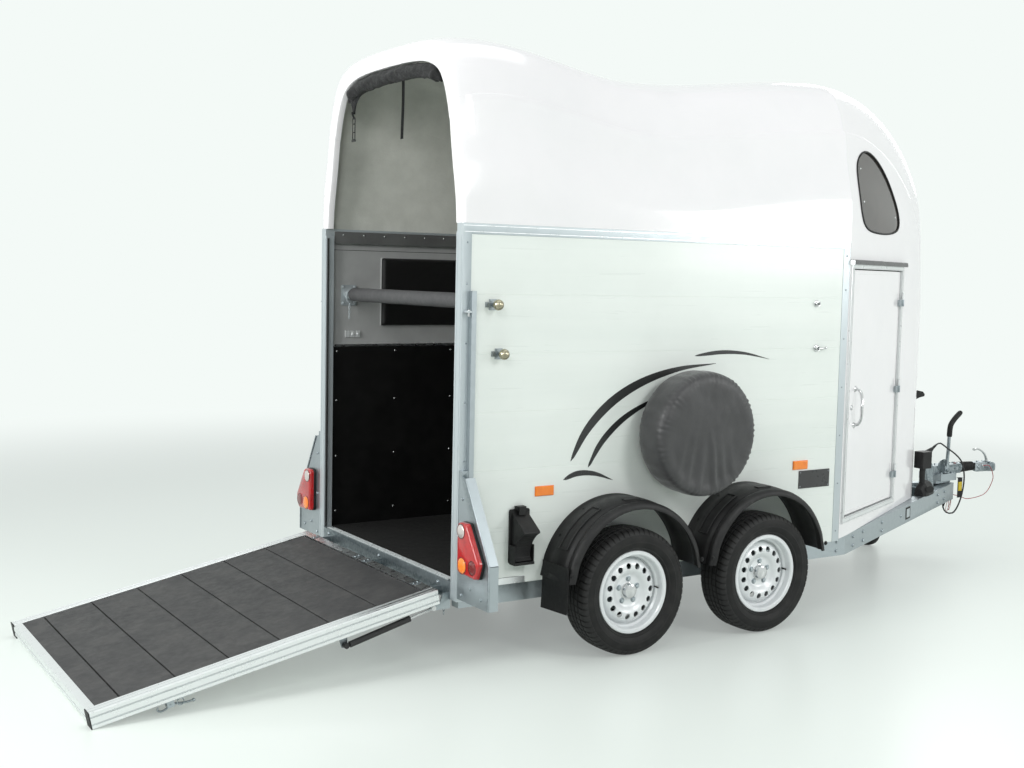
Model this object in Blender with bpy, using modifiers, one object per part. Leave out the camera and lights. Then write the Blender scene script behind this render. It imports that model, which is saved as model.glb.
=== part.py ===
# Tandem-axle horse trailer, ramp lowered, standing on its wheels and its jockey wheel.
# Metres. +X points to the coupling, +Y to the left side, +Z up, z = 0 is the ground.
# The trailer's datum is the rear face of the doorway: x below is measured forward from there.
import bpy
import bmesh
from math import acos, asin, atan, atan2, cos, hypot, pi, radians, sin, sqrt, tan
from mathutils import Matrix, Vector

gap = 0.0003                 # between faces that touch
moveClear = 0.006            # between pieces that move past each other

# Body
bodyLength = 2.385           # doorway to the start of the tapered nose
bodyHalfWidth = 0.747
wallThickness = 0.025        # from the outer face of the posts
wallSetBack = 0.002          # planks lie this much behind the posts
wallBottom = 0.362
railTop = 1.984
railHeight = 0.047
railWidth = 0.050
rearPostWidth = 0.057
rearPostDepth = 0.045
frontPostDepth = 0.048
plankCount = 6
plankGroove = 0.004
floorTop = 0.392
floorThickness = 0.020
sillBottom = floorTop - 0.082
kickTop = railTop - 0.614
kickThickness = 0.012

# Hood and nose moulding
hoodRearCrown = 2.806        # crown height at the rear edge
hoodHighX = 0.25
hoodHighCrown = 2.857
hoodDipX = 0.47 * bodyLength
hoodDipCrown = 2.748
hoodFrontX = bodyLength + 0.065
hoodFrontCrown = 2.858
noseLength = 1.315
noseTipX = bodyLength + noseLength
noseSpringZ = railTop - 0.034 # height where the nose front becomes upright
noseTaper = radians(23.5)
noseTurns = 7                # flats round the front
noseLastAngle = radians(85.0)
grpThickness = 0.010
hoodLipWidth = 0.070         # frame that returns inward round the rear opening
hoodLipDepth = 0.035
creaseStep = 0.008
noseSeat = 0.0009            # sealant under the nose, on the drawbar beams
noseFloorTop = floorTop + 0.060

# Groom's door and windows, along the tapered side: s runs forward from the start of the taper
doorStart = 0.018
doorEnd = 0.900
doorBottom = noseFloorTop
doorTop = railTop - 0.119
doorFrameWidth = 0.030
doorFrameProud = 0.010
doorThickness = 0.028
dripRailHeight = 0.016
windowDepth = 0.30

# Chassis and drawbar
railSectionWidth = 0.060
railSectionHeight = 0.110
railInset = 0.092            # rail centre, inside the body's side
drawbarBendX = bodyLength + 0.115
drawbarLength = 1.670
drawbarFrontY = 0.036
drawbarRise = 0.083
crossMemberWidth = 0.050
crossMemberHeight = 0.080

# Wheels and axles
tyreRadius = 0.300
tyreWidth = 0.185
rimRadius = 0.196
rimHalfWidth = 0.072
wheelOutboard = 0.120        # wheel centre, outside the body's side
wheelRearX = 0.353 * bodyLength
wheelSpacing = 0.829
axleTubeSize = 0.080
armLength = 0.165
drumRadius = 0.105
stubRadius = 0.020
mudguardOverhang = 0.228     # outer lip, outside the body's side
mudguardRadius = 0.437
guardReach = 0.398           # feet of each arch, before and behind its wheel's centre
guardFootZ = 0.385
webWidth = 0.014
mudguardThickness = 0.005
mudguardLip = 0.034
flapBottom = 0.236

# Spare wheel and chock
spareRadius = 0.302
spareAhead = 0.0575          # of the middle of the body
spareHeight = 0.660          # wheel centre, above the wall's foot
spareOverhang = 0.238
chockFrontX = 0.366

# Ramp
rampInset = 0.022            # ramp edge, inside the body's side
rampLength = 1.568
rampThickness = 0.067
rampRailWidth = 0.062
rampHingeX = -0.050
rampHingeZ = floorTop - 0.056
rampFaceOffset = 0.042       # top face above the hinge axis
rampRoot = 0.026             # root edge beyond the hinge axis
hingePinRadius = 0.011
pinClear = 0.0008            # radial play of pins and sleeves
boardCount = 7
boardGroove = 0.006
strutEyeAlong = 0.480
strutEyeBelow = 0.074
strutPinX = -0.084
strutPinDrop = 0.056         # rod's pin, below the hinge axis
strutInset = 0.035           # strut, inside the ramp's right edge
strutTubeRadius = 0.014
strutRodRadius = 0.006

# Coupling end
couplingZ = 0.542
couplingLength = 0.494       # ahead of the drawbar beams
headLength = 0.224
headHalfWidth = 0.032
bellowsLength = 0.142
overrunSeat = 0.170          # of the housing on the drawbar beams
leverBack = 0.080            # lever foot, behind the front of the beams
leverHeight = 0.382          # of its grip, above the coupling

# Jockey wheel, clamped on the outer side of the left drawbar beam
jockeyBack = 0.370           # behind the front of the beams
jockeyOutboard = 0.057       # tube centre, outside the beam's face
jockeyTubeRadius = 0.030
jockeyInnerRadius = 0.024
jockeyWheelRadius = 0.100
jockeyWheelWidth = 0.060
jockeyTrail = 0.055
jockeyTopZ = 0.800

# Lamp wings, seen from behind: distances outside the body's side
wingInner = 0.020
wingApex = 0.053
wingKnee = 0.263
wingBottom = 0.326
wingTop = 0.880

# Worked-out sizes
wheelCentreY = bodyHalfWidth + wheelOutboard
wheelFrontX = wheelRearX + wheelSpacing
mudguardOuterY = bodyHalfWidth + mudguardOverhang
railCentreY = bodyHalfWidth - railInset
rampHalfWidth = bodyHalfWidth - rampInset
rampLugY = rampHalfWidth - 0.125
strutY = strutInset - rampHalfWidth
strutPinZ = rampHingeZ - strutPinDrop
drawbarFrontX = drawbarBendX + drawbarLength
couplingTipX = drawbarFrontX + couplingLength
headRearX = couplingTipX - headLength
bellowsRearX = headRearX - bellowsLength
overrunRearX = drawbarFrontX - overrunSeat
leverFootX = drawbarFrontX - leverBack
leverTopZ = couplingZ + leverHeight
jockeyX = drawbarFrontX - jockeyBack
beamTurn = atan2(railCentreY - drawbarFrontY, drawbarLength)
beamFaceY = drawbarFrontY + jockeyBack * tan(beamTurn) + railSectionWidth / 2 / cos(beamTurn)
jockeyY = beamFaceY + jockeyOutboard
wallOuterY = bodyHalfWidth - wallSetBack
wallInnerY = bodyHalfWidth - wallThickness
railBottom = railTop - railHeight
floorBottom = floorTop - floorThickness
chassisTop = floorBottom - gap
chassisBottom = chassisTop - railSectionHeight
taperCos = cos(noseTaper)
taperSin = sin(noseTaper)
hoodHalfWidth = bodyHalfWidth + 0.001
noseRadius = (hoodHalfWidth * taperCos - (noseTipX - bodyLength) * taperSin) / (1.0 - taperSin)
noseCentreX = noseTipX - noseRadius
rampUnder = rampThickness - rampFaceOffset
rampTilt = asin(rampHingeZ / hypot(rampLength, rampUnder)) - atan(rampUnder / rampLength)
rampTipX = rampHingeX - rampLength * cos(rampTilt) - rampFaceOffset * sin(rampTilt)
datumX = -0.5 * (rampTipX + couplingTipX)

wheelSegments = 28

for existing in list(bpy.data.objects):
    bpy.data.objects.remove(existing)

parts = bpy.data.collections.new("horse_trailer")
cutters = bpy.data.collections.new("horse_trailer_cutters")
bpy.context.scene.collection.children.link(parts)
bpy.context.scene.collection.children.link(cutters)

# name: colour, roughness, metallic
finishes = {
    "white_grp": ((0.86, 0.86, 0.87), 0.18, 0.0),
    "plank_alu": ((0.78, 0.80, 0.79), 0.35, 0.2),
    "alu": ((0.74, 0.75, 0.76), 0.35, 1.0),
    "galvanised": ((0.62, 0.64, 0.65), 0.45, 1.0),
    "black_plastic": ((0.035, 0.036, 0.038), 0.55, 0.0),
    "black_rubber": ((0.03, 0.03, 0.03), 0.8, 0.0),
    "tyre_rubber": ((0.025, 0.025, 0.026), 0.75, 0.0),
    "rim_silver": ((0.70, 0.71, 0.72), 0.3, 0.9),
    "smoked_glass": ((0.05, 0.04, 0.04), 0.08, 0.0),
    "lamp_red": ((0.65, 0.03, 0.02), 0.12, 0.0),
    "black_fabric": ((0.05, 0.05, 0.055), 0.9, 0.0),
    "cable_black": ((0.02, 0.02, 0.02), 0.6, 0.0),
    "cable_red": ((0.55, 0.12, 0.12), 0.5, 0.0),
    "floor_rubber": ((0.045, 0.045, 0.045), 0.85, 0.0),
}


def material(name):
    made = bpy.data.materials.get(name)
    if made:
        return made
    colour, roughness, metallic = finishes[name]
    made = bpy.data.materials.new(name)
    made.use_nodes = True
    shader = made.node_tree.nodes["Principled BSDF"]
    shader.inputs["Base Color"].default_value = (*colour, 1.0)
    shader.inputs["Roughness"].default_value = roughness
    shader.inputs["Metallic"].default_value = metallic
    return made


def emptyAt(name, location, parent=None, rotation=(0.0, 0.0, 0.0)):
    made = bpy.data.objects.new(name, None)
    made.location = location
    made.rotation_euler = rotation
    made.parent = parent
    parts.objects.link(made)
    return made


datum = emptyAt("datum", (datumX, 0.0, 0.0))


def place(name, mesh, finish, parent=None):
    made = bpy.data.objects.new(name, mesh)
    made.parent = parent or datum
    mesh.materials.clear()
    mesh.materials.append(material(finish))
    parts.objects.link(made)
    return made


def cutter(mesh, parent=None):
    made = bpy.data.objects.new("cutter", mesh)
    made.parent = parent or datum
    made.hide_render = True
    made.display_type = "WIRE"
    cutters.objects.link(made)
    return made


def toMesh(bm, name="mesh"):
    bmesh.ops.recalc_face_normals(bm, faces=bm.faces)
    if bm.calc_volume(signed=True) < 0.0:
        bmesh.ops.reverse_faces(bm, faces=bm.faces)
    mesh = bpy.data.meshes.new(name)
    bm.to_mesh(mesh)
    bm.free()
    return mesh


def boxMesh(x0, x1, y0, y1, z0, z1, matrix=None):
    bm = bmesh.new()
    bmesh.ops.create_cube(bm, size=1.0)
    centre = Vector(((x0 + x1) / 2, (y0 + y1) / 2, (z0 + z1) / 2))
    scale = Matrix.Diagonal((abs(x1 - x0), abs(y1 - y0), abs(z1 - z0), 1.0))
    bm.transform(Matrix.Translation(centre) @ scale)
    if matrix:
        bm.transform(matrix)
    return toMesh(bm)


def rodMesh(start, end, radius, segments=12, endRadius=None):
    start = Vector(start)
    end = Vector(end)
    axis = end - start
    bm = bmesh.new()
    bmesh.ops.create_cone(bm, cap_ends=True, segments=segments, radius1=radius,
                          radius2=radius if endRadius is None else endRadius, depth=axis.length)
    turn = Vector((0.0, 0.0, 1.0)).rotation_difference(axis).to_matrix().to_4x4()
    bm.transform(Matrix.Translation((start + end) / 2) @ turn)
    return toMesh(bm)


def ballMesh(centre, radius, segments=12):
    bm = bmesh.new()
    bmesh.ops.create_uvsphere(bm, u_segments=segments, v_segments=segments // 2, radius=radius)
    bm.transform(Matrix.Translation(centre))
    return toMesh(bm)


def prismMesh(outline, low, high, matrix=None):
    # outline in local x, y; extruded along local z
    bm = bmesh.new()
    bottom = [bm.verts.new((x, y, low)) for x, y in outline]
    face = bm.faces.new(bottom)
    grown = bmesh.ops.extrude_face_region(bm, geom=[face])
    lifted = [v for v in grown["geom"] if isinstance(v, bmesh.types.BMVert)]
    bmesh.ops.translate(bm, verts=lifted, vec=(0.0, 0.0, high - low))
    if matrix:
        bm.transform(matrix)
    return toMesh(bm)


# Standing outlines: local x, y become world x, z, and the extrusion runs along world y
upright = Matrix(((1, 0, 0, 0), (0, 0, 1, 0), (0, 1, 0, 0), (0, 0, 0, 1)))
# Outlines across the trailer: local x, y become world y, z, and the extrusion runs along world x
across = Matrix(((0, 0, 1, 0), (1, 0, 0, 0), (0, 1, 0, 0), (0, 0, 0, 1)))


def frameOf(start, direction):
    # local x runs along the direction, local z stays up
    forward = Vector(direction).normalized()
    side = Vector((0.0, 0.0, 1.0)).cross(forward).normalized()
    up = forward.cross(side)
    turn = Matrix((forward, side, up)).transposed().to_4x4()
    return Matrix.Translation(Vector(start)) @ turn


def sweepMesh(path, width, height):
    # rectangular tube along a path, mitred at its bends in plan
    rings = []
    bm = bmesh.new()
    for index, point in enumerate(path):
        here = Vector(point)
        before = Vector(path[index - 1]) if index else None
        after = Vector(path[index + 1]) if index + 1 < len(path) else None
        into = (here - before).to_2d().normalized() if before else None
        out = (after - here).to_2d().normalized() if after else None
        into = into or out
        out = out or into
        bisector = (into + out).normalized()
        side = Vector((-bisector.y, bisector.x, 0.0)) * (width / 2 / bisector.dot(into))
        up = Vector((0.0, 0.0, height / 2))
        corners = (here + side + up, here - side + up, here - side - up, here + side - up)
        rings.append([bm.verts.new(c) for c in corners])
    for first, second in zip(rings, rings[1:]):
        for k in range(4):
            bm.faces.new((first[k], first[(k + 1) % 4], second[(k + 1) % 4], second[k]))
    bm.faces.new(rings[0])
    bm.faces.new(rings[-1])
    return toMesh(bm)


def mirrored(mesh):
    copy = mesh.copy()
    bm = bmesh.new()
    bm.from_mesh(copy)
    bm.transform(Matrix.Scale(-1.0, 4, (0.0, 1.0, 0.0)))
    bmesh.ops.reverse_faces(bm, faces=bm.faces)
    bm.to_mesh(copy)
    bm.free()
    return copy


def add(target, mesh, operation="UNION"):
    helper = cutter(mesh, target.parent)
    change = target.modifiers.new(operation.lower(), "BOOLEAN")
    change.operation = operation
    change.solver = "EXACT"
    change.object = helper
    return target


def cut(target, mesh):
    return add(target, mesh, "DIFFERENCE")


def turned(name, profile, segments, finish, parent, outward=1.0):
    # profile rows: radius, distance along the axis towards the outside of the vehicle
    area = 0.0
    for (r0, w0), (r1, w1) in zip(profile, profile[1:] + profile[:1]):
        area += r0 * w1 - r1 * w0
    rows = profile if area < 0 else profile[::-1]
    mesh = bpy.data.meshes.new(name)
    points = [(r, 0.0, w) for r, w in rows]
    count = len(points)
    onAxis = [r < 1e-9 for r, w in rows]
    edges = [(k, (k + 1) % count) for k in range(count)
             if not (onAxis[k] and onAxis[(k + 1) % count])]
    mesh.from_pydata(points, edges, [])
    made = place(name, mesh, finish, parent)
    screw = made.modifiers.new("turn", "SCREW")
    screw.axis = "Z"
    screw.angle = 2 * pi
    screw.steps = segments
    screw.render_steps = segments
    screw.use_merge_vertices = True
    screw.merge_threshold = 0.0001
    made.rotation_euler = (-outward * pi / 2, 0.0, 0.0)
    return made


def smoothLoop(points, count):
    # closed smooth curve through the points
    total = len(points)
    made = []
    for k in range(count):
        u = k * total / count
        i = int(u)
        t = u - i
        p = [Vector(points[(i + j - 1) % total]) for j in range(4)]
        made.append(tuple(0.5 * ((2 * p[1]) + (p[2] - p[0]) * t
                                 + (2 * p[0] - 5 * p[1] + 4 * p[2] - p[3]) * t * t
                                 + (3 * p[1] - p[0] - 3 * p[2] + p[3]) * t ** 3)))
    return made


def smoothPath(points, step):
    # open smooth curve through the points, a point about every step
    ends = [2 * Vector(points[0]) - Vector(points[1])]
    ends += [Vector(p) for p in points]
    ends += [2 * Vector(points[-1]) - Vector(points[-2])]
    made = []
    for i in range(1, len(ends) - 2):
        p0, p1, p2, p3 = ends[i - 1:i + 3]
        pieces = max(2, round((p2 - p1).length / step))
        for k in range(pieces):
            t = k / pieces
            made.append(0.5 * ((2 * p1) + (p2 - p0) * t + (2 * p0 - 5 * p1 + 4 * p2 - p3) * t * t
                               + (3 * p1 - p0 - 3 * p2 + p3) * t ** 3))
    made.append(Vector(points[-1]))
    return made


def tubeCurve(name, points, radius, finish, parent=None, resolution=2):
    curve = bpy.data.curves.new(name, "CURVE")
    curve.dimensions = "3D"
    curve.bevel_depth = radius
    curve.bevel_resolution = resolution
    curve.use_fill_caps = True
    spline = curve.splines.new("POLY")
    spline.points.add(len(points) - 1)
    for point, at in zip(spline.points, points):
        point.co = (*at, 1.0)
    made = bpy.data.objects.new(name, curve)
    made.parent = parent or datum
    curve.materials.append(material(finish))
    parts.objects.link(made)
    return made


def tubeMesh(points, radius, resolution=2):
    # the same tube as a closed mesh, for pieces that are joined or cut
    curve = bpy.data.curves.new("tube", "CURVE")
    curve.dimensions = "3D"
    curve.bevel_depth = radius
    curve.bevel_resolution = resolution
    curve.use_fill_caps = True
    spline = curve.splines.new("POLY")
    spline.points.add(len(points) - 1)
    for point, at in zip(spline.points, points):
        point.co = (*at, 1.0)
    temporary = bpy.data.objects.new("tube", curve)
    bpy.context.scene.collection.objects.link(temporary)
    bpy.context.view_layer.update()
    evaluated = temporary.evaluated_get(bpy.context.evaluated_depsgraph_get())
    mesh = bpy.data.meshes.new_from_object(evaluated)
    bpy.data.objects.remove(temporary)
    bm = bmesh.new()
    bm.from_mesh(mesh)
    bmesh.ops.remove_doubles(bm, verts=bm.verts, dist=0.00001)
    bm.to_mesh(mesh)
    bm.free()
    return mesh


# Chassis

def beamTop(x):
    share = max(0.0, (x - drawbarBendX) / (drawbarFrontX - drawbarBendX))
    return chassisTop + drawbarRise * share


def buildChassis():
    centreZ = chassisTop - railSectionHeight / 2
    rearX = rearPostDepth + gap
    leftPath = [(rearX, railCentreY, centreZ), (drawbarBendX, railCentreY, centreZ),
                (drawbarFrontX, drawbarFrontY, centreZ + drawbarRise)]
    rail = sweepMesh(leftPath, railSectionWidth, railSectionHeight)
    frame = place("chassis_frame", rail, "galvanised")
    add(frame, mirrored(rail))
    crossLow = chassisTop - crossMemberHeight
    reach = railCentreY - 0.01
    for x in (0.10, *(bodyLength * share for share in (0.235, 0.528, 0.830)), bodyLength + 0.055):
        add(frame, boxMesh(x, x + crossMemberWidth, -reach, reach, crossLow, chassisTop))
    plateX = drawbarFrontX - 0.240
    top = beamTop(plateX)
    add(frame, boxMesh(plateX, plateX + 0.05, -0.12, 0.12, top - 0.09, top - 0.02))
    # cable gland under the right beam and eye of the breakaway cable at the front
    glandTop = beamTop(glandAt[0]) - railSectionHeight
    add(frame, rodMesh((*glandAt, glandTop + 0.010), (*glandAt, glandTop - glandLength), 0.010, 12))
    eyeX, eyeY, eyeZ = breakawayEye
    add(frame, boxMesh(eyeX - 0.060, eyeX, eyeY - 0.010, eyeY + 0.010, eyeZ - 0.010, eyeZ + 0.010))
    return frame


def buildFloors():
    inset = wallInnerY - kickThickness - 2 * gap
    floorFrontX = bodyLength - frontPostDepth - gap
    place("floor_panel", boxMesh(rearPostDepth + gap, floorFrontX, -inset, inset, floorBottom,
                                 floorTop), "floor_rubber")
    stations = noseStations(grpThickness + gap)
    half = [(x, b) for x, b, angle in stations if b > 0.06]
    startHalf = bodyHalfWidth - railWidth - gap
    rear = [(floorFrontX + gap, startHalf), (bodyLength + 2 * gap, startHalf)]
    leftSide = rear + [(max(x, bodyLength + 2 * gap), b) for x, b in half]
    outline = leftSide + [(x, -b) for x, b in reversed(leftSide)]
    place("nose_floor", prismMesh(outline, noseFloorTop - floorThickness, noseFloorTop),
          "floor_rubber")


# Walls, rails and posts

def wallProfile():
    # outer face with a V groove between planks, in y, z
    height = railBottom - gap - wallBottom
    outer = wallOuterY
    points = [(wallInnerY, railBottom - gap), (wallInnerY, wallBottom), (outer, wallBottom)]
    for k in range(1, plankCount):
        z = wallBottom + height * k / plankCount
        points += [(outer, z - plankGroove), (outer - plankGroove, z), (outer, z + plankGroove)]
    points.append((outer, railBottom - gap))
    return points


# Ball knobs and eyes of the two bars: x, z, true for a ball knob
breechBarX = 0.145
breastBarX = bodyLength - 0.235
barHeight = railTop - 0.344
wallFittings = (
    (0.160, barHeight - 0.010, True),
    (0.195, barHeight - 0.228, True),
    (breastBarX - 0.002, barHeight + 0.006, False),
    (breastBarX + 0.008, barHeight - 0.228, False),
)
barRadius = 0.018
barPadRadius = 0.036
barPlate = 0.006
barSocketDepth = 0.060


def buildWalls():
    startX = rearPostDepth + gap
    endX = bodyLength - frontPostDepth - gap
    for side, label in ((-1.0, "right"), (1.0, "left")):
        outline = [(side * y, z) for y, z in wallProfile()]
        wall = place("wall_" + label, prismMesh(outline, startX, endX, across), "plank_alu")
        face = side * (wallOuterY - 0.004)
        for x, z, knob in wallFittings:
            plate = 0.020 if knob else 0.016
            add(wall, boxMesh(x - plate, x + plate, face, side * (bodyHalfWidth + 0.004),
                              z - plate, z + plate))
            reach = 0.046 if knob else 0.022
            tip = side * (bodyHalfWidth + reach)
            add(wall, rodMesh((x, face, z), (x, tip, z), 0.009))
            if knob:
                add(wall, ballMesh((x, tip, z), 0.025))
        inner = side * (wallInnerY + 0.004)
        for x in (breechBarX, breastBarX):
            cup = side * (wallInnerY - barSocketDepth)
            add(wall, boxMesh(x - 0.045, x + 0.045, inner, side * (wallInnerY - barPlate),
                              barHeight - 0.060, barHeight + 0.050))
            # hook that carries the bar from below
            add(wall, boxMesh(x - 0.040, x + 0.040, inner, cup, barHeight - barRadius - 0.012,
                              barHeight - barRadius - gap))
        kickOuter = side * (wallInnerY - gap)
        kickInner = side * (wallInnerY - gap - kickThickness)
        place("kick_panel_" + label, boxMesh(startX, endX, kickOuter, kickInner, floorBottom,
                                             kickTop), "black_plastic")
        padOuter = side * (wallInnerY - gap)
        padInner = side * (wallInnerY - 0.030)
        pad = place("wall_pad_" + label, boxMesh(0.335, bodyLength - 0.485, padOuter, padInner,
                                                 railTop - 0.514, railTop - 0.144), "black_fabric")
        soften = pad.modifiers.new("edge", "BEVEL")
        soften.width = 0.012
        soften.segments = 2


def buildBars():
    reach = wallInnerY - barPlate - gap
    for name, x in (("breech_bar", breechBarX), ("breast_bar", breastBarX)):
        bar = place(name, rodMesh((x, -reach, barHeight), (x, reach, barHeight),
                                  barRadius, 14),
                    "galvanised")
        soft = wallInnerY - barSocketDepth - moveClear
        add(bar, rodMesh((x, -soft, barHeight), (x, soft, barHeight), barPadRadius, 16))
        bar.material_slots[0].material = material("black_rubber")


def buildSideFrames():
    for side, label in ((-1.0, "right"), (1.0, "left")):
        outer = side * bodyHalfWidth
        railInner = side * (bodyHalfWidth - railWidth)
        frame = place("side_frame_" + label, boxMesh(0.0, bodyLength, outer, railInner, railBottom,
                                                     railTop), "alu")
        add(frame, boxMesh(0.0, rearPostDepth, outer, side * (bodyHalfWidth - rearPostWidth),
                           sillBottom, railBottom + 0.010))
        add(frame, boxMesh(bodyLength - frontPostDepth, bodyLength, outer, railInner,
                           wallBottom, railBottom + 0.010))
        # ramp latch tab on the post
        add(frame, boxMesh(0.012, 0.032, side * (bodyHalfWidth - 0.004),
                           side * (bodyHalfWidth + 0.035), railTop - 0.389,
                           railTop - 0.381))


def buildSill():
    half = bodyHalfWidth - rearPostWidth - gap
    sill = place("rear_sill", boxMesh(0.0, rearPostDepth - gap, -half, half, sillBottom, floorTop),
                 "galvanised")
    lugHalf = 0.006
    for y in (-rampLugY, 0.0, rampLugY):
        lug = [(rampHingeX + 0.020 * cos(a), rampHingeZ + 0.020 * sin(a))
               for a in (radians(90 + 15 * k) for k in range(13))]
        lug += [(0.008, rampHingeZ - 0.020), (0.008, rampHingeZ + 0.020)]
        add(sill, prismMesh(lug, y - lugHalf, y + lugHalf, upright))
    bore = hingePinRadius + 0.0012
    for y in (-rampLugY, 0.0, rampLugY):
        cut(sill, rodMesh((rampHingeX, y - 0.02, rampHingeZ), (rampHingeX, y + 0.02, rampHingeZ),
                          bore, 16))
    # bracket of the gas strut, beside the rod's eye
    plateY = strutY + 0.0125
    plate = [(strutPinX - 0.014, strutPinZ - 0.014), (strutPinX - 0.014, strutPinZ + 0.012),
             (rampHingeX + 0.005, strutPinZ + 0.016), (rampHingeX + 0.020, rampHingeZ + 0.004),
             (0.008, rampHingeZ + 0.004), (0.008, strutPinZ - 0.014)]
    add(sill, prismMesh(plate, plateY, plateY + 0.006, upright))
    return sill


# Hood and nose moulding

# share of the half width, depth below the crown
archProfile = (
    (1.000, 0.860),
    (0.990, 0.668),
    (0.930, 0.460),
    (0.890, 0.300),
    (0.885, 0.296),
    (0.850, 0.215),
    (0.800, 0.135),
    (0.720, 0.066),
    (0.560, 0.022),
    (0.330, 0.004),
)
creaseRow = 3


def crownHeight(x, inset=0.0):
    if x < hoodHighX:
        t = acos(1.0 - max(x, 0.0) / hoodHighX)
        return hoodRearCrown + (hoodHighCrown - hoodRearCrown) * sin(t) - inset
    if x < hoodDipX:
        t = (x - hoodHighX) / (hoodDipX - hoodHighX)
        return hoodDipCrown + (hoodHighCrown - hoodDipCrown) * (1 + cos(pi * t)) / 2 - inset
    if x < hoodFrontX:
        t = (x - hoodDipX) / (hoodFrontX - hoodDipX)
        return hoodDipCrown + (hoodFrontCrown - hoodDipCrown) * (1 - cos(pi * t)) / 2 - inset
    share = min(1.0, (x - hoodFrontX) / (noseTipX - inset - hoodFrontX))
    return noseSpringZ + (hoodFrontCrown - inset - noseSpringZ) * sqrt(max(0.0, 1 - share ** 2))


def noseStations(inset=0.0):
    # rows: x, half width, plan angle of the surface; the taper first, then the round front
    rows = []
    steps = 6
    offset = inset / taperCos
    tangentX = noseCentreX + (noseRadius - inset) * taperSin
    for k in range(steps):
        x = bodyLength + gap + (tangentX - bodyLength - gap) * k / steps
        rows.append((x, hoodHalfWidth - offset - (x - bodyLength) * tan(noseTaper), noseTaper))
    for k in range(noseTurns + 1):
        angle = noseTaper + (noseLastAngle - noseTaper) * k / noseTurns
        radius = noseRadius - inset
        rows.append((noseCentreX + radius * sin(angle), radius * cos(angle), angle))
    return rows


def sectionRing(x, half, crown, bottom, lip=0.0):
    # one transverse section, from the right bottom edge over the crown to the left bottom edge
    side = []
    usedHalf = half - lip
    usedCrown = crown - lip
    side.append((usedHalf, bottom))
    for row, (share, depth) in enumerate(archProfile):
        z = usedCrown - depth
        y = usedHalf * share
        if row == creaseRow:
            y += creaseStep * min(1.0, half / hoodHalfWidth)
        side.append((y, max(z, bottom + 0.02 + 0.01 * row)))
    ring = [(x, -y, z) for y, z in side]
    ring.append((x, 0.0, usedCrown))
    ring += [(x, y, z) for y, z in reversed(side)]
    return ring


def shellMesh(outerRings, innerRings, closedFront):
    bm = bmesh.new()
    skins = []
    for rings, flip in ((outerRings, False), (innerRings, True)):
        rows = [[bm.verts.new(p) for p in ring] for ring in rings]
        for first, second in zip(rows, rows[1:]):
            for a, b, c, d in zip(first, first[1:], second[1:], second):
                bm.faces.new((a, b, c, d) if not flip else (d, c, b, a))
        skins.append(rows)
        if closedFront:
            last = rows[-1]
            count = len(last)
            for k in range(count // 2):
                quad = (last[k], last[k + 1], last[count - 2 - k], last[count - 1 - k])
                unique = list(dict.fromkeys(quad))
                bm.faces.new(unique)
    outer, inner = skins
    for a, b, c, d in zip(outer[0], outer[0][1:], inner[0][1:], inner[0]):
        bm.faces.new((d, c, b, a))
    if not closedFront:
        for a, b, c, d in zip(outer[-1], outer[-1][1:], inner[-1][1:], inner[-1]):
            bm.faces.new((a, b, c, d))
    return bm, outer, inner


def buildHood():
    bottom = railTop + gap
    outerX = [0.0, 0.012, 0.05, 0.12, hoodHighX, 0.46, 0.68, 0.90, hoodDipX, 1.40, 1.68, 1.96,
              2.20, bodyLength]
    innerX = [0.0, hoodLipDepth, hoodLipDepth + 0.002] + [x for x in outerX if x > 0.10]
    outer = [sectionRing(x, hoodHalfWidth, crownHeight(x), bottom) for x in outerX]
    inner = []
    for k, x in enumerate(innerX):
        atLip = k < 2
        lip = hoodLipWidth - grpThickness if atLip else 0.0
        crown = crownHeight(0.0 if atLip else x)
        inner.append(sectionRing(x, hoodHalfWidth - grpThickness, crown - grpThickness, bottom,
                                 lip))
    bm, outerRows, innerRows = shellMesh(outer, inner, False)
    for end in (0, -1):
        a = [row[end] for row in outerRows]
        b = [row[end] for row in innerRows]
        loop = a + b[::-1]
        bm.faces.new(loop)
    bmesh.ops.triangulate(bm, faces=[f for f in bm.faces if len(f.verts) > 4])
    return place("roof_hood", toMesh(bm), "white_grp")


def buildNose():
    outer = []
    inner = []
    for inset, rings in ((0.0, outer), (grpThickness, inner)):
        for x, half, angle in noseStations(inset):
            rings.append(sectionRing(x, half, crownHeight(x, inset), beamTop(x) + noseSeat))
    bm, outerRows, innerRows = shellMesh(outer, inner, True)
    for end in (0, -1):
        a = [row[end] for row in outerRows]
        b = [row[end] for row in innerRows]
        for p, q, r, s in zip(a, a[1:], b[1:], b):
            bm.faces.new((p, q, r, s))
    lastOuter, lastInner = outerRows[-1], innerRows[-1]
    bm.faces.new((lastOuter[0], lastOuter[-1], lastInner[-1], lastInner[0]))
    nose = place("nose_shell", toMesh(bm), "white_grp")
    cut(nose, doorPrism(0.0, 0.10, 0.10))
    for side in (-1.0, 1.0):
        cut(nose, windowPrism(side, 0.0))
    return nose


# The tapered side of the nose: local x is s, local y points inward, z up
def taperFrame(side):
    turn = noseTaper if side < 0 else -noseTaper
    return Matrix.Translation((bodyLength, side * hoodHalfWidth, 0.0)) @ Matrix.Rotation(turn, 4, "Z")


def doorPrism(shrink, outward, inward, side=-1.0):
    return boxMesh(doorStart + shrink, doorEnd - shrink, side * outward, -side * inward,
                   doorBottom + shrink, doorTop - shrink, taperFrame(side))


# Half-moon window: s, height above the rail
windowOutline = (
    (0.150, 0.156),
    (0.135, 0.306),
    (0.175, 0.436),
    (0.300, 0.496),
    (0.470, 0.466),
    (0.650, 0.366),
    (0.790, 0.226),
    (0.820, 0.126),
    (0.740, 0.071),
    (0.500, 0.051),
    (0.250, 0.071),
)


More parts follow.
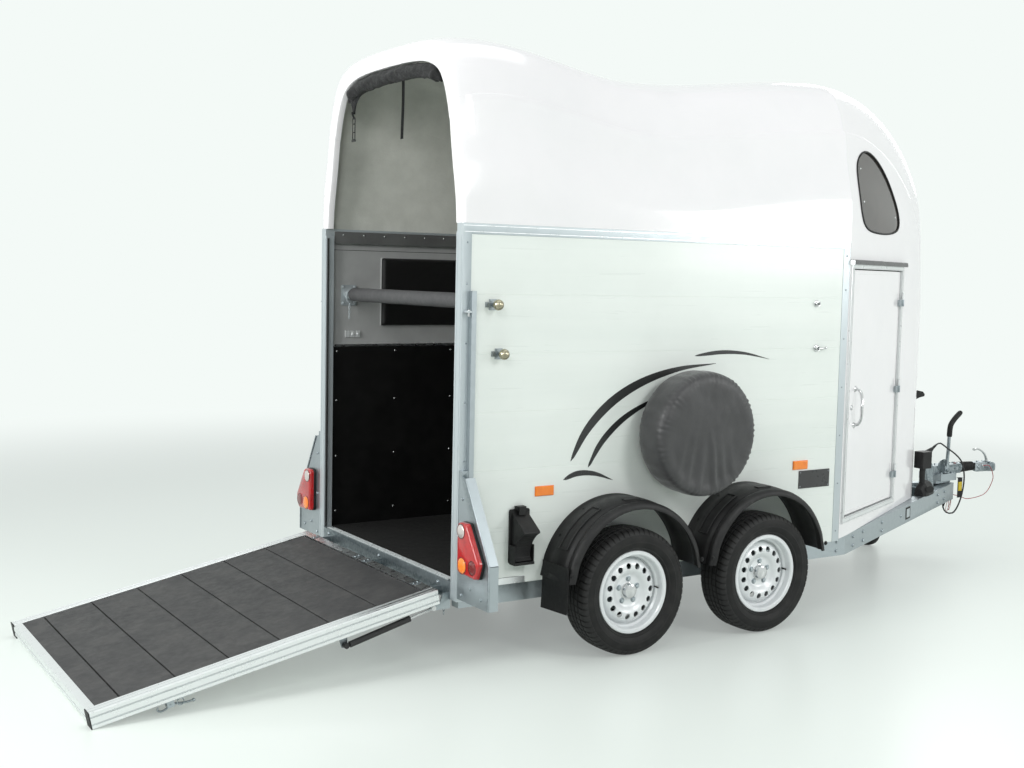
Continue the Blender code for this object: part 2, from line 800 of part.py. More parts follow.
def windowPrism(side, shrink):
    centre = Vector((0.46, railTop + 0.266))
    points = []
    for s, rise in smoothLoop(windowOutline, 33):
        away = Vector((s, railTop + rise)) - centre
        at = centre + away * (1.0 - shrink / away.length)
        points.append((at.x, at.y))
    return prismMesh(points, -0.10, windowDepth, taperFrame(side) @ flipIn(side))


def flipIn(side):
    # outline in s, z; the extrusion runs inward from the tapered side
    return Matrix(((1, 0, 0, 0), (0, 0, -side, 0), (0, 1, 0, 0), (0, 0, 0, 1)))


def buildWindows():
    for side, label in ((-1.0, "right"), (1.0, "left")):
        pane = place("window_" + label, windowPrism(side, gap * 2), "smoked_glass")
        outer = []
        inner = []
        for inset, rings in ((0.001, outer), (0.007, inner)):
            for x, half, angle in noseStations(inset):
                rings.append(sectionRing(x, half, crownHeight(x, inset), 1.8))
        bm, outerRows, innerRows = shellMesh(outer, inner, True)
        for end in (0, -1):
            a = [row[end] for row in outerRows]
            b = [row[end] for row in innerRows]
            for p, q, r, s in zip(a, a[1:], b[1:], b):
                bm.faces.new((p, q, r, s))
        lastOuter, lastInner = outerRows[-1], innerRows[-1]
        bm.faces.new((lastOuter[0], lastOuter[-1], lastInner[-1], lastInner[0]))
        add(pane, toMesh(bm), "INTERSECT")


# Groom's door

hingeS = doorEnd - doorFrameWidth + 0.002
hingeOut = doorFrameProud + 0.009
knuckleRadius = 0.008


def onTaper(s, out, z, side=-1.0):
    return taperFrame(side) @ Vector((s, side * out, z))


def taperBox(s0, s1, out0, out1, z0, z1, side=-1.0):
    return boxMesh(s0, s1, side * out0, side * out1, z0, z1, taperFrame(side))


def buildDoor():
    frame = place("door_frame", taperBox(doorStart + gap, doorEnd - gap, -0.024, doorFrameProud,
                                         doorBottom + gap, doorTop - gap), "alu")
    inner = doorFrameWidth
    cut(frame, taperBox(doorStart + inner, doorEnd - inner, -0.10, 0.10, doorBottom + inner,
                        doorTop - inner))
    add(frame, taperBox(doorStart - 0.012, doorEnd + 0.012, gap, 0.026, doorTop + 0.002 - 0.010,
                        doorTop + dripRailHeight))
    doorHeight = doorTop - doorBottom
    hinge = emptyAt("door_hinge", onTaper(hingeS, hingeOut, 0.0), datum, (0.0, 0.0, noseTaper))
    clear = inner + moveClear
    edge = doorEnd - clear - hingeS
    far = doorStart + clear - hingeS
    leaf = place("groom_door", boxMesh(far, edge, hingeOut, hingeOut + doorThickness,
                                       doorBottom + clear, doorTop - clear), "white_grp", hinge)
    for share in (0.14, 0.50, 0.86):
        z = doorBottom + doorHeight * share
        frameLow, frameHigh = z, z + 0.040
        leafLow, leafHigh = z - 0.041, z - 0.001
        add(frame, rodMesh(onTaper(hingeS, hingeOut, frameLow), onTaper(hingeS, hingeOut, frameHigh),
                           knuckleRadius))
        add(frame, taperBox(hingeS, hingeS + 0.024, doorFrameProud - 0.003, hingeOut, frameLow,
                            frameHigh))
        add(leaf, rodMesh((0.0, 0.0, leafLow), (0.0, 0.0, leafHigh), knuckleRadius))
        add(leaf, boxMesh(-0.030, 0.0, 0.0, 0.0045, leafLow, leafHigh))
        add(leaf, boxMesh(-0.030, edge - 0.002, 0.0, hingeOut + 0.004, leafLow, leafHigh))
    gripLow = doorBottom + 0.528
    grip = [(far + 0.110, hingeOut + 0.003, gripLow), (far + 0.110, hingeOut - 0.040, gripLow + 0.020),
            (far + 0.085, hingeOut - 0.052, gripLow + 0.100),
            (far + 0.110, hingeOut - 0.040, gripLow + 0.180),
            (far + 0.110, hingeOut + 0.003, gripLow + 0.200)]
    add(leaf, tubeMesh(grip, 0.008))
    return frame


# Axles and wheels

def buildAxles():
    tubeTop = chassisBottom - gap
    tubeZ = tubeTop - axleTubeSize / 2
    half = axleTubeSize / 2
    for label, wheelX in (("rear", wheelRearX), ("front", wheelFrontX)):
        x = wheelX + armLength
        axle = place("axle_" + label, boxMesh(x - half, x + half, 0.167 - wheelCentreY,
                                              wheelCentreY - 0.167, tubeZ - half, tubeTop),
                     "galvanised")
        for side in (-1.0, 1.0):
            # distances from here run inboard of the wheel's centre
            def inboard(distance):
                return side * (wheelCentreY - distance)

            arm = boxMesh(-0.045, hypot(armLength, tyreRadius - tubeZ) + 0.030, -0.030, 0.030,
                          -0.034, 0.034, frameOf((x, inboard(0.145), tubeZ),
                                                 (-armLength, 0.0, tyreRadius - tubeZ)))
            add(axle, arm)
            add(axle, rodMesh((x, inboard(0.177), tubeZ), (x, inboard(0.137), tubeZ), 0.034, 14))
            add(axle, rodMesh((wheelX, inboard(0.137), tyreRadius),
                              (wheelX, inboard(0.005), tyreRadius), stubRadius, 12))
            add(axle, rodMesh((wheelX, inboard(0.101), tyreRadius),
                              (wheelX, inboard(0.083), tyreRadius), drumRadius, 24))


beadRadius = 0.178
wallOfRim = 0.004
discFace = 0.026


def rimProfile():
    lip = rimHalfWidth
    seat = lip - 0.0058
    drop = beadRadius - 0.018
    drumDepth = -0.075
    bore = stubRadius + pinClear
    inside = beadRadius - wallOfRim
    dropIn = drop - wallOfRim
    return [
        (rimRadius, lip), (rimRadius, seat), (beadRadius, seat), (beadRadius, 0.046), (drop, 0.030),
        (drop, -0.020), (beadRadius, -0.040), (beadRadius, -seat), (rimRadius, -seat),
        (rimRadius, -lip), (inside, -lip), (inside, -0.043), (dropIn, -0.022), (dropIn, 0.006),
        (drumRadius + 0.030, 0.030), (drumRadius, 0.038), (drumRadius, drumDepth), (bore, drumDepth),
        (bore, 0.0), (0.0, 0.0), (0.0, discFace + 0.030), (0.026, discFace + 0.030),
        (0.034, discFace + 0.024), (0.034, discFace), (0.072, discFace + 0.002), (0.102, 0.048),
        (0.136, 0.040), (dropIn, 0.014), (inside, 0.048), (inside, lip),
    ]


def tyreProfile():
    half = tyreWidth / 2
    bead = rimHalfWidth - 0.0058 - 2 * gap
    inner = beadRadius + gap
    shape = [(inner, bead), (rimRadius + 0.001, bead), (rimRadius + 0.010, half - 0.012),
             (rimRadius + 0.040, half), (tyreRadius - 0.026, half - 0.005),
             (tyreRadius - 0.008, half - 0.018), (tyreRadius, half - 0.040)]
    return shape[::-1] + [(r, -w) for r, w in shape]


def buildWheels():
    for where, x in (("rear", wheelRearX), ("front", wheelFrontX)):
        for side, label in ((-1.0, "right"), (1.0, "left")):
            name = where + "_" + label
            spin = emptyAt("spin_" + name, (x, side * wheelCentreY, tyreRadius), datum)
            turned("tyre_" + name, tyreProfile(), wheelSegments, "tyre_rubber", spin, side)
            turned("rim_" + name, rimProfile(), wheelSegments, "rim_silver", spin, side)


# Mudguards

def guardPath(wheelX, radius, rearward, forward):
    # arch over one wheel from its rear foot to its front foot, in x, z
    points = [(wheelX - rearward, guardFootZ)]
    turns = 10
    for k in range(turns + 1):
        angle = radians(158.0 - 136.0 * k / turns)
        squash = 1.0 if angle < pi / 2 else rearward / forward
        points.append((wheelX + forward * squash * cos(angle) * 1.02,
                       tyreRadius + radius * sin(angle) ** 0.92))
    points.append((wheelX + forward, guardFootZ))
    return points


def guardMesh(wheelX, rearward, forward, y0, y1, thickness, side):
    outer = guardPath(wheelX, mudguardRadius, rearward, forward)
    inner = guardPath(wheelX, mudguardRadius - thickness, rearward - thickness, forward - thickness)
    inner[0] = (inner[0][0], outer[0][1])
    outline = outer + inner[::-1]
    return prismMesh(outline, side * y0, side * y1, upright)


def buildMudguards():
    for side, label in ((-1.0, "right"), (1.0, "left")):
        near = wallOuterY + gap
        rear = guardMesh(wheelRearX, guardReach, guardReach, near, mudguardOuterY, mudguardThickness,
                         side)
        guard = place("mudguard_" + label, rear, "black_plastic")
        add(guard, guardMesh(wheelRearX, guardReach, guardReach, mudguardOuterY - 0.012,
                             mudguardOuterY, mudguardLip, side))
        add(guard, guardMesh(wheelFrontX, guardReach, guardReach, near, mudguardOuterY,
                             mudguardThickness, side))
        add(guard, guardMesh(wheelFrontX, guardReach, guardReach, mudguardOuterY - 0.012,
                             mudguardOuterY, mudguardLip, side))
        # web that joins the two arches along the wall
        add(guard, boxMesh(wheelRearX + guardReach - 0.018, wheelFrontX - guardReach + 0.018,
                           side * near, side * (near + webWidth), guardFootZ, guardFootZ + 0.120))
        flapX = wheelRearX - guardReach
        add(guard, boxMesh(flapX + 0.001, flapX + 0.007, side * (near + 0.01),
                           side * (mudguardOuterY - 0.004), flapBottom, 0.460))


# Ramp

def buildRamp():
    hinge = emptyAt("ramp_hinge", (rampHingeX, 0.0, rampHingeZ), datum, (0.0, -rampTilt, 0.0))
    top = rampFaceOffset
    low = -rampUnder
    tip = -rampLength
    frame = place("ramp_frame", boxMesh(tip, -rampRoot, -rampHalfWidth, rampHalfWidth, low, top),
                  "alu", hinge)
    innerY = rampHalfWidth - rampRailWidth
    edgeWidth = 0.040
    cut(frame, boxMesh(tip + edgeWidth, -rampRoot - edgeWidth, -innerY, innerY, low - 0.02,
                       top + 0.02))
    # hinge tube with its webs
    add(frame, rodMesh((0.0, -rampLugY - 0.040, 0.0), (0.0, rampLugY + 0.040, 0.0),
                       hingePinRadius, 16))
    for y in (0.040 - rampLugY, -0.052, 0.052, rampLugY - 0.040):
        add(frame, boxMesh(-rampRoot - 0.004, 0.0, y - 0.012, y + 0.012, -0.009, 0.009))
    # latch bodies on the side rails, near the tip
    for side in (-1.0, 1.0):
        add(frame, boxMesh(-1.290, -1.170, side * (rampHalfWidth - 0.050),
                           side * (rampHalfWidth - 0.006), low - 0.012, low + 0.004))
    # strut eye plate on the right side rail
    eyeX = -strutEyeAlong
    add(frame, boxMesh(eyeX - 0.022, eyeX + 0.022, strutY + 0.020, strutY + 0.026,
                       -strutEyeBelow - 0.014, low + 0.004))
    deckTop = top - 0.006
    deckLow = low + 0.012
    length = rampLength - rampRoot - 2 * edgeWidth - 2 * gap
    start = tip + edgeWidth + gap
    firstBoard = 0.45
    pitch = length / (boardCount - 1 + firstBoard)
    points = [(start, deckTop)]
    for k in range(boardCount - 1):
        x = start + pitch * (firstBoard + k)
        points += [(x - boardGroove, deckTop), (x, deckTop - boardGroove), (x + boardGroove, deckTop)]
    points += [(start + length, deckTop), (start + length, deckLow), (start, deckLow)]
    place("ramp_boards", prismMesh(points, -innerY + gap, innerY - gap, upright), "black_rubber",
          hinge)
    return hinge


def buildStrut(hinge):
    # local to the ramp: eye on the ramp, rod's eye at the chassis pin
    eye = Vector((-strutEyeAlong, strutY, -strutEyeBelow))
    turn = Matrix.Rotation(-rampTilt, 4, "Y")
    eyeWorld = Vector((rampHingeX, 0.0, rampHingeZ)) + turn @ eye
    pin = Vector((strutPinX, strutY, strutPinZ))
    reach = (pin - eyeWorld)
    pitch = atan2(-reach.z, reach.x)
    pivot = emptyAt("strut_pivot", eyeWorld, datum, (0.0, pitch, 0.0))
    length = reach.length
    tubeEnd = length * 0.72
    tube = place("strut_cylinder", rodMesh((0.016, 0.0, 0.0), (tubeEnd, 0.0, 0.0),
                                           strutTubeRadius, 14), "black_plastic", pivot)
    add(tube, rodMesh((0.0, -0.007, 0.0), (0.0, 0.020 - gap, 0.0), 0.012, 12))
    add(tube, boxMesh(0.0, 0.020, -0.005, 0.005, -0.008, 0.008))
    bore = strutRodRadius + 0.001
    cut(tube, rodMesh((length * 0.30, 0.0, 0.0), (tubeEnd + 0.01, 0.0, 0.0), bore, 12))
    rod = place("strut_rod", rodMesh((length * 0.50, 0.0, 0.0), (length - 0.006, 0.0, 0.0),
                                     strutRodRadius, 12), "galvanised", pivot)
    add(rod, rodMesh((length, -0.007, 0.0), (length, 0.007, 0.0), 0.011, 12))


# Rear lamp wings

def buildLamps():
    # wing outline in y, z
    inner = bodyHalfWidth + wingInner
    apex = bodyHalfWidth + wingApex
    knee = bodyHalfWidth + wingKnee
    kneeZ = wingBottom + 0.194
    wing = [(inner, wingBottom), (inner, wingTop), (apex, wingTop - 0.010), (knee, kneeZ),
            (knee, wingBottom)]
    for side, label in ((-1.0, "right"), (1.0, "left")):
        panel = place("lamp_wing_" + label, prismMesh([(side * y, z) for y, z in wing], 0.002, 0.010,
                                                      across), "galvanised")
        # channel on the wall side and bar along the slanted edge
        near = side * (bodyHalfWidth + gap)
        add(panel, boxMesh(0.002, 0.050, near, side * (inner + 0.005), wingBottom,
                           wingTop + 0.020))
        add(panel, boxMesh(0.036, 0.060, near, side * (inner + 0.007), wingBottom + 0.004,
                           railTop - 0.294))
        start = Vector((0.028, side * apex, wingTop - 0.010))
        slope = Vector((0.028, side * knee, kneeZ)) - start
        add(panel, boxMesh(0.0, slope.length, -0.006, 0.006, -0.022, 0.022,
                           Matrix.Translation(start) @ slopeFrame(slope)))
        add(panel, boxMesh(0.006, 0.050, side * (knee - 0.006), side * (knee + 0.006), wingBottom,
                           kneeZ))
        lampOutline = ((apex, 0.134), (knee - 0.050, 0.128), (knee - 0.022, 0.200),
                       (apex + 0.080, 0.362), (apex, 0.362))
        lamp = place("tail_lamp_" + label, prismMesh(
            [(side * y, wingBottom + rise) for y, rise in lampOutline], 0.002 - gap, -0.045,
            across), "lamp_red")
        rounding = lamp.modifiers.new("edge", "BEVEL")
        rounding.width = 0.010
        rounding.segments = 2


def slopeFrame(direction):
    along = direction.normalized()
    normal = Vector((1.0, 0.0, 0.0))
    third = along.cross(normal)
    return Matrix((along, third, normal)).transposed().to_4x4()


# Spare wheel and chock

def buildSpare():
    x = bodyLength / 2 + spareAhead
    z = wallBottom + spareHeight
    near = bodyHalfWidth + 0.028
    far = bodyHalfWidth + spareOverhang
    spin = emptyAt("spare_seat", (x, -near, z), datum)
    depth = far - near
    profile = [(0.0, 0.0), (spareRadius - 0.040, 0.0), (spareRadius - 0.012, 0.020),
               (spareRadius - 0.002, 0.050), (spareRadius, 0.110), (spareRadius - 0.002, 0.160),
               (spareRadius - 0.014, 0.190), (spareRadius - 0.040, depth - 0.002),
               (0.0, depth - 0.004)]
    turned("spare_cover", profile, 36, "black_fabric", spin, -1.0)
    place("spare_carrier", rodMesh((x, -wallOuterY - gap, z), (x, -near + gap, z), 0.060, 20),
          "galvanised")


def buildChock():
    face = -(wallOuterY + gap)
    low = wallBottom + 0.094
    frontX = chockFrontX
    rearX = frontX - 0.094
    plate = 0.012
    shelf = 0.014
    holder = place("chock_holder", boxMesh(rearX, frontX, face, face - plate, low, low + 0.264),
                   "black_plastic")
    add(holder, boxMesh(rearX, frontX, face, face - 0.060, low, low + shelf))
    foot = low + shelf + 0.004
    # flat back and sloping top, hollow face towards the tyre
    wedge = [(0.0, foot), (0.0, foot + 0.216), (0.104, foot + 0.146), (0.106, foot + 0.136)]
    hollowX, hollowZ, hollowRadius = 0.160, foot + 0.015, 0.1325
    for k in range(7):
        angle = radians(114.0 + 11.0 * k)
        wedge.append((hollowX + hollowRadius * cos(angle), hollowZ + hollowRadius * sin(angle)))
    wedge.append((0.046, foot))
    outline = [(face - plate - gap - y, z) for y, z in wedge]
    place("wheel_chock", prismMesh(outline, rearX + 0.008, frontX - 0.008, across), "black_plastic")


# Hook on the nose front, on one of its flats right of the middle

hookFlat = 5.5
hookHeight = 1.018


def buildHook():
    step = (noseLastAngle - noseTaper) / noseTurns
    angle = noseTaper + step * hookFlat
    seat = noseRadius * cos(step / 2) + gap
    turn = Matrix.Translation((noseCentreX, 0.0, 0.0)) @ Matrix.Rotation(angle - pi / 2, 4, "Z")
    hook = place("nose_hook", boxMesh(seat, seat + 0.004, -0.017, 0.017, hookHeight,
                                      hookHeight + 0.180, turn), "black_plastic")
    horn = [(0.002, 0.002), (0.002, 0.070), (0.022, 0.072), (0.084, 0.060), (0.098, 0.044),
            (0.096, 0.030), (0.062, 0.022), (0.027, 0.006)]
    outline = [(seat + out, hookHeight + rise) for out, rise in horn]
    add(hook, prismMesh(outline, -0.015, 0.015, turn @ upright))


# Plastic case on the right drawbar beam, ahead of the nose: housing, stem and box

caseLength = 0.170
caseRadius = 0.045


def buildCase():
    x = noseTipX + 0.026
    y = -railCentreY + (railCentreY - drawbarFrontY) * (x - drawbarBendX) / (drawbarFrontX
                                                                             - drawbarBendX)
    along = Vector((drawbarFrontX - drawbarBendX, railCentreY - drawbarFrontY, drawbarRise))
    seat = frameOf((x, y, beamTop(x)), along)
    half = caseLength / 2
    case = place("drawbar_case", turnedHalf(half, caseRadius, seat), "black_plastic")
    stem = seat @ Vector((-0.046, 0.0, caseRadius))
    boxLow = hookHeight - 0.413
    add(case, rodMesh((stem.x, stem.y, beamTop(stem.x) + 0.060), (stem.x, stem.y, boxLow + 0.010),
                      0.018, 14))
    add(case, boxMesh(stem.x - 0.040, stem.x + 0.040, stem.y - 0.035, stem.y + 0.035, boxLow,
                      boxLow + 0.105))


def turnedHalf(half, radius, matrix):
    # domed housing: half-round section, rounded down at its ends
    bm = bmesh.new()
    rows = []
    for x, share in ((-half, 0.55), (-half + 0.016, 0.88), (-half + 0.045, 1.0),
                     (half - 0.045, 1.0), (half - 0.016, 0.88), (half, 0.55)):
        ring = []
        for k in range(9):
            angle = pi * k / 8
            ring.append(bm.verts.new(matrix @ Vector((x, -radius * share * cos(angle),
                                                      gap + 1.9 * radius * share * sin(angle)))))
        rows.append(ring)
    for first, second in zip(rows, rows[1:]):
        for k in range(9):
            n = (k + 1) % 9
            bm.faces.new((first[k], first[n], second[n], second[k]))
    bm.faces.new(rows[0])
    bm.faces.new(rows[-1][::-1])
    return toMesh(bm)


# Rolled curtain under the rear of the hood

curtainRadius = 0.036


def buildCurtain():
    # the roll follows the underside of the rear lip
    x = hoodLipDepth - 0.006
    lip = sectionRing(0.0, hoodHalfWidth - grpThickness, hoodRearCrown - grpThickness, railTop,
                      hoodLipWidth - grpThickness)
    seat = [Vector((x, y, z)) for _, y, z in lip if z > hoodRearCrown - 0.24]
    middle = Vector((x, 0.0, hoodRearCrown - 0.65))
    path = []
    for before, here, after in zip([seat[0]] + seat, seat, seat[1:] + [seat[-1]]):
        along = (after - before).normalized()
        stretch = 1.0 / along.dot((after - here if here == before else here - before).normalized())
        inward = along.cross(Vector((1.0, 0.0, 0.0)))
        if inward.dot(middle - here) < 0:
            inward = -inward
        path.append(here + inward * (curtainRadius + gap) * stretch)
    roll = place("curtain_roll", tubeMesh(path, curtainRadius, 2), "black_fabric")
    top = path[len(path) // 2].z
    for y, low in ((0.430, 0.270), (-0.105, 0.310)):
        add(roll, boxMesh(x - 0.002, x + 0.002, y - 0.012, y + 0.012, top - low, top - 0.030))
    return roll


# Coupling end

def buildCoupling():
    deck = beamTop(drawbarFrontX) + gap
    body = place("overrun_housing", boxMesh(overrunRearX, bellowsRearX - 0.030, -0.045, 0.045,
                                            couplingZ - 0.030, couplingZ + 0.030), "galvanised")
    add(body, boxMesh(overrunRearX + 0.02, overrunRearX + 0.17, -0.090, 0.090, couplingZ - 0.066,
                      couplingZ - 0.020))
    add(body, rodMesh((bellowsRearX - 0.040, 0.0, couplingZ), (bellowsRearX, 0.0, couplingZ), 0.034,
                      18))
    add(body, boxMesh(overrunRearX + 0.02, overrunRearX + 0.16, -0.050, 0.050, deck,
                      couplingZ - 0.050))
    ribs = 6
    span = headRearX - bellowsRearX - 2 * gap
    outline = [(0.0, 0.0)]
    for k in range(ribs):
        base = span * k / ribs
        outline += [(0.024, base), (0.034, base + span / ribs * 0.5)]
    outline += [(0.024, span), (0.0, span)]
    bellows = turned("bellows", outline, 18, "black_rubber",
                     emptyAt("bellows_seat", (bellowsRearX + gap, 0.0, couplingZ), datum))
    bellows.rotation_euler = (0.0, pi / 2, 0.0)
    head = place("coupling_head", boxMesh(headRearX, headRearX + headLength * 0.45, -0.028, 0.028,
                                          couplingZ - 0.030, couplingZ + 0.024), "galvanised")
    ballX = couplingTipX - 0.036
    add(head, rodMesh((ballX, 0.0, couplingZ - 0.050), (ballX, 0.0, couplingZ + 0.012), 0.036, 20))
    add(head, boxMesh(headRearX + 0.04, ballX, -headHalfWidth, headHalfWidth, couplingZ - 0.044,
                      couplingZ + 0.010))
    cut(head, rodMesh((ballX, 0.0, couplingZ - 0.060), (ballX, 0.0, couplingZ - 0.012), 0.026, 20))
    add(head, tubeMesh([(headRearX + 0.150, 0.0, couplingZ), (headRearX + 0.120, 0.0,
                                                             couplingZ + 0.070),
                        (headRearX + 0.045, 0.0, couplingZ + 0.092),
                        (headRearX + 0.005, 0.0, couplingZ + 0.080)], 0.011, 2))
    leverFoot = (leverFootX, -0.072, couplingZ + 0.005)
    lever = place("handbrake_lever", boxMesh(leverFootX - 0.020, leverFootX + 0.020, -0.078,
                                             -0.045 - gap, couplingZ - 0.016, couplingZ + 0.034),
                  "galvanised")
    add(lever, tubeMesh(smoothPath([leverFoot, (leverFootX + 0.010, -0.072, couplingZ + 0.148),
                                    (leverFootX + 0.018, -0.072, couplingZ + 0.288),
                                    (leverFootX + 0.060, -0.072, couplingZ + 0.348),
                                    (leverFootX + 0.115, -0.072, leverTopZ)], 0.06), 0.011, 2))


# Jockey wheel

def buildJockey():
    beamZ = beamTop(jockeyX) - railSectionHeight / 2
    tubeLow = 0.345
    clamp = place("jockey_clamp", rodMesh((jockeyX, jockeyY, tubeLow), (jockeyX, jockeyY,
                                                                        jockeyTopZ),
                                          jockeyTubeRadius, 16), "galvanised")
    direction = Vector((sin(beamTurn), cos(beamTurn), 0.0))
    distance = jockeyOutboard * cos(beamTurn) - gap
    arm = boxMesh(-distance, 0.0, -0.030, 0.030, -0.040, 0.040,
                  frameOf((jockeyX, jockeyY, beamZ), direction))
    add(clamp, arm)
    cut(clamp, rodMesh((jockeyX, jockeyY, tubeLow - 0.01), (jockeyX, jockeyY, jockeyTopZ - 0.02),
                       jockeyInnerRadius + pinClear, 16))
    add(clamp, tubeMesh([(jockeyX, jockeyY, jockeyTopZ - 0.01), (jockeyX, jockeyY,
                                                                 jockeyTopZ + 0.035),
                         (jockeyX - 0.100, jockeyY, jockeyTopZ + 0.035),
                         (jockeyX - 0.100, jockeyY, jockeyTopZ + 0.090)], 0.006, 2))
    slide = emptyAt("jockey_slide", (jockeyX, jockeyY, 0.0), datum)
    forkTop = 2 * jockeyWheelRadius + 0.012
    place("jockey_tube", rodMesh((0.0, 0.0, forkTop + 0.0105 + gap), (0.0, 0.0, 0.660),
                                 jockeyInnerRadius, 16), "galvanised", slide)
    swivel = emptyAt("jockey_swivel", (jockeyX, jockeyY, 0.0), datum)
    cheek = jockeyWheelWidth / 2 + 0.006
    fork = place("jockey_fork", rodMesh((0.0, 0.0, forkTop), (0.0, 0.0, forkTop + 0.0105), 0.032,
                                        16), "galvanised", swivel)
    add(fork, boxMesh(-0.030, 0.030, -0.030, jockeyTrail, forkTop - 0.004, forkTop + 0.004))
    for edge in (-1.0, 1.0):
        x0 = edge * cheek
        add(fork, prismMesh([(-0.026, forkTop + 0.004), (jockeyTrail + 0.020, forkTop + 0.004),
                             (jockeyTrail + 0.020, jockeyWheelRadius - 0.018),
                             (jockeyTrail - 0.020, jockeyWheelRadius - 0.018)],
                            x0, x0 + edge * 0.004, across))
    add(fork, boxMesh(-cheek - 0.004, cheek + 0.004, -0.026, jockeyTrail + 0.020, forkTop - 0.002,
                      forkTop + 0.004))
    add(fork, rodMesh((-cheek - 0.010, jockeyTrail, jockeyWheelRadius),
                      (cheek + 0.010, jockeyTrail, jockeyWheelRadius), 0.008, 12))
    spin = emptyAt("jockey_spin", (jockeyX, jockeyY + jockeyTrail, jockeyWheelRadius), datum)
    half = jockeyWheelWidth / 2
    outer = jockeyWheelRadius
    bore = 0.008 + pinClear
    profile = [(bore, half - 0.006), (bore, -half + 0.006), (0.030, -half + 0.006),
               (outer - 0.018, -half), (outer, -half + 0.014), (outer, half - 0.014),
               (outer - 0.018, half), (0.030, half - 0.006)]
    wheel = turned("jockey_wheel", profile, 28, "tyre_rubber", spin)
    wheel.rotation_euler = (0.0, pi / 2, 0.0)


# Plug, cable and breakaway cable

plugY = -0.113
plugStart = Vector((drawbarFrontX - 0.370, plugY, couplingZ + 0.106))
plugAxis = Vector((0.854, 0.0, 0.520)).normalized()
plugLength = 0.125
cableRadius = 0.005
breakawayRadius = 0.0025
glandAt = (drawbarFrontX - 0.090, -0.069)
glandLength = 0.020
breakawayEye = (drawbarFrontX + 0.030, -0.035, couplingZ - 0.177)
breakawayStart = (headRearX + 0.060, couplingZ + 0.003)


def cableRoute():
    end = plugStart + plugAxis * (plugLength + 2 * gap)
    glandZ = beamTop(glandAt[0]) - railSectionHeight - glandLength - 2 * gap
    # ahead of the beams' front, to the left, above the coupling
    bends = ((-0.202, -0.113, 0.192), (-0.142, -0.116, 0.160), (-0.051, -0.118, 0.110),
             (0.012, -0.120, 0.053), (0.042, -0.120, -0.042), (0.029, -0.120, -0.151),
             (-0.005, -0.116, -0.237), (-0.040, -0.106, -0.280), (-0.076, -0.082, -0.276))
    return [end, end + plugAxis * 0.026,
            *((drawbarFrontX + x, y, couplingZ + z) for x, y, z in bends),
            (*glandAt, glandZ - 0.022), (*glandAt, glandZ)]


def breakawayRoute():
    x, z = breakawayStart
    eyeX, eyeY, eyeZ = breakawayEye
    bends = ((0.390, -0.050, -0.004), (0.424, -0.050, -0.049), (0.428, -0.050, -0.105),
             (0.352, -0.050, -0.189), (0.189, -0.045, -0.212), (0.110, -0.038, -0.190))
    return [(x, -headHalfWidth - 2 * gap, z), (x, -headHalfWidth - 0.014, z),
            (x + 0.018, -0.056, z + 0.004),
            *((drawbarFrontX + bendX, bendY, couplingZ + bendZ) for bendX, bendY, bendZ in bends),
            (eyeX + 0.020, eyeY, eyeZ), (eyeX + 2 * gap, eyeY, eyeZ)]


def buildCables():
    x = plugStart.x
    seat = beamTop(x + 0.085) + gap
    plate = [(x + 0.040, seat), (x + 0.080, seat), (x + 0.062, couplingZ + 0.058),
             (x + 0.015, couplingZ + 0.130), (x - 0.032, couplingZ + 0.113),
             (x - 0.010, couplingZ + 0.058)]
    holder = place("plug_holder", prismMesh(plate, plugY - 0.035, plugY - 0.029, upright),
                   "galvanised")
    add(holder, rodMesh(plugStart - plugAxis * 0.028, plugStart - plugAxis * gap, 0.030, 18))
    plug = place("plug", rodMesh(plugStart, plugStart + plugAxis * 0.055, 0.024, 18),
                 "black_plastic")
    add(plug, rodMesh(plugStart + plugAxis * 0.054, plugStart + plugAxis * plugLength, 0.021, 18,
                      0.008))
    tubeCurve("cable", smoothPath(cableRoute(), 0.022), cableRadius, "cable_black")
    tubeCurve("breakaway_cable", smoothPath(breakawayRoute(), 0.016), breakawayRadius, "cable_red")


def buildParts():
    buildChassis()
    buildFloors()
    buildWalls()
    buildBars()
    buildSideFrames()
    buildSill()
    buildHood()
    buildNose()
    buildWindows()
    buildDoor()
    buildAxles()
    buildWheels()
    buildMudguards()
    hinge = buildRamp()
    buildStrut(hinge)
    buildLamps()
    buildSpare()
    buildChock()
    buildHook()
    buildCase()
    buildCurtain()
    buildCoupling()
    buildJockey()
    buildCables()


buildParts()
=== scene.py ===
# Looks of the horse trailer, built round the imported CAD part.
# Metres. Measures below run from the trailer's datum: x forward from the rear face of the
# doorway, y to the left, z up from the ground.
from math import acos, asin, atan, cos, hypot, pi, radians, sin, sqrt, tan
import bmesh
import bpy
from mathutils import Matrix, Vector, noise


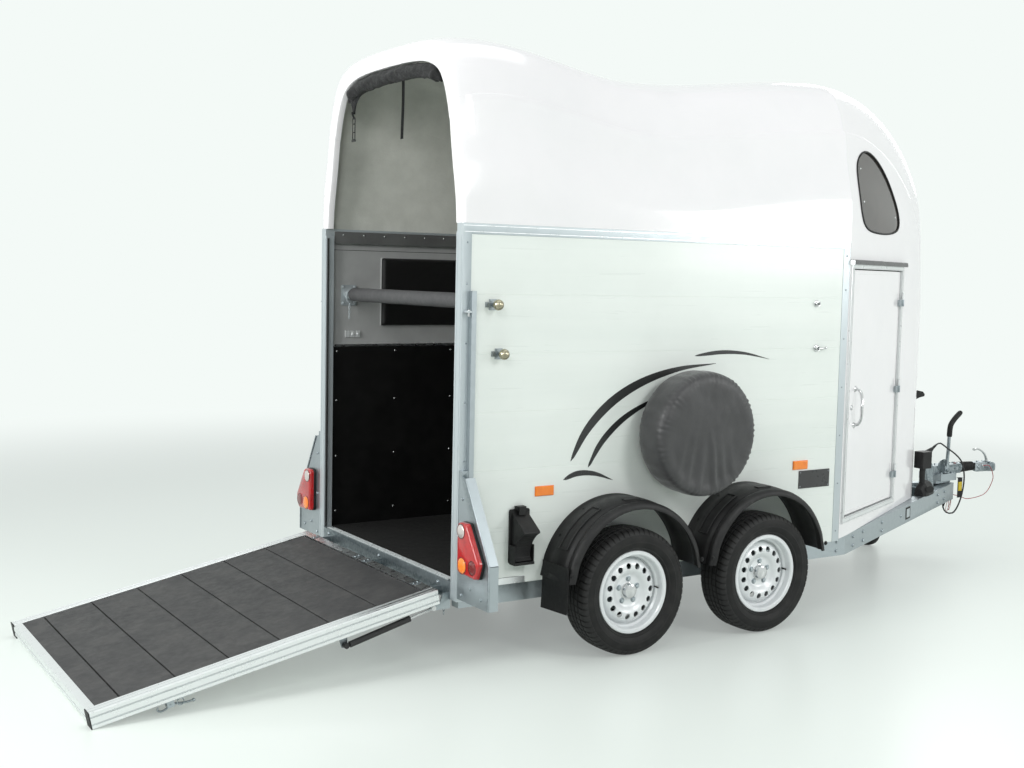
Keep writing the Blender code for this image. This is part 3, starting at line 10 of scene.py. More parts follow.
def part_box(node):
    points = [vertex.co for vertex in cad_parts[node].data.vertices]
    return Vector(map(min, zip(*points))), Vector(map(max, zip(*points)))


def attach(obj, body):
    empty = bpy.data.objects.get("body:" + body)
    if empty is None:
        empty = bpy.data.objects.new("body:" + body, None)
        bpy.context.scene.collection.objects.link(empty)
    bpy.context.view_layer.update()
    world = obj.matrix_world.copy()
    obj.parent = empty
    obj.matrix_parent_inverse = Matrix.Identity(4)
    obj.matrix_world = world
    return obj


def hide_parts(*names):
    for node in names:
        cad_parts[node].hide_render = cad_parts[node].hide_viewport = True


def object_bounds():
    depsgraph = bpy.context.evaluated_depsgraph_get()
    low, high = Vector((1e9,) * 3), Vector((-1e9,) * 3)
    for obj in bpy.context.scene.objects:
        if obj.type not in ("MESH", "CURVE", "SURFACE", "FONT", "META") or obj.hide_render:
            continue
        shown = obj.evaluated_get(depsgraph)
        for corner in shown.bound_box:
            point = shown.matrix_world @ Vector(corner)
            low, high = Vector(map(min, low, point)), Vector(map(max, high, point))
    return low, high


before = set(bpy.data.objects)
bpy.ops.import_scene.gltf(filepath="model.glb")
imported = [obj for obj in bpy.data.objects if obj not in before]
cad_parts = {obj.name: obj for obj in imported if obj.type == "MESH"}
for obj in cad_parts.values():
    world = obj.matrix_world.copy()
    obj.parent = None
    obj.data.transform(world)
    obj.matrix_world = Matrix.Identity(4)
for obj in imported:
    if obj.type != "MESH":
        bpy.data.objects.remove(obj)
cadLow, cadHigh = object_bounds()
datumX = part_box("side_frame_right")[0].x

bothSides = ((-1.0, "right"), (1.0, "left"))

print("stage: camera")
cameraSetup = {
    "place": (-2.7844, -5.5629, 1.7639),
    "turn": 57.637,      # from +X towards +Y, degrees
    "tilt": -4.898,
    "roll": 1.228,
    "lens": 44.86,
}


def makeCamera(setup):
    turn, tilt, roll = (radians(setup[key]) for key in ("turn", "tilt", "roll"))
    ahead = Vector((cos(tilt) * cos(turn), cos(tilt) * sin(turn), sin(tilt)))
    level = ahead.cross(Vector((0.0, 0.0, 1.0))).normalized()
    over = level.cross(ahead)
    right = level * cos(roll) + over * sin(roll)
    up = over * cos(roll) - level * sin(roll)
    data = bpy.data.cameras.new("photoCamera")
    data.lens = setup["lens"]
    data.sensor_width = 36.0
    data.clip_end = 200.0
    camera = bpy.data.objects.new("photoCamera", data)
    turned = Matrix((right, up, -ahead)).transposed().to_4x4()
    x, y, z = setup["place"]
    camera.matrix_world = Matrix.Translation((x + datumX, y, z)) @ turned
    bpy.context.scene.collection.objects.link(camera)
    bpy.context.scene.camera = camera
    return camera


makeCamera(cameraSetup)


# Shapes are (points, faces) in datum measures until they become a piece

def joined(*shapes):
    points, faces = [], []
    for somePoints, someFaces in shapes:
        base = len(points)
        points += [Vector(p) for p in somePoints]
        faces += [[base + k for k in face] for face in someFaces]
    return points, faces


def moved(shape, matrix):
    return [matrix @ Vector(p) for p in shape[0]], shape[1]


def block(x0, x1, y0, y1, z0, z1, matrix=None):
    points = [Vector((x, y, z)) for x in (x0, x1) for y in (y0, y1) for z in (z0, z1)]
    faces = [[0, 1, 3, 2], [4, 6, 7, 5], [0, 4, 5, 1], [2, 3, 7, 6], [0, 2, 6, 4], [1, 5, 7, 3]]
    made = (points, faces)
    return moved(made, matrix) if matrix else made


def loft(rings, closedRing=True, capStart=True, capEnd=True, closedPath=False):
    count = len(rings[0])
    points = [Vector(p) for ring in rings for p in ring]
    faces = []
    span = count if closedRing else count - 1
    steps = len(rings) if closedPath else len(rings) - 1
    for i in range(steps):
        a, b = i * count, ((i + 1) % len(rings)) * count
        for k in range(span):
            n = (k + 1) % count
            faces.append([a + k, a + n, b + n, b + k])
    if not closedPath and capStart:
        faces.append(list(range(count))[::-1])
    if not closedPath and capEnd:
        faces.append([(len(rings) - 1) * count + k for k in range(count)])
    return points, faces


def extruded(outline, low, high, matrix=None):
    # outline in local x, y; it grows along local z
    rings = [[(x, y, level) for x, y in outline] for level in (low, high)]
    made = loft(rings)
    return moved(made, matrix) if matrix else made


# Outlines in x, z that grow along y, and outlines in y, z that grow along x
upright = Matrix(((1, 0, 0, 0), (0, 0, 1, 0), (0, 1, 0, 0), (0, 0, 0, 1)))
across = Matrix(((0, 0, 1, 0), (1, 0, 0, 0), (0, 1, 0, 0), (0, 0, 0, 1)))


def alongAxis(start, direction, up=(0.0, 0.0, 1.0)):
    # local z runs along the direction
    third = Vector(direction).normalized()
    first = Vector(up).cross(third)
    if first.length < 0.001:
        first = Vector((1.0, 0.0, 0.0)).cross(third)
    first.normalize()
    second = third.cross(first)
    return Matrix.Translation(Vector(start)) @ Matrix((first, second, third)).transposed().to_4x4()


def angles(count):
    # a full turn in equal steps
    return [2 * pi * k / count for k in range(count)]


def turnedShape(profile, count, matrix=None, closed=False):
    # profile rows: radius, height along local z
    rings = [[(r * cos(a), r * sin(a), h) for a in angles(count)] for r, h in profile]
    made = loft(rings, True, not closed, not closed, closed)
    return moved(made, matrix) if matrix else made


def rod(start, end, radius, count=20, endRadius=None, soften=0.0):
    start, end = Vector(start), Vector(end)
    length = (end - start).length
    last = radius if endRadius is None else endRadius
    s = min(soften, radius * 0.9, length * 0.4)
    profile = [(radius, 0.0), (last, length)]
    if s > 0:
        profile = [(radius - s, 0.0), (radius - s * 0.3, s * 0.3), (radius, s), (last, length - s),
                (last - s * 0.3, length - s * 0.3), (last - s, length)]
    return turnedShape(profile, count, alongAxis(start, end - start))


def ball(centre, radius, count=24):
    rows = count // 2
    profile = [(radius * sin(pi * (k + 0.5) / rows), -radius * cos(pi * (k + 0.5) / rows))
            for k in range(rows)]
    return turnedShape(profile, count, Matrix.Translation(Vector(centre)))


def smoothed(points, step=0.01, closed=False):
    points = [Vector(p) for p in points]
    count = len(points)
    if closed:
        ring = [points[-1]] + points + [points[0], points[1]]
    else:
        ring = [2 * points[0] - points[1]] + points + [2 * points[-1] - points[-2]]
    made = []
    for i in range(1, len(ring) - 2):
        p0, p1, p2, p3 = ring[i - 1:i + 3]
        pieces = max(2, round((p2 - p1).length / step))
        for k in range(pieces):
            t = k / pieces
            made.append(0.5 * ((2 * p1) + (p2 - p0) * t + (2 * p0 - 5 * p1 + 4 * p2 - p3) * t * t
                    + (3 * p1 - p0 - 3 * p2 + p3) * t ** 3))
    if not closed:
        made.append(points[count - 1])
    return made


def swept(path, section, closed=False, up=(0.0, 0.0, 1.0), grow=None):
    # section points (side, over) carried along the path without twisting, mitred at bends
    path = [Vector(p) for p in path]
    count = len(path)
    rings = []
    first = (path[1] - path[0]).normalized()
    over = Vector(up) - first * Vector(up).dot(first)
    if over.length < 0.01:
        over = Vector((1.0, 0.0, 0.0)) - first * first.x
    over.normalize()
    for k, here in enumerate(path):
        before = path[k - 1] if k or closed else None
        after = path[(k + 1) % count] if k + 1 < count or closed else None
        into = (here - before).normalized() if before is not None else None
        out = (after - here).normalized() if after is not None else None
        into = into or out
        out = out or into
        along = (into + out).normalized()
        over = (over - along * over.dot(along)).normalized()
        side = over.cross(along)
        bend = into - out
        stretch = 1.0 / max(0.35, along.dot(into))
        pull = bend.normalized() if bend.length > 0.0001 else None
        ring = []
        scale = grow(k / max(1, count - 1)) if grow else 1.0
        for a, b in section:
            reach = (side * a + over * b) * scale
            if pull is not None:
                reach += pull * reach.dot(pull) * (stretch - 1.0)
            ring.append(here + reach)
        rings.append(ring)
    return loft(rings, True, True, True, closed)


def circle(radius, count=12):
    return [(radius * cos(a), radius * sin(a)) for a in angles(count)]


def hump(offset):
    # bell curve, 1 in its middle
    return 2.718 ** (-offset * offset)


def tube(path, radius, count=12, closed=False, grow=None):
    return swept(path, circle(radius, count), closed, grow=grow)


def boltHead(centre, direction, size=0.008, domed=False):
    # hexagon head with its washer, or a domed rivet
    matrix = alongAxis(centre, direction)
    if domed:
        return turnedShape([(size, -0.001), (size, size * 0.15), (size * 0.75, size * 0.42),
                (size * 0.3, size * 0.55)], 12, matrix)
    head = turnedShape([(size * 0.98, size * 0.2), (size, size * 0.3), (size, size * 0.8),
            (size * 0.85, size * 0.95)], 6, matrix)
    washer = turnedShape([(size * 1.45, -0.001), (size * 1.45, size * 0.15),
            (size * 1.3, size * 0.24)], 18, matrix)
    return joined(head, washer)


def meshFrom(name, shape, offset=True):
    mesh = bpy.data.meshes.new(name)
    shift = Vector((datumX, 0.0, 0.0)) if offset else Vector()
    mesh.from_pydata([Vector(p) + shift for p in shape[0]], [], shape[1])
    bm = bmesh.new()
    bm.from_mesh(mesh)
    bmesh.ops.recalc_face_normals(bm, faces=bm.faces)
    bm.to_mesh(mesh)
    bm.free()
    return mesh


def softened(thing, width, segments=2):
    # rounds the sharp edges of a piece or node
    edge = thing.modifiers.new("edge", "BEVEL")
    edge.width, edge.segments = width, segments
    edge.limit_method, edge.angle_limit = "ANGLE", radians(40)
    edge.harden_normals = True


def pieceFromMesh(name, mesh, paint, body="trailer", smooth=30.0, replaces=(),
        bevel=0.0, segments=2):
    if not mesh.materials:
        mesh.materials.append(paints[paint])
    mesh.shade_smooth()
    mesh.set_sharp_from_angle(angle=radians(smooth))
    piece = bpy.data.objects.new(name, mesh)
    bpy.context.scene.collection.objects.link(piece)
    if bevel:
        softened(piece, bevel, segments)
    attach(piece, body)
    if replaces:
        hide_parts(*replaces)
    return piece


def addPiece(name, shape, paint, body="trailer", bevel=0.0, smooth=35.0, replaces=(),
             segments=2):
    # a list of shapes becomes one piece
    whole = joined(*shape) if isinstance(shape, list) else shape
    return pieceFromMesh(name, meshFrom(name, whole), paint, body, smooth, replaces, bevel,
            segments)


def carve(mesh, toolShape, operation="DIFFERENCE"):
    # returns the mesh cut by a closed shape
    target = bpy.data.objects.new("carved", mesh)
    tool = bpy.data.objects.new("tool", meshFrom("tool", toolShape))
    for each in (target, tool):
        bpy.context.scene.collection.objects.link(each)
    change = target.modifiers.new("cut", "BOOLEAN")
    change.operation = operation
    change.solver = "EXACT"
    change.object = tool
    bpy.context.view_layer.update()
    shapesNow = bpy.context.evaluated_depsgraph_get()
    result = bpy.data.meshes.new_from_object(target.evaluated_get(shapesNow))
    bpy.data.objects.remove(target)
    bpy.data.objects.remove(tool)
    return result


print("stage: finishes")


def tone(red, green, blue):
    # a colour as it shows on screen, 0 to 255, made linear
    return tuple(((c / 255 + 0.055) / 1.055) ** 2.4 if c > 10 else c / 255 / 12.92
            for c in (red, green, blue))


def addNode(tree, kind, **settings):
    made = tree.nodes.new(kind)
    for key, value in settings.items():
        setattr(made, key, value)
    return made


def wired(tree, kind, *sources, **settings):
    # a node whose first sockets take these outputs
    made = addNode(tree, kind, **settings)
    for index, source in enumerate(sources):
        tree.links.new(source, made.inputs[index])
    return made


def shining(tree, kind, colour, strength=1.0):
    made = addNode(tree, kind)
    made.inputs["Color"].default_value = (*colour, 1.0)
    made.inputs["Strength"].default_value = strength
    return made.outputs[0]


def texture(tree, kind, scale, detail=3.0, stretch=(1.0, 1.0, 1.0)):
    # a procedural texture in the piece's own measures; returns the socket that varies
    where = addNode(tree, "ShaderNodeTexCoord")
    place = addNode(tree, "ShaderNodeMapping")
    place.inputs["Scale"].default_value = stretch
    tree.links.new(where.outputs["Object"], place.inputs["Vector"])
    if kind == "noise":
        made = addNode(tree, "ShaderNodeTexNoise")
        made.inputs["Detail"].default_value = detail
        made.inputs["Roughness"].default_value = 0.6
        out = made.outputs["Fac"]
    elif kind == "cells":
        made = addNode(tree, "ShaderNodeTexVoronoi", feature="F1")
        out = made.outputs["Color"]
    elif kind == "grain":
        made = addNode(tree, "ShaderNodeTexVoronoi", feature="SMOOTH_F1")
        out = made.outputs["Distance"]
    else:
        made = addNode(tree, "ShaderNodeTexWave", wave_type="BANDS",
                bands_direction=kind[-1].upper())
        made.inputs["Distortion"].default_value = detail
        out = made.outputs["Fac"]
    made.inputs["Scale"].default_value = scale
    tree.links.new(place.outputs["Vector"], made.inputs["Vector"])
    return out


def ranged(tree, value, low, high, fromLow=0.3, fromHigh=0.7):
    made = wired(tree, "ShaderNodeMapRange", value)
    for name, number in (("From Min", fromLow), ("From Max", fromHigh), ("To Min", low),
            ("To Max", high)):
        made.inputs[name].default_value = number
    return made.outputs["Result"]


def blended(tree, factor, first, second):
    # first and second are colours or sockets
    made = addNode(tree, "ShaderNodeMix", data_type="RGBA")
    colours = [socket for socket in made.inputs if socket.type == "RGBA"]
    tree.links.new(factor, made.inputs[0])
    for socket, value in zip(colours, (first, second)):
        if isinstance(value, tuple):
            socket.default_value = (*value, 1.0)
        else:
            tree.links.new(value, socket)
    return [socket for socket in made.outputs if socket.type == "RGBA"][0]


paints = {}


def makeFinish(name, colour, worn, patch, rough, roughScale, stretch=(1.0, 1.0, 1.0), metal=0.0,
               bumps=(), coat=0.0, coatRough=0.05, sheen=0.0, dust=None, edge=None, cells=None,
               through=0.0, ior=1.45, specular=0.5):
    # colours as on screen, 0 to 255; patch and roughScale are the scales of their textures
    made = bpy.data.materials.new(name)
    made.use_nodes = True
    tree = made.node_tree
    put = tree.nodes["Principled BSDF"].inputs
    for socket, value in (("Metallic", metal), ("Coat Weight", coat),
            ("Coat Roughness", coatRough), ("Sheen Weight", sheen), ("IOR", ior),
            ("Transmission Weight", through), ("Specular IOR Level", specular)):
        put[socket].default_value = value
    base = blended(tree, ranged(tree, texture(tree, "noise", patch, 5.0, stretch), 0.0, 1.0),
            tone(*colour), tone(*worn))
    if cells:
        # flakes of another brightness, as zinc spangle
        size, other, low, high = cells
        grey = wired(tree, "ShaderNodeRGBToBW", texture(tree, "cells", size))
        base = blended(tree, ranged(tree, grey.outputs["Val"], 0.0, 1.0, low, high), base,
                tone(*other))
    if dust:
        amount, tint, scale = dust
        base = blended(tree, ranged(tree, texture(tree, "noise", scale, 8.0), 0.0, amount, 0.45,
                0.75), base, tone(*tint))
    if edge:
        tint, low, high = edge
        point = addNode(tree, "ShaderNodeNewGeometry")
        base = blended(tree, ranged(tree, point.outputs["Pointiness"], 0.0, 1.0, low, high), base,
                tone(*tint))
    tree.links.new(base, put["Base Color"])
    tree.links.new(ranged(tree, texture(tree, "noise", roughScale, 4.0, stretch), *rough),
            put["Roughness"])
    normal = None
    for kind, scale, depth, *along in bumps:
        step = addNode(tree, "ShaderNodeBump")
        step.inputs["Strength"].default_value = 1.0
        step.inputs["Distance"].default_value = depth
        tree.links.new(texture(tree, kind, scale, 3.0 if kind == "noise" else 0.4, *along),
                step.inputs["Height"])
        if normal:
            tree.links.new(normal, step.inputs["Normal"])
        normal = step.outputs["Normal"]
    if normal:
        tree.links.new(normal, put["Normal"])
    paints[name] = made


makeFinish("gelcoat", (239, 237, 238), (234, 233, 234), 1.5, (0.1, 0.17), 3.0, coat=0.6,
        coatRough=0.03, bumps=[("noise", 9.0, 0.0006), ("noise", 90.0, 0.00004)],
        dust=(0.1, (214, 216, 214), 4.0))
makeFinish("lining", (216, 217, 209), (198, 199, 191), 7.0, (0.45, 0.62), 30.0,
        bumps=[("noise", 14.0, 0.0012, (1.0, 1.0, 2.2)), ("grain", 160.0, 0.0004)],
        dust=(0.3, (214, 215, 208), 11.0))
makeFinish("planks", (230, 235, 230), (224, 230, 225), 1.2, (0.26, 0.36), 8.0,
        stretch=(0.25, 1.0, 6.0), coat=0.25, coatRough=0.12,
        bumps=[("wave_z", 70.0, 0.00006, (0.02, 1.0, 1.0)),
        ("noise", 30.0, 0.0001, (0.1, 1.0, 3.0))], dust=(0.14, (200, 206, 199), 3.0))
makeFinish("innerBoard", (168, 169, 168), (154, 155, 154), 5.0, (0.38, 0.5), 20.0,
        bumps=[("grain", 240.0, 0.0003), ("noise", 12.0, 0.0005)])
makeFinish("kickBoard", (4, 4, 4), (8, 8, 8), 6.0, (0.5, 0.65), 18.0, specular=0.25,
        bumps=[("grain", 300.0, 0.0003)], dust=(0.3, (26, 25, 24), 9.0))
makeFinish("aluminium", (205, 208, 210), (190, 194, 196), 4.0, (0.24, 0.36), 30.0, metal=1.0,
        bumps=[("noise", 260.0, 0.00004, (0.04, 1.0, 1.0))], edge=((232, 234, 235), 0.52, 0.58))
makeFinish("doorAlu", (226, 228, 228), (216, 219, 219), 3.0, (0.26, 0.36), 20.0, metal=0.35,
        bumps=[("noise", 220.0, 0.00004, (1.0, 1.0, 0.05))])
makeFinish("postAlu", (150, 160, 164), (128, 139, 143), 5.0, (0.28, 0.4), 30.0, metal=0.45,
        bumps=[("noise", 240.0, 0.00005, (1.0, 1.0, 0.05))], dust=(0.15, (160, 166, 166), 6.0),
        edge=((186, 194, 197), 0.52, 0.58))
makeFinish("flange", (112, 113, 112), (98, 99, 98), 6.0, (0.36, 0.48), 20.0, metal=0.3,
        bumps=[("noise", 60.0, 0.00008)])
makeFinish("zinc", (116, 126, 130), (92, 102, 107), 9.0, (0.3, 0.46), 40.0, metal=0.9,
        cells=(95.0, (142, 151, 155), 0.35, 0.9), bumps=[("noise", 45.0, 0.00025)],
        edge=((168, 176, 180), 0.52, 0.6))
makeFinish("blackPlastic", (24, 24, 25), (33, 33, 33), 7.0, (0.42, 0.55), 30.0, specular=0.3,
        bumps=[("grain", 420.0, 0.00025), ("noise", 20.0, 0.0004)],
        dust=(0.22, (58, 58, 56), 14.0))
makeFinish("boardRubber", (46, 46, 47), (58, 58, 58), 5.0, (0.55, 0.72), 30.0,
        bumps=[("grain", 330.0, 0.0006), ("noise", 9.0, 0.0008)], dust=(0.45, (84, 83, 81), 8.0))
makeFinish("floorRubber", (7, 7, 7), (12, 12, 12), 5.0, (0.6, 0.75), 30.0,
        bumps=[("wave_y", 60.0, 0.0012), ("grain", 300.0, 0.0003)], dust=(0.3, (38, 37, 35), 8.0))
makeFinish("tyre", (20, 20, 20), (28, 28, 28), 10.0, (0.55, 0.7), 40.0, specular=0.3,
        bumps=[("noise", 120.0, 0.0003)], dust=(0.3, (60, 59, 56), 20.0),
        edge=((52, 52, 52), 0.52, 0.6))
makeFinish("rim", (226, 229, 230), (218, 221, 222), 6.0, (0.3, 0.38), 30.0, metal=0.15, coat=0.3,
        coatRough=0.1, bumps=[("noise", 160.0, 0.00008)])
makeFinish("chrome", (214, 215, 216), (196, 197, 198), 12.0, (0.07, 0.16), 40.0, metal=1.0,
        bumps=[("noise", 80.0, 0.00005)])
makeFinish("brass", (176, 171, 150), (150, 144, 124), 18.0, (0.18, 0.3), 50.0, metal=1.0,
        bumps=[("noise", 90.0, 0.0001)])
makeFinish("rubber", (14, 14, 15), (22, 22, 22), 12.0, (0.5, 0.65), 50.0, specular=0.35,
        bumps=[("noise", 160.0, 0.0002)])
makeFinish("cable", (26, 26, 27), (36, 36, 37), 30.0, (0.35, 0.5), 80.0,
        bumps=[("noise", 300.0, 0.0001)])
makeFinish("redWire", (168, 62, 66), (140, 46, 50), 60.0, (0.3, 0.45), 80.0, coat=0.4,
        bumps=[("wave_x", 400.0, 0.0002)])
makeFinish("redLens", (190, 8, 12), (158, 4, 8), 20.0, (0.08, 0.16), 60.0, coat=0.8,
        bumps=[("grain", 320.0, 0.0006)])
makeFinish("darkRed", (120, 12, 14), (96, 8, 10), 20.0, (0.1, 0.2), 60.0, coat=0.8,
        bumps=[("grain", 500.0, 0.0006)])
makeFinish("orangeLens", (250, 140, 24), (238, 122, 14), 30.0, (0.14, 0.24), 60.0, coat=0.7,
        bumps=[("grain", 420.0, 0.0007)])
makeFinish("clearLens", (214, 205, 200), (196, 186, 182), 30.0, (0.05, 0.12), 60.0, metal=0.4,
        coat=0.8, bumps=[("grain", 320.0, 0.0006)])
makeFinish("vinyl", (58, 58, 59), (48, 48, 49), 7.0, (0.36, 0.5), 30.0, sheen=0.15,
        bumps=[("grain", 520.0, 0.00035), ("noise", 26.0, 0.0008)], dust=(0.2, (78, 78, 78), 12.0))
makeFinish("padVinyl", (6, 6, 6), (10, 10, 10), 8.0, (0.46, 0.6), 30.0, specular=0.25, sheen=0.1,
        bumps=[("grain", 480.0, 0.0003), ("noise", 18.0, 0.0006)])
makeFinish("foamSleeve", (76, 76, 77), (66, 66, 67), 10.0, (0.6, 0.72), 40.0,
        bumps=[("grain", 600.0, 0.0003)])
makeFinish("tarp", (17, 17, 19), (9, 9, 10), 14.0, (0.5, 0.68), 30.0, sheen=0.1, specular=0.3,
        bumps=[("wave_x", 900.0, 0.0003), ("wave_z", 900.0, 0.0003), ("noise", 30.0, 0.0015)])
makeFinish("webbing", (5, 5, 6), (9, 9, 10), 30.0, (0.6, 0.75), 60.0, specular=0.2,
        bumps=[("wave_z", 700.0, 0.0005)])
makeFinish("decal", (26, 27, 27), (34, 35, 35), 9.0, (0.3, 0.4), 20.0, coat=0.2,
        bumps=[("noise", 40.0, 0.00006)])
makeFinish("plate", (40, 40, 41), (50, 50, 51), 14.0, (0.25, 0.36), 30.0, coat=0.3,
        bumps=[("noise", 60.0, 0.0001)])
makeFinish("yellow", (224, 196, 52), (208, 180, 44), 30.0, (0.3, 0.4), 50.0,
        bumps=[("noise", 90.0, 0.0001)])
makeFinish("whitePlastic", (226, 227, 226), (214, 215, 214), 20.0, (0.25, 0.35), 40.0,
        bumps=[("noise", 90.0, 0.0001)])
# smoked acrylic: dark to look at, clear enough to see through
makeFinish("smokedGlass", (126, 117, 114), (114, 106, 103), 5.0, (0.03, 0.06), 10.0, through=0.85,
        ior=1.49, bumps=[("noise", 6.0, 0.0004)])

print("stage: studio")
studio = {
    "floor": tone(222, 230, 223),
    "backdrop": tone(244, 250, 247),
    "fade": (4.5, 10.0),         # the floor turns into the backdrop between these distances
    "ambient": 0.42,
    "lamps": (
        # place, aim, width, height, watts
        ((-4.2, -5.2, 4.6), (0.6, -0.4, 1.4), 2.2, 1.6, 95.0),
        ((2.2, -6.4, 4.2), (1.6, -0.4, 1.5), 1.6, 2.0, 112.0),
        ((-5.5, 2.5, 5.0), (0.3, 0.0, 1.2), 3.0, 3.0, 70.0),
        ((1.0, 0.0, 7.5), (1.0, 0.0, 0.0), 6.0, 4.0, 95.0),
        ((7.0, 2.5, 4.0), (2.5, 0.0, 1.0), 2.5, 2.5, 90.0),
        ((6.4, -5.4, 2.8), (3.2, -0.4, 1.3), 2.0, 2.0, 100.0),
        ((-4.6, -0.9, 2.9), (1.6, 0.35, 2.0), 1.8, 1.6, 175.0),
    ),
}


def makeStudio(setup):
    world = bpy.context.scene.world or bpy.data.worlds.new("studio")
    bpy.context.scene.world = world
    world.use_nodes = True
    tree = world.node_tree
    tree.nodes.clear()
    path = addNode(tree, "ShaderNodeLightPath").outputs
    seen = wired(tree, "ShaderNodeMath", path["Is Camera Ray"], path["Is Transmission Ray"],
            operation="MAXIMUM")
    mirror = wired(tree, "ShaderNodeMath", seen.outputs[0], path["Is Glossy Ray"],
            operation="MAXIMUM")
    mix = wired(tree, "ShaderNodeMixShader", mirror.outputs[0],
            shining(tree, "ShaderNodeBackground", (0.93, 0.97, 1.0), setup["ambient"]),
            shining(tree, "ShaderNodeBackground", setup["backdrop"]))
    wired(tree, "ShaderNodeOutputWorld", mix.outputs[0])

    ground = bpy.data.materials.new("studioFloor")
    ground.use_nodes = True
    tree = ground.node_tree
    shader = tree.nodes["Principled BSDF"]
    shader.inputs["Base Color"].default_value = (*setup["floor"], 1.0)
    shader.inputs["Roughness"].default_value = 0.3
    shader.inputs["Specular IOR Level"].default_value = 0.28
    where = addNode(tree, "ShaderNodeTexCoord")
    away = wired(tree, "ShaderNodeVectorMath", where.outputs["Object"], operation="LENGTH")
    fade = wired(tree, "ShaderNodeMapRange", away.outputs["Value"],
            interpolation_type="SMOOTHSTEP")
    fade.inputs["From Min"].default_value, fade.inputs["From Max"].default_value = setup["fade"]
    fade.inputs["To Min"].default_value = 0.3
    path = addNode(tree, "ShaderNodeLightPath").outputs
    seen = wired(tree, "ShaderNodeMath", path["Is Camera Ray"], path["Is Glossy Ray"],
            operation="MAXIMUM")
    share = wired(tree, "ShaderNodeMath", seen.outputs[0], fade.outputs["Result"],
            operation="MULTIPLY")
    mix = wired(tree, "ShaderNodeMixShader", share.outputs[0], shader.outputs[0],
            shining(tree, "ShaderNodeEmission", setup["backdrop"]))
    tree.links.new(mix.outputs[0], tree.nodes["Material Output"].inputs[0])

    mesh = bpy.data.meshes.new("studioFloor")
    reach = 90.0
    mesh.from_pydata([(-reach, -reach, 0), (reach, -reach, 0), (reach, reach, 0),
            (-reach, reach, 0)], [], [(0, 1, 2, 3)])
    mesh.materials.append(ground)
    floor = bpy.data.objects.new("studioFloor", mesh)
    floor.location = (0.0, 0.0, cadLow.z - 0.0005)
    bpy.context.scene.collection.objects.link(floor)

    for index, (place, aim, width, height, watts) in enumerate(setup["lamps"]):
        data = bpy.data.lights.new(f"softbox{index}", "AREA")
        data.shape = "RECTANGLE"
        data.size, data.size_y = width, height
        data.energy = watts
        lamp = bpy.data.objects.new(f"softbox{index}", data)
        start = Vector(place) + Vector((datumX, 0, 0))
        toward = Vector(aim) + Vector((datumX, 0, 0)) - start
        lamp.location = start
        lamp.rotation_mode = "QUATERNION"
        lamp.rotation_quaternion = toward.to_track_quat("-Z", "Y")
        bpy.context.scene.collection.objects.link(lamp)
    view = bpy.context.scene.view_settings
    view.view_transform = "Standard"


makeStudio(studio)


print("stage: body measures")
body = {
    "length": 2.385,             # doorway to the start of the tapered nose
    "half": 0.747,
    "wallOuter": 0.745,
    "wallInner": 0.722,
    "wallBottom": 0.362,
    "railTop": 1.984,
    "railBottom": 1.937,
    "floorTop": 0.392,
    "kickTop": 1.37,
    "chassisTop": 0.3717,
}
shell = {
    "half": 0.748,
    "thickness": 0.01,
    "rearCrown": 2.806,
    "highX": 0.25, "highCrown": 2.857,
    "dipX": 1.121, "dipCrown": 2.748,
    "frontX": 2.45, "frontCrown": 2.858,
    "tipX": 3.7,
    "springZ": 1.95,
    "taper": radians(23.5),
    "lipWidth": 0.07,
    "lipDepth": 0.035,
    "rimRound": 0.016,
    "ledge": 0.008,
    "ledgeStart": 0.052,
    "seat": 0.0009,
    # share of the half width against depth below the crown, below the ledge and above it
    "lower": ((1.0, 0.86), (0.99, 0.668), (0.93, 0.46), (0.89, 0.3)),
    "upper": ((0.885, 0.296), (0.85, 0.215), (0.8, 0.135), (0.72, 0.066), (0.56, 0.022),
              (0.33, 0.004), (0.0, 0.0)),
    "bend": (2.5, 4.17, 0.083),   # drawbar beam: start of its rise, its front, its rise
}
noseRadius = ((shell["half"] * cos(shell["taper"]) - (shell["tipX"] - body["length"])
        * sin(shell["taper"])) / (1.0 - sin(shell["taper"])))
noseCentreX = shell["tipX"] - noseRadius


def beamTop(x):
    start, front, rise = shell["bend"]
    return body["chassisTop"] + rise * max(0.0, (x - start) / (front - start))


def crownHeight(x, inset=0.0):
    m = shell
    if x < m["highX"]:
        t = acos(1.0 - max(x, 0.0) / m["highX"])
        return m["rearCrown"] + (m["highCrown"] - m["rearCrown"]) * sin(t) - inset
    if x < m["dipX"]:
        t = (x - m["highX"]) / (m["dipX"] - m["highX"])
        return m["dipCrown"] + (m["highCrown"] - m["dipCrown"]) * (1 + cos(pi * t)) / 2 - inset
    if x < m["frontX"]:
        t = (x - m["dipX"]) / (m["frontX"] - m["dipX"])
        return m["dipCrown"] + (m["frontCrown"] - m["dipCrown"]) * (1 - cos(pi * t)) / 2 - inset
    share = min(1.0, (x - m["frontX"]) / (m["tipX"] - inset - m["frontX"]))
    return m["springZ"] + (m["frontCrown"] - inset - m["springZ"]) * sqrt(max(0.0, 1 - share ** 2))


def curveOf(rows):
    return [(p.x, p.y) for p in smoothed([(a, b, 0.0) for a, b in rows], 0.035)]


lowerCurve = curveOf(shell["lower"])
upperCurve = curveOf(shell["upper"])


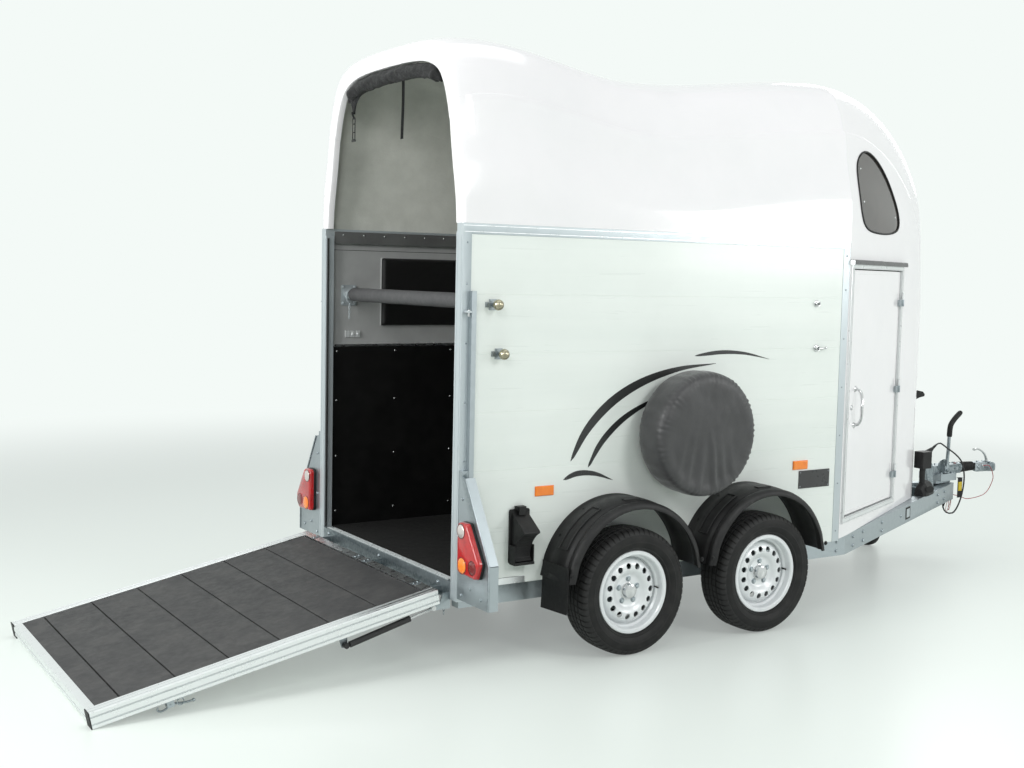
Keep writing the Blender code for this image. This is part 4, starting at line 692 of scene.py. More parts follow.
def sectionRing(x, half, crown, bottom, ledge=1.0, lip=0.0):
    # one transverse section, right bottom edge over the crown to the left bottom edge
    usedHalf, usedCrown = half - lip, crown - lip
    side = [(usedHalf, bottom)]
    step = shell["ledge"] * ledge * min(1.0, half / shell["half"])
    count = len(lowerCurve)
    for k, (share, depth) in enumerate(lowerCurve):
        grow = max(0.0, (k / (count - 1)) * 3.0 - 2.0)
        side.append((usedHalf * share + step * grow, usedCrown - depth))
    side.append((usedHalf * 0.8885 + step * 0.75, usedCrown - 0.296))
    side += [(usedHalf * share, usedCrown - depth) for share, depth in upperCurve[:-1]]
    rows = [(y, max(z, bottom + 0.004 * k)) for k, (y, z) in enumerate(side)]
    ring = [Vector((x, -y, z)) for y, z in rows]
    ring.append(Vector((x, 0.0, usedCrown)))
    ring += [Vector((x, y, z)) for y, z in reversed(rows)]
    return ring


def noseStations(inset=0.0):
    # x and half width along the tapered sides and round the front
    steps, turns, last = 14, 26, radians(88.5)
    rows = []
    taper = shell["taper"]
    begin = body["length"] + 0.0003
    tangentX = noseCentreX + (noseRadius - inset) * sin(taper)
    offset = inset / cos(taper)
    for k in range(steps):
        x = begin + (tangentX - begin) * k / steps
        rows.append((x, shell["half"] - offset - (x - body["length"]) * tan(taper)))
    for k in range(turns + 1):
        angle = taper + (last - taper) * k / turns
        radius = noseRadius - inset
        rows.append((noseCentreX + radius * sin(angle), radius * cos(angle)))
    return rows


def skins(outer, inner, closedFront):
    # outer and inner skins of a moulding joined at their edges; returns shape and inner faces
    count = len(outer[0])
    points = [p for ring in outer for p in ring]
    faces = []
    for i in range(len(outer) - 1):
        for k in range(count - 1):
            a, b = i * count + k, (i + 1) * count + k
            faces.append([a, a + 1, b + 1, b])
    base = len(points)
    points += [p for ring in inner for p in ring]
    firstInner = len(faces)
    for i in range(len(inner) - 1):
        for k in range(count - 1):
            a, b = base + i * count + k, base + (i + 1) * count + k
            faces.append([b, b + 1, a + 1, a])
    lastInner = len(faces)
    lastOuterRow, lastInnerRow = (len(outer) - 1) * count, base + (len(inner) - 1) * count
    faces += [[k + 1, k, base + k, base + k + 1] for k in range(count - 1)]
    if closedFront:
        for row, flip in ((lastOuterRow, False), (lastInnerRow, True)):
            for k in range(count // 2):
                face = [row + k, row + k + 1, row + count - 2 - k, row + count - 1 - k]
                face = list(dict.fromkeys(face))
                faces.append(face[::-1] if flip else face)
    else:
        for k in range(count - 1):
            faces.append([lastOuterRow + k, lastOuterRow + k + 1, lastInnerRow + k + 1,
                    lastInnerRow + k])
    if len(outer) == len(inner):
        faces += [[i * count + end, (i + 1) * count + end, base + (i + 1) * count + end,
                base + i * count + end] for end in (0, count - 1) for i in range(len(outer) - 1)]
    else:
        for end in (0, count - 1):
            edge = [i * count + end for i in range(len(outer))]
            edge += [base + i * count + end for i in reversed(range(len(inner)))]
            faces.append(edge)
    if closedFront:
        faces.append([lastOuterRow, lastOuterRow + count - 1, lastInnerRow + count - 1,
                lastInnerRow])
    return (points, faces), firstInner, lastInner


def moulding(name, shape, firstLining, lastLining):
    # gelcoat all over but for a run of faces in the rough lining
    mesh = meshFrom(name, shape)
    mesh.materials.append(paints["gelcoat"])
    mesh.materials.append(paints["lining"])
    for k in range(firstLining, lastLining):
        mesh.polygons[k].material_index = 1
    return mesh


print("stage: hood")


def buildHood():
    bottom = body["railTop"] + 0.0003
    length = body["length"]
    xs = [0.0, 0.002, 0.005, 0.009, 0.014, 0.02, 0.03, 0.04, 0.048, 0.056, 0.064, 0.08, 0.1, 0.125,
            0.15, 0.18, 0.21]
    xs += [0.25 + (length - 0.25) * k / 44 for k in range(45)]
    outer = []
    for x in xs:
        r = shell["rimRound"]
        pull = r - sqrt(max(0.0, r * r - max(0.0, r - x) ** 2)) if x < r else 0.0
        ledge = min(1.0, max(0.0, (x - shell["ledgeStart"]) / 0.008))
        outer.append(sectionRing(x, shell["half"] - pull, crownHeight(x) - pull, bottom, ledge))
    inner = []
    innerXs = [0.0, 0.004, 0.012, 0.028, 0.0345, 0.037, 0.041] + [x for x in xs if x > 0.05]
    for x in innerXs:
        deep = x < shell["lipDepth"]
        lip = shell["lipWidth"] - shell["thickness"] if deep else 0.0
        if x < 0.01:
            r = 0.01
            lip -= r - sqrt(max(0.0, r * r - (r - x) ** 2))
        if 0.034 < x < 0.045:
            lip = (shell["lipWidth"] - shell["thickness"]) * max(0.0, (0.041 - x) / 0.0065) ** 2
        crown = crownHeight(0.0 if x < 0.05 else x)
        inner.append(sectionRing(x, shell["half"] - shell["thickness"], crown - shell["thickness"],
                bottom, 0.0, lip))
    shape, firstInner, lastInner = skins(outer, inner, False)
    lipFaces = 5 * (len(outer[0]) - 1)
    mesh = moulding("hood", shape, firstInner + lipFaces, lastInner)
    pieceFromMesh("hood", mesh, "gelcoat", smooth=38.0, replaces=("roof_hood",))


buildHood()


print("stage: nose")
sideFrames = {side: Matrix.Translation((body["length"], side * shell["half"], 0.0))
        @ Matrix.Rotation(shell["taper"] if side < 0 else -shell["taper"], 4, "Z")
        for side in (-1.0, 1.0)}


def onTaper(s, out, z, side=-1.0):
    # s runs forward along the tapered side, out stands off it
    return sideFrames[side] @ Vector((s, side * out, z))


def taperBlock(s0, s1, out0, out1, z0, z1, side=-1.0):
    return block(s0, s1, side * out0, side * out1, z0, z1, sideFrames[side])


door = {
    "start": 0.018, "end": 0.9, "bottom": 0.452, "top": 1.865,
    "frame": 0.03, "proud": 0.01, "thickness": 0.028, "clear": 0.006,
}
window = {
    "outline": ((0.15, 2.14), (0.135, 2.29), (0.175, 2.42), (0.3, 2.48), (0.47, 2.45),
                (0.65, 2.35), (0.79, 2.21), (0.82, 2.11), (0.74, 2.055), (0.5, 2.035),
                (0.25, 2.055)),
    "depth": 0.3, "pane": 0.005, "seal": 0.0055,
}


def windowLoop(shrink, step=0.014):
    centre = Vector((0.46, 2.25, 0.0))
    made = []
    for p in smoothed([(s, z, 0.0) for s, z in window["outline"]], step, True):
        away = p - centre
        made.append(centre + away * (1.0 - shrink / away.length))
    return [(p.x, p.y) for p in made]


def windowTool(side, shrink):
    flip = Matrix(((1, 0, 0, 0), (0, 0, -side, 0), (0, 1, 0, 0), (0, 0, 0, 1)))
    return extruded(windowLoop(shrink), -0.1, window["depth"], sideFrames[side] @ flip)


def noseHalf(x):
    taper = shell["taper"]
    tangentX = noseCentreX + noseRadius * sin(taper)
    if x <= tangentX:
        return shell["half"] - (x - body["length"]) * tan(taper)
    return sqrt(max(0.0, noseRadius ** 2 - (x - noseCentreX) ** 2))


def noseSurface(x, z):
    # half width of the moulding at that x and height
    ring = sectionRing(x, noseHalf(x), crownHeight(x), beamTop(x))
    for low, high in zip(ring, ring[1:]):
        if low.z <= z <= high.z and high.z > low.z:
            t = (z - low.z) / (high.z - low.z)
            return -(low.y + (high.y - low.y) * t)
        if low.y > 0:
            break
    return 0.0


def onNose(s, z, side=-1.0, out=0.0):
    # the moulding's surface straight in from the tapered plane
    low, high = -0.02, 0.45
    for k in range(30):
        middle = (low + high) / 2
        p = onTaper(s, -middle, z, side)
        if abs(p.y) > noseSurface(p.x, z):
            low = middle
        else:
            high = middle
    return onTaper(s, out - low, z, side)


def buildNose():
    outer, inner = [], []
    for inset, rings in ((0.0, outer), (shell["thickness"], inner)):
        rings += [sectionRing(x, half, crownHeight(x, inset), beamTop(x) + shell["seat"],
                1.0 if inset == 0.0 else 0.0) for x, half in noseStations(inset)]
    shape, firstInner, lastInner = skins(outer, inner, True)
    mesh = moulding("nose", shape, firstInner, lastInner)
    mesh = carve(mesh, taperBlock(door["start"], door["end"], 0.1, -0.1, door["bottom"],
            door["top"]))
    for side in (-1.0, 1.0):
        mesh = carve(mesh, windowTool(side, 0.0))
    pieceFromMesh("nose", mesh, "gelcoat", smooth=38.0, replaces=("nose_shell",))


buildNose()


def buildWindows():
    for side, label in bothSides:
        outer, inner = [], []
        for inset, rings in ((0.0012, outer), (0.0012 + window["pane"], inner)):
            rings += [sectionRing(x, half, crownHeight(x, inset), 1.8, 0.0)
                    for x, half in noseStations(inset)]
        shape = skins(outer, inner, True)[0]
        pane = carve(meshFrom("pane", shape), windowTool(side, 0.0012), "INTERSECT")
        pieceFromMesh("windowPane_" + label, pane, "smokedGlass", smooth=40.0,
                replaces=("window_" + label,))
        loop = [onNose(s, z, side, 0.001) for s, z in windowLoop(0.002, 0.02)]
        addPiece("windowSeal_" + label, tube(loop, window["seal"], 10, True), "rubber",
                smooth=60.0)
        pins = []
        for s, z in ((0.2, 2.2), (0.21, 2.38), (0.75, 2.14)):
            here = onNose(s, z, side, 0.0)
            pins.append(boltHead(here, here - onTaper(s, -0.2, z, side), 0.006, domed=True))
        addPiece("windowPins_" + label, pins, "chrome", smooth=50.0)


buildWindows()


print("stage: wheels")
wheel = {
    "y": 0.867, "rearX": 0.353 * body["length"], "spacing": 0.829,
    "radius": 0.3,
    "blocks": 60, "grooveDepth": 0.0055, "sipeDepth": 0.0035,
    "holes": 15, "holeCircle": 0.12, "holeRadius": 0.0142,
    "bolts": 5, "boltCircle": 0.056,
    "drum": 0.105,
}
wheelSpots = {where + "_" + label: (wheel["rearX"] + (wheel["spacing"] if where == "front"
        else 0.0), side) for where in ("rear", "front") for side, label in bothSides}


def tyreShape():
    # rows: radius, distance from the middle, how deep a cross groove cuts there
    r = wheel["radius"]
    g = wheel["grooveDepth"]
    s = wheel["sipeDepth"]
    half = [(0.1783, 0.058, 0), (0.1783, 0.0656, 0), (0.197, 0.0656, 0), (0.1985, 0.0705, 0),
            (0.203, 0.0765, 0), (0.2065, 0.0795, 0), (0.2075, 0.0815, 0), (0.2105, 0.0818, 0),
            (0.212, 0.0812, 0), (0.22, 0.0862, 0), (0.23, 0.0902, 0), (0.237, 0.0914, 0),
            (0.238, 0.0925, 0), (0.242, 0.0925, 0), (0.243, 0.0915, 0), (0.254, 0.0914, 0),
            (0.264, 0.0904, 0), (0.2725, 0.088, 0), (0.2735, 0.0892, s * 0.5), (0.279, 0.088, s),
            (0.285, 0.0845, s), (0.29, 0.08, s), (0.2935, 0.075, s), (0.296, 0.069, s),
            (0.2976, 0.062, s), (0.2986, 0.053, s), (r - 0.001, 0.0445, s),
            (r - 0.001 - g, 0.043, 0), (r - 0.001 - g, 0.0385, 0), (r - 0.0005, 0.037, s * 0.6),
            (r - 0.0002, 0.027, s * 0.6), (r, 0.017, s * 0.6), (r - g, 0.0155, 0),
            (r - g, 0.011, 0), (r, 0.0095, s * 0.4), (r, 0.0, s * 0.4)]
    rows = half + [(a, -b, c) for a, b, c in reversed(half[:-1])]
    shares = (0.0, 0.13, 0.18, 0.95)
    rings = []
    for lug in range(wheel["blocks"]):
        for k, share in enumerate(shares):
            turn = 2 * pi * (lug + share) / wheel["blocks"]
            ring = []
            for radius, off, sipe in rows:
                lean = 0.9 * abs(off) / 0.09 if radius > 0.27 else 0.0
                angle = turn + lean * 2 * pi / wheel["blocks"] * 0.6
                deep = sipe if k < 2 else 0.0
                ring.append(((radius - deep) * cos(angle), (radius - deep) * sin(angle), off))
            rings.append(ring)
    return loft(rings, True, closedPath=True)


def rimShape():
    face = smoothed([(r, h, 0) for r, h in ((0.0345, 0.0262), (0.06, 0.0262), (0.074, 0.029),
            (0.088, 0.0395), (0.102, 0.047), (0.113, 0.0485), (0.126, 0.0462), (0.139, 0.0395),
            (0.149, 0.027), (0.156, 0.013))], 0.006)
    profile = [(0.0205, 0.0262)] + [(p.x, p.y) for p in face]
    profile += [(0.159, 0.01), (0.1625, 0.0125), (0.168, 0.03), (0.1722, 0.045), (0.1735, 0.056),
            (0.1745, 0.066), (0.179, 0.0712), (0.186, 0.072), (0.1935, 0.0715), (0.1962, 0.069),
            (0.196, 0.0662), (0.178, 0.0662), (0.178, 0.046), (0.162, 0.03), (0.16, -0.02),
            (0.178, -0.04), (0.178, -0.0662), (0.196, -0.0662), (0.196, -0.072), (0.174, -0.072),
            (0.174, -0.043), (0.156, -0.022), (0.1545, 0.006), (0.145, 0.023), (0.137, 0.0335),
            (0.125, 0.04), (0.113, 0.0425), (0.102, 0.041), (0.089, 0.0335), (0.075, 0.0232),
            (0.06, 0.0208), (0.0205, 0.0208)]
    made = meshFrom("rim", turnedShape(profile, 90, None, True), False)
    cutters = [rod((wheel["holeCircle"] * cos(a), wheel["holeCircle"] * sin(a), 0.02),
            (wheel["holeCircle"] * cos(a), wheel["holeCircle"] * sin(a), 0.07),
            wheel["holeRadius"], 20) for a in angles(wheel["holes"])]
    made = carve(made, moved(joined(*cutters), Matrix.Translation((-datumX, 0, 0))))
    return made


def buildWheels():
    tyres = meshFrom("tyre", tyreShape(), False)
    rims = rimShape()
    drum = [(0.0212, -0.075), (0.104, -0.075), (wheel["drum"], -0.07), (wheel["drum"], 0.006),
            (0.098, 0.015), (0.034, 0.0195), (0.0006, 0.0195), (0.0006, 0.0), (0.0212, 0.0)]
    cap = [(0.0006, 0.0205), (0.0335, 0.0205), (0.0345, 0.03), (0.034, 0.0465), (0.0315, 0.052),
            (0.025, 0.055), (0.0006, 0.056)]
    capGroove = [(0.0352, 0.0262), (0.0385, 0.0262), (0.0385, 0.029), (0.0352, 0.03)]
    drumShape = turnedShape(drum, 48, None, True)
    # ring behind the rim for the brake's backing plate; its black is painted shade that darkens
    # the rim's holes
    holeShadeRing = turnedShape([(0.1052, -0.09), (0.146, -0.089), (0.15, -0.085), (0.15, -0.078),
            (0.1475, -0.078), (0.147, -0.086), (0.1052, -0.087)], 56, None, True)
    capShape = joined(turnedShape(cap, 32), turnedShape(capGroove, 32, None, True))
    bolts = []
    for k in range(wheel["bolts"]):
        a = 2 * pi * k / wheel["bolts"] + 0.3
        spot = (wheel["boltCircle"] * cos(a), wheel["boltCircle"] * sin(a), 0.0262)
        bolts.append(boltHead(spot, (0, 0, 1), 0.0098))
    valve = rod((0.164, 0.0, 0.02), (0.159, 0.0, 0.056), 0.0042, 12, 0.0034, 0.0015)
    for spot, (x, side) in wheelSpots.items():
        seat = alongAxis((x, side * wheel["y"], wheel["radius"]), (0.0, side, 0.0))
        rideOn = "wheel_" + spot
        rubber = tyres.copy()
        rubber.transform(Matrix.Translation((datumX, 0, 0)) @ seat)
        pieceFromMesh("tyre_" + spot + "_tread", rubber, "tyre", rideOn, 32.0,
                ("tyre_" + spot,))
        steel = rims.copy()
        steel.transform(Matrix.Translation((datumX, 0, 0)) @ seat)
        pieceFromMesh("rim_" + spot + "_steel", steel, "rim", rideOn, 30.0,
                ("rim_" + spot,))
        addPiece("drum_" + spot, moved(drumShape, seat), "zinc", rideOn)
        # the backing plate in black rubber finish, painted shade seen through the rim's holes
        addPiece("backingPlateShade_" + spot, moved(holeShadeRing, seat), "rubber")
        addPiece("hubCap_" + spot, moved(capShape, seat), "chrome", rideOn)
        addPiece("wheelBolts_" + spot, moved(joined(*bolts), seat), "zinc", rideOn)
        addPiece("valve_" + spot, moved(valve, seat), "rubber", rideOn)


buildWheels()


print("stage: mudguards")
guard = {
    "radius": 0.437, "reach": 0.398, "footZ": 0.385, "near": 0.7453, "outer": 0.975,
    "skin": 0.005, "lip": 0.04, "roll": 0.046, "drop": 0.013, "web": 0.014,
    "flapLow": 0.236, "flapTop": 0.46,
}


def guardPath(wheelX, radius, reach):
    points = [(wheelX - reach, guard["footZ"])]
    turns = 38
    for k in range(turns + 1):
        angle = radians(158.0 - 136.0 * k / turns)
        points.append((wheelX + reach * cos(angle) * 1.02, wheel["radius"] + radius
                * sin(angle) ** 0.92))
    points.append((wheelX + reach, guard["footZ"]))
    return points


def guardRings(wheelX, section, side):
    path = [Vector((x, 0, z)) for x, z in guardPath(wheelX, guard["radius"], guard["reach"])]
    rings = []
    for k, here in enumerate(path):
        before, after = path[max(0, k - 1)], path[min(len(path) - 1, k + 1)]
        along = (after - before).normalized()
        normal = Vector((-along.z, 0.0, along.x))
        if k in (0, len(path) - 1):
            normal.z = 0.0
            normal.normalize()
        rings.append([here + normal * n + Vector((0, side * y, 0)) for y, n in section])
    return rings


def guardSkin(wheelX, side):
    near, outer, skin, lip = guard["near"], guard["outer"], guard["skin"], guard["lip"]
    step, drop = outer - guard["roll"], guard["drop"]
    # y against height off the arch: shallow channels, a groove and a broad rolled lip
    top = [(near, 0.0), (near + 0.012, 0.0), (near + 0.018, -0.003), (near + 0.06, -0.003),
            (near + 0.066, 0.0), (near + 0.12, -0.001), (step - 0.024, -0.0045),
            (step - 0.014, -0.0075), (step - 0.006, -0.0145), (step, -0.0155),
            (step + 0.005, -0.012), (step + 0.012, 0.004 - drop), (step + 0.022, 0.0055 - drop),
            (step + 0.032, 0.003 - drop), (step + 0.04, -0.004 - drop),
            (outer - 0.001, -0.014 - drop), (outer, -0.024 - drop), (outer, -lip)]
    under = [(outer - 0.007, -lip), (outer - 0.007, -0.024 - drop), (outer - 0.012, -0.012 - drop),
            (outer - 0.022, -0.005 - drop), (step + 0.01, -0.0065 - drop), (step, -0.0215),
            (step - 0.012, -0.0165), (step - 0.026, -0.0105), (near + 0.12, -0.0062),
            (near + 0.066, -skin), (near + 0.06, -0.008), (near + 0.018, -0.008),
            (near + 0.012, -skin), (near, -skin)]
    return loft(guardRings(wheelX, top + under, side))


def buildGuards():
    rearX, frontX = wheel["rearX"], wheel["rearX"] + wheel["spacing"]
    near, outer, reach = guard["near"], guard["outer"], guard["reach"]
    for side, label in bothSides:
        web = block(rearX + reach - 0.006, frontX - reach + 0.006, side * (near + 0.0004),
                side * (near + guard["web"]), guard["footZ"], guard["footZ"] + 0.12)
        addPiece("mudguardSkins_" + label, joined(guardSkin(rearX, side), guardSkin(frontX, side),
                web), "blackPlastic", smooth=50.0,
                replaces=("mudguard_" + label,))
        flapX = rearX - reach
        rows = ((guard["flapLow"], -0.006), (0.28, -0.0035), (0.33, -0.001), (0.385, 0.0),
                (guard["flapTop"], 0.0))
        flap = loft([[(x + bend, side * y, z + (0.01 if y > 0.9 and z < 0.25 else 0.0))
                for x, y in ((flapX + 0.0055, near + 0.01), (flapX + 0.0095, near + 0.01),
                (flapX + 0.0095, outer - 0.0105), (flapX + 0.0055, outer - 0.0105))]
                for z, bend in rows])
        addPiece("mudFlap_" + label, flap, "rubber", bevel=0.001)
        extras = []
        for x in (rearX, frontX):
            top = wheel["radius"] + guard["radius"]
            y = side * (outer - 0.078)
            extras.append(block(x - 0.044, x + 0.044, y - 0.014, y + 0.014, top - 0.012,
                    top - 0.0005))
        # raised outline on the rear flank of each arch
        for x in (rearX, frontX):
            path = guardPath(x, guard["radius"] + 0.0012, reach + 0.0012)
            for y in (near + 0.09, near + 0.15):
                edge = [(a, side * y, b) for a, b in path[3:14]]
                extras.append(tube(edge, 0.0035, 8))
            extras += [tube([(a, side * (near + 0.09), b), (a, side * (near + 0.12), b + 0.0003),
                    (a, side * (near + 0.15), b)], 0.0035, 8) for a, b in (path[3], path[13])]
        addPiece("guardPlates_" + label, extras, "blackPlastic", bevel=0.002)
        rivets = []
        for x in (rearX, frontX):
            for turn in (-52.0, -28.0, 28.0, 52.0):
                a = radians(90.0 + turn)
                reachR = guard["radius"] - 0.002
                rivets.append(boltHead((x + 0.93 * reachR * cos(a), side * (near + 0.04),
                        wheel["radius"] + reachR * sin(a) ** 0.92 - 0.005), (cos(a), 0.0, sin(a)),
                        0.006))
            rivets += [boltHead((foot, side * (outer - 0.0002), guard["footZ"] + 0.04),
                    (0, side, 0), 0.0075) for foot in (x - reach + 0.018, x + reach - 0.018)]
        addPiece("guardBolts_" + label, rivets, "rubber")


buildGuards()


print("stage: sides")
sides = {
    "rearPost": 0.045, "rearPostWide": 0.057, "frontPost": 0.048,
    "planks": 6, "joint": 0.0016, "jointDeep": 0.001,
    "railWide": 0.05,
    "fittings": ((0.16, 1.63, True), (0.195, 1.412, True), (2.148, 1.646, False),
                 (2.158, 1.412, False)),
    "markers": ((0.404, 0.507, 0.7545, 0.801), (2.024, 2.129, 0.7725, 0.82)),
    "barHeight": 1.64, "breechX": 0.145, "breastX": 2.15,
}


def finishNode(name, paint, bevel=0.0, smooth=35.0, segments=2):
    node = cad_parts[name]
    node.data.materials.clear()
    node.data.materials.append(paints[paint])
    node.data.shade_smooth()
    node.data.set_sharp_from_angle(angle=radians(smooth))
    if bevel:
        softened(node, bevel, segments)


def wallShape(side):
    low, high = body["wallBottom"], body["railBottom"] - 0.0003
    outer, inner = body["wallOuter"], body["wallInner"]
    points = [(inner, high), (inner, low), (outer, low)]
    for k in range(1, sides["planks"]):
        z = low + (high - low) * k / sides["planks"]
        j, d = sides["joint"], sides["jointDeep"]
        points += [(outer, z - j), (outer - d, z - j * 0.4), (outer - d, z + j * 0.4),
                (outer, z + j)]
    points.append((outer, high))
    start, end = sides["rearPost"] + 0.0003, body["length"] - sides["frontPost"] - 0.0003
    return extruded([(side * y, z) for y, z in points], start, end, across)


def buildSides():
    for side, label in bothSides:
        addPiece("planks_" + label, wallShape(side), "planks", smooth=30.0,
                replaces=("wall_" + label,))
        finishNode("side_frame_" + label, "postAlu", 0.0022)
        # a thin grey sheet over the inner face of the planks above the kick panel, darker than the
        # planks
        y0, y1 = body["wallInner"] - 0.0002, body["wallInner"] - 0.003
        board = block(sides["rearPost"] + 0.002, body["length"] - sides["frontPost"] - 0.002,
                side * y0, side * y1, body["kickTop"] + 0.0015, body["railBottom"] - 0.001)
        addPiece("innerBoard_" + label, board, "innerBoard", bevel=0.0006)
        # dark aluminium strip over the edge of the hood, inside
        strip = block(0.05, body["length"] - 0.004, side * (body["half"] - sides["railWide"]
                - 0.0003), side * (body["half"] - sides["railWide"] - 0.0022),
                body["railBottom"] - 0.028, body["railTop"] - 0.012)
        addPiece("flangeStrip_" + label, strip, "flange", bevel=0.0005)
        heads = []
        for k in range(19):
            x = 0.1 + (body["length"] - 0.18) * k / 18
            heads.append(boltHead((x, side * (body["half"] - sides["railWide"] - 0.0022),
                    body["railTop"] - 0.03), (0, -side, 0), 0.0055, domed=True))
        addPiece("flangeRivets_" + label, heads, "chrome", smooth=60.0)
        # rail: two fine ribs outside, and rivets down the posts
        ribs = [block(0.004, body["length"] - 0.004, side * (body["half"] - 0.0005),
                side * (body["half"] + 0.0012), z - 0.0014, z + 0.0014)
                for z in (body["railBottom"] + 0.01, body["railTop"] - 0.01)]
        addPiece("railRibs_" + label, ribs, "aluminium")
        heads = [boltHead((x, side * body["half"], z), (0, side, 0), 0.005, domed=True)
                for z in (0.42, 0.68, 0.94, 1.2, 1.46, 1.72, 1.9)
                for x in (0.024, body["length"] - 0.024)]
        addPiece("postRivets_" + label, heads, "zinc", smooth=60.0)
        lowTrim = [(side * (body["wallOuter"] + 0.0002), 0.363),
                (side * (body["wallOuter"] + 0.002), 0.363), (side * (body["wallOuter"] + 0.002),
                0.392), (side * (body["wallOuter"] + 0.0002), 0.394)]
        addPiece("lowTrim_" + label, extruded(lowTrim, sides["rearPost"] + 0.001, 0.358, across),
                "aluminium")


buildSides()


def buildFittings():
    for side, label in bothSides:
        plates, knobs, eyes = [], [], []
        wallFace = body["wallOuter"]
        for x, z, knob in sides["fittings"]:
            if knob:
                plates.append(block(x - 0.021, x + 0.019, side * (wallFace + 0.0002),
                        side * (wallFace + 0.004), z - 0.024, z + 0.024))
                plates.append(block(x - 0.04, x - 0.021, side * (wallFace + 0.0002),
                        side * (wallFace + 0.004), z - 0.012, z + 0.012))
                plates.append(rod((x, side * wallFace, z), (x, side * (wallFace + 0.03), z),
                        0.0095, 18, soften=0.001))
                knobs.append(ball((x, side * (body["half"] + 0.0455), z), 0.0245, 36))
                knobs.append(rod((x, side * (wallFace + 0.018), z),
                        (x, side * (wallFace + 0.026), z), 0.013, 24, 0.011, 0.001))
                plates += [boltHead((x + dx, side * (wallFace + 0.004), z + dz), (0, side, 0),
                        0.0036, domed=True) for dx, dz in ((-0.014, 0.017), (0.012, -0.017),
                        (-0.032, 0.0))]
            else:
                eyes.append(turnedShape([(0.007, 0.0), (0.018, 0.0), (0.018, 0.003),
                        (0.016, 0.0045), (0.0105, 0.005), (0.0085, 0.015), (0.007, 0.015)], 28,
                        alongAxis((x, side * (wallFace + 0.0002), z), (0, side, 0)), True))
                ring = [(x + 0.011 * cos(a), side * (wallFace + 0.016), z + 0.011 * sin(a))
                        for a in angles(20)]
                eyes.append(tube(ring, 0.0036, 8, True))
        x, z = sides["fittings"][3][:2]
        pin = [(x + 0.006, side * (wallFace + 0.016), z - 0.002),
                (x + 0.03, side * (wallFace + 0.018), z), (x + 0.056, side * (wallFace + 0.016),
                z + 0.002)]
        eyes.append(tube(smoothed(pin, 0.006), 0.0042, 10))
        eyes.append(ball((x + 0.058, side * (wallFace + 0.016), z + 0.002), 0.0072, 16))
        addPiece("knobPlates_" + label, plates, "zinc", bevel=0.0007)
        addPiece("knobBalls_" + label, knobs, "brass", smooth=50.0)
        addPiece("wallEyes_" + label, eyes, "chrome", smooth=50.0)
        for k, (x0, x1, z0, z1) in enumerate(sides["markers"]):
            addPiece(f"marker{k}_{label}", block(x0 + 0.003, x1 - 0.003, side * (wallFace + 0.004),
                    side * (wallFace + 0.0085), z0 + 0.003, z1 - 0.003), "orangeLens",
                    bevel=0.0015)
            addPiece(f"markerFrame{k}_{label}", block(x0, x1, side * (wallFace + 0.0002),
                    side * (wallFace + 0.0045), z0, z1), "orangeLens", bevel=0.0012)


buildFittings()


print("stage: ramp")
ramp = {
    "half": 0.725, "length": 1.568, "hinge": (-0.05, 0.336), "face": 0.042, "under": 0.025,
    "root": 0.026, "railWide": 0.062, "edge": 0.04,
    "boards": 7, "firstBoard": 0.45, "seam": 0.006,
    "lugY": 0.6, "pin": 0.011,
    "latchX": (-1.29, -1.17),
    "strutEye": (0.48, 0.69, 0.074),
}
rampTilt = (asin(ramp["hinge"][1] / hypot(ramp["length"], ramp["under"]))
        - atan(ramp["under"] / ramp["length"]))
rampSeat = (Matrix.Translation((ramp["hinge"][0], 0.0, ramp["hinge"][1]))
        @ Matrix.Rotation(-rampTilt, 4, "Y"))


def onRamp(*shapes):
    return moved(joined(*shapes), rampSeat)


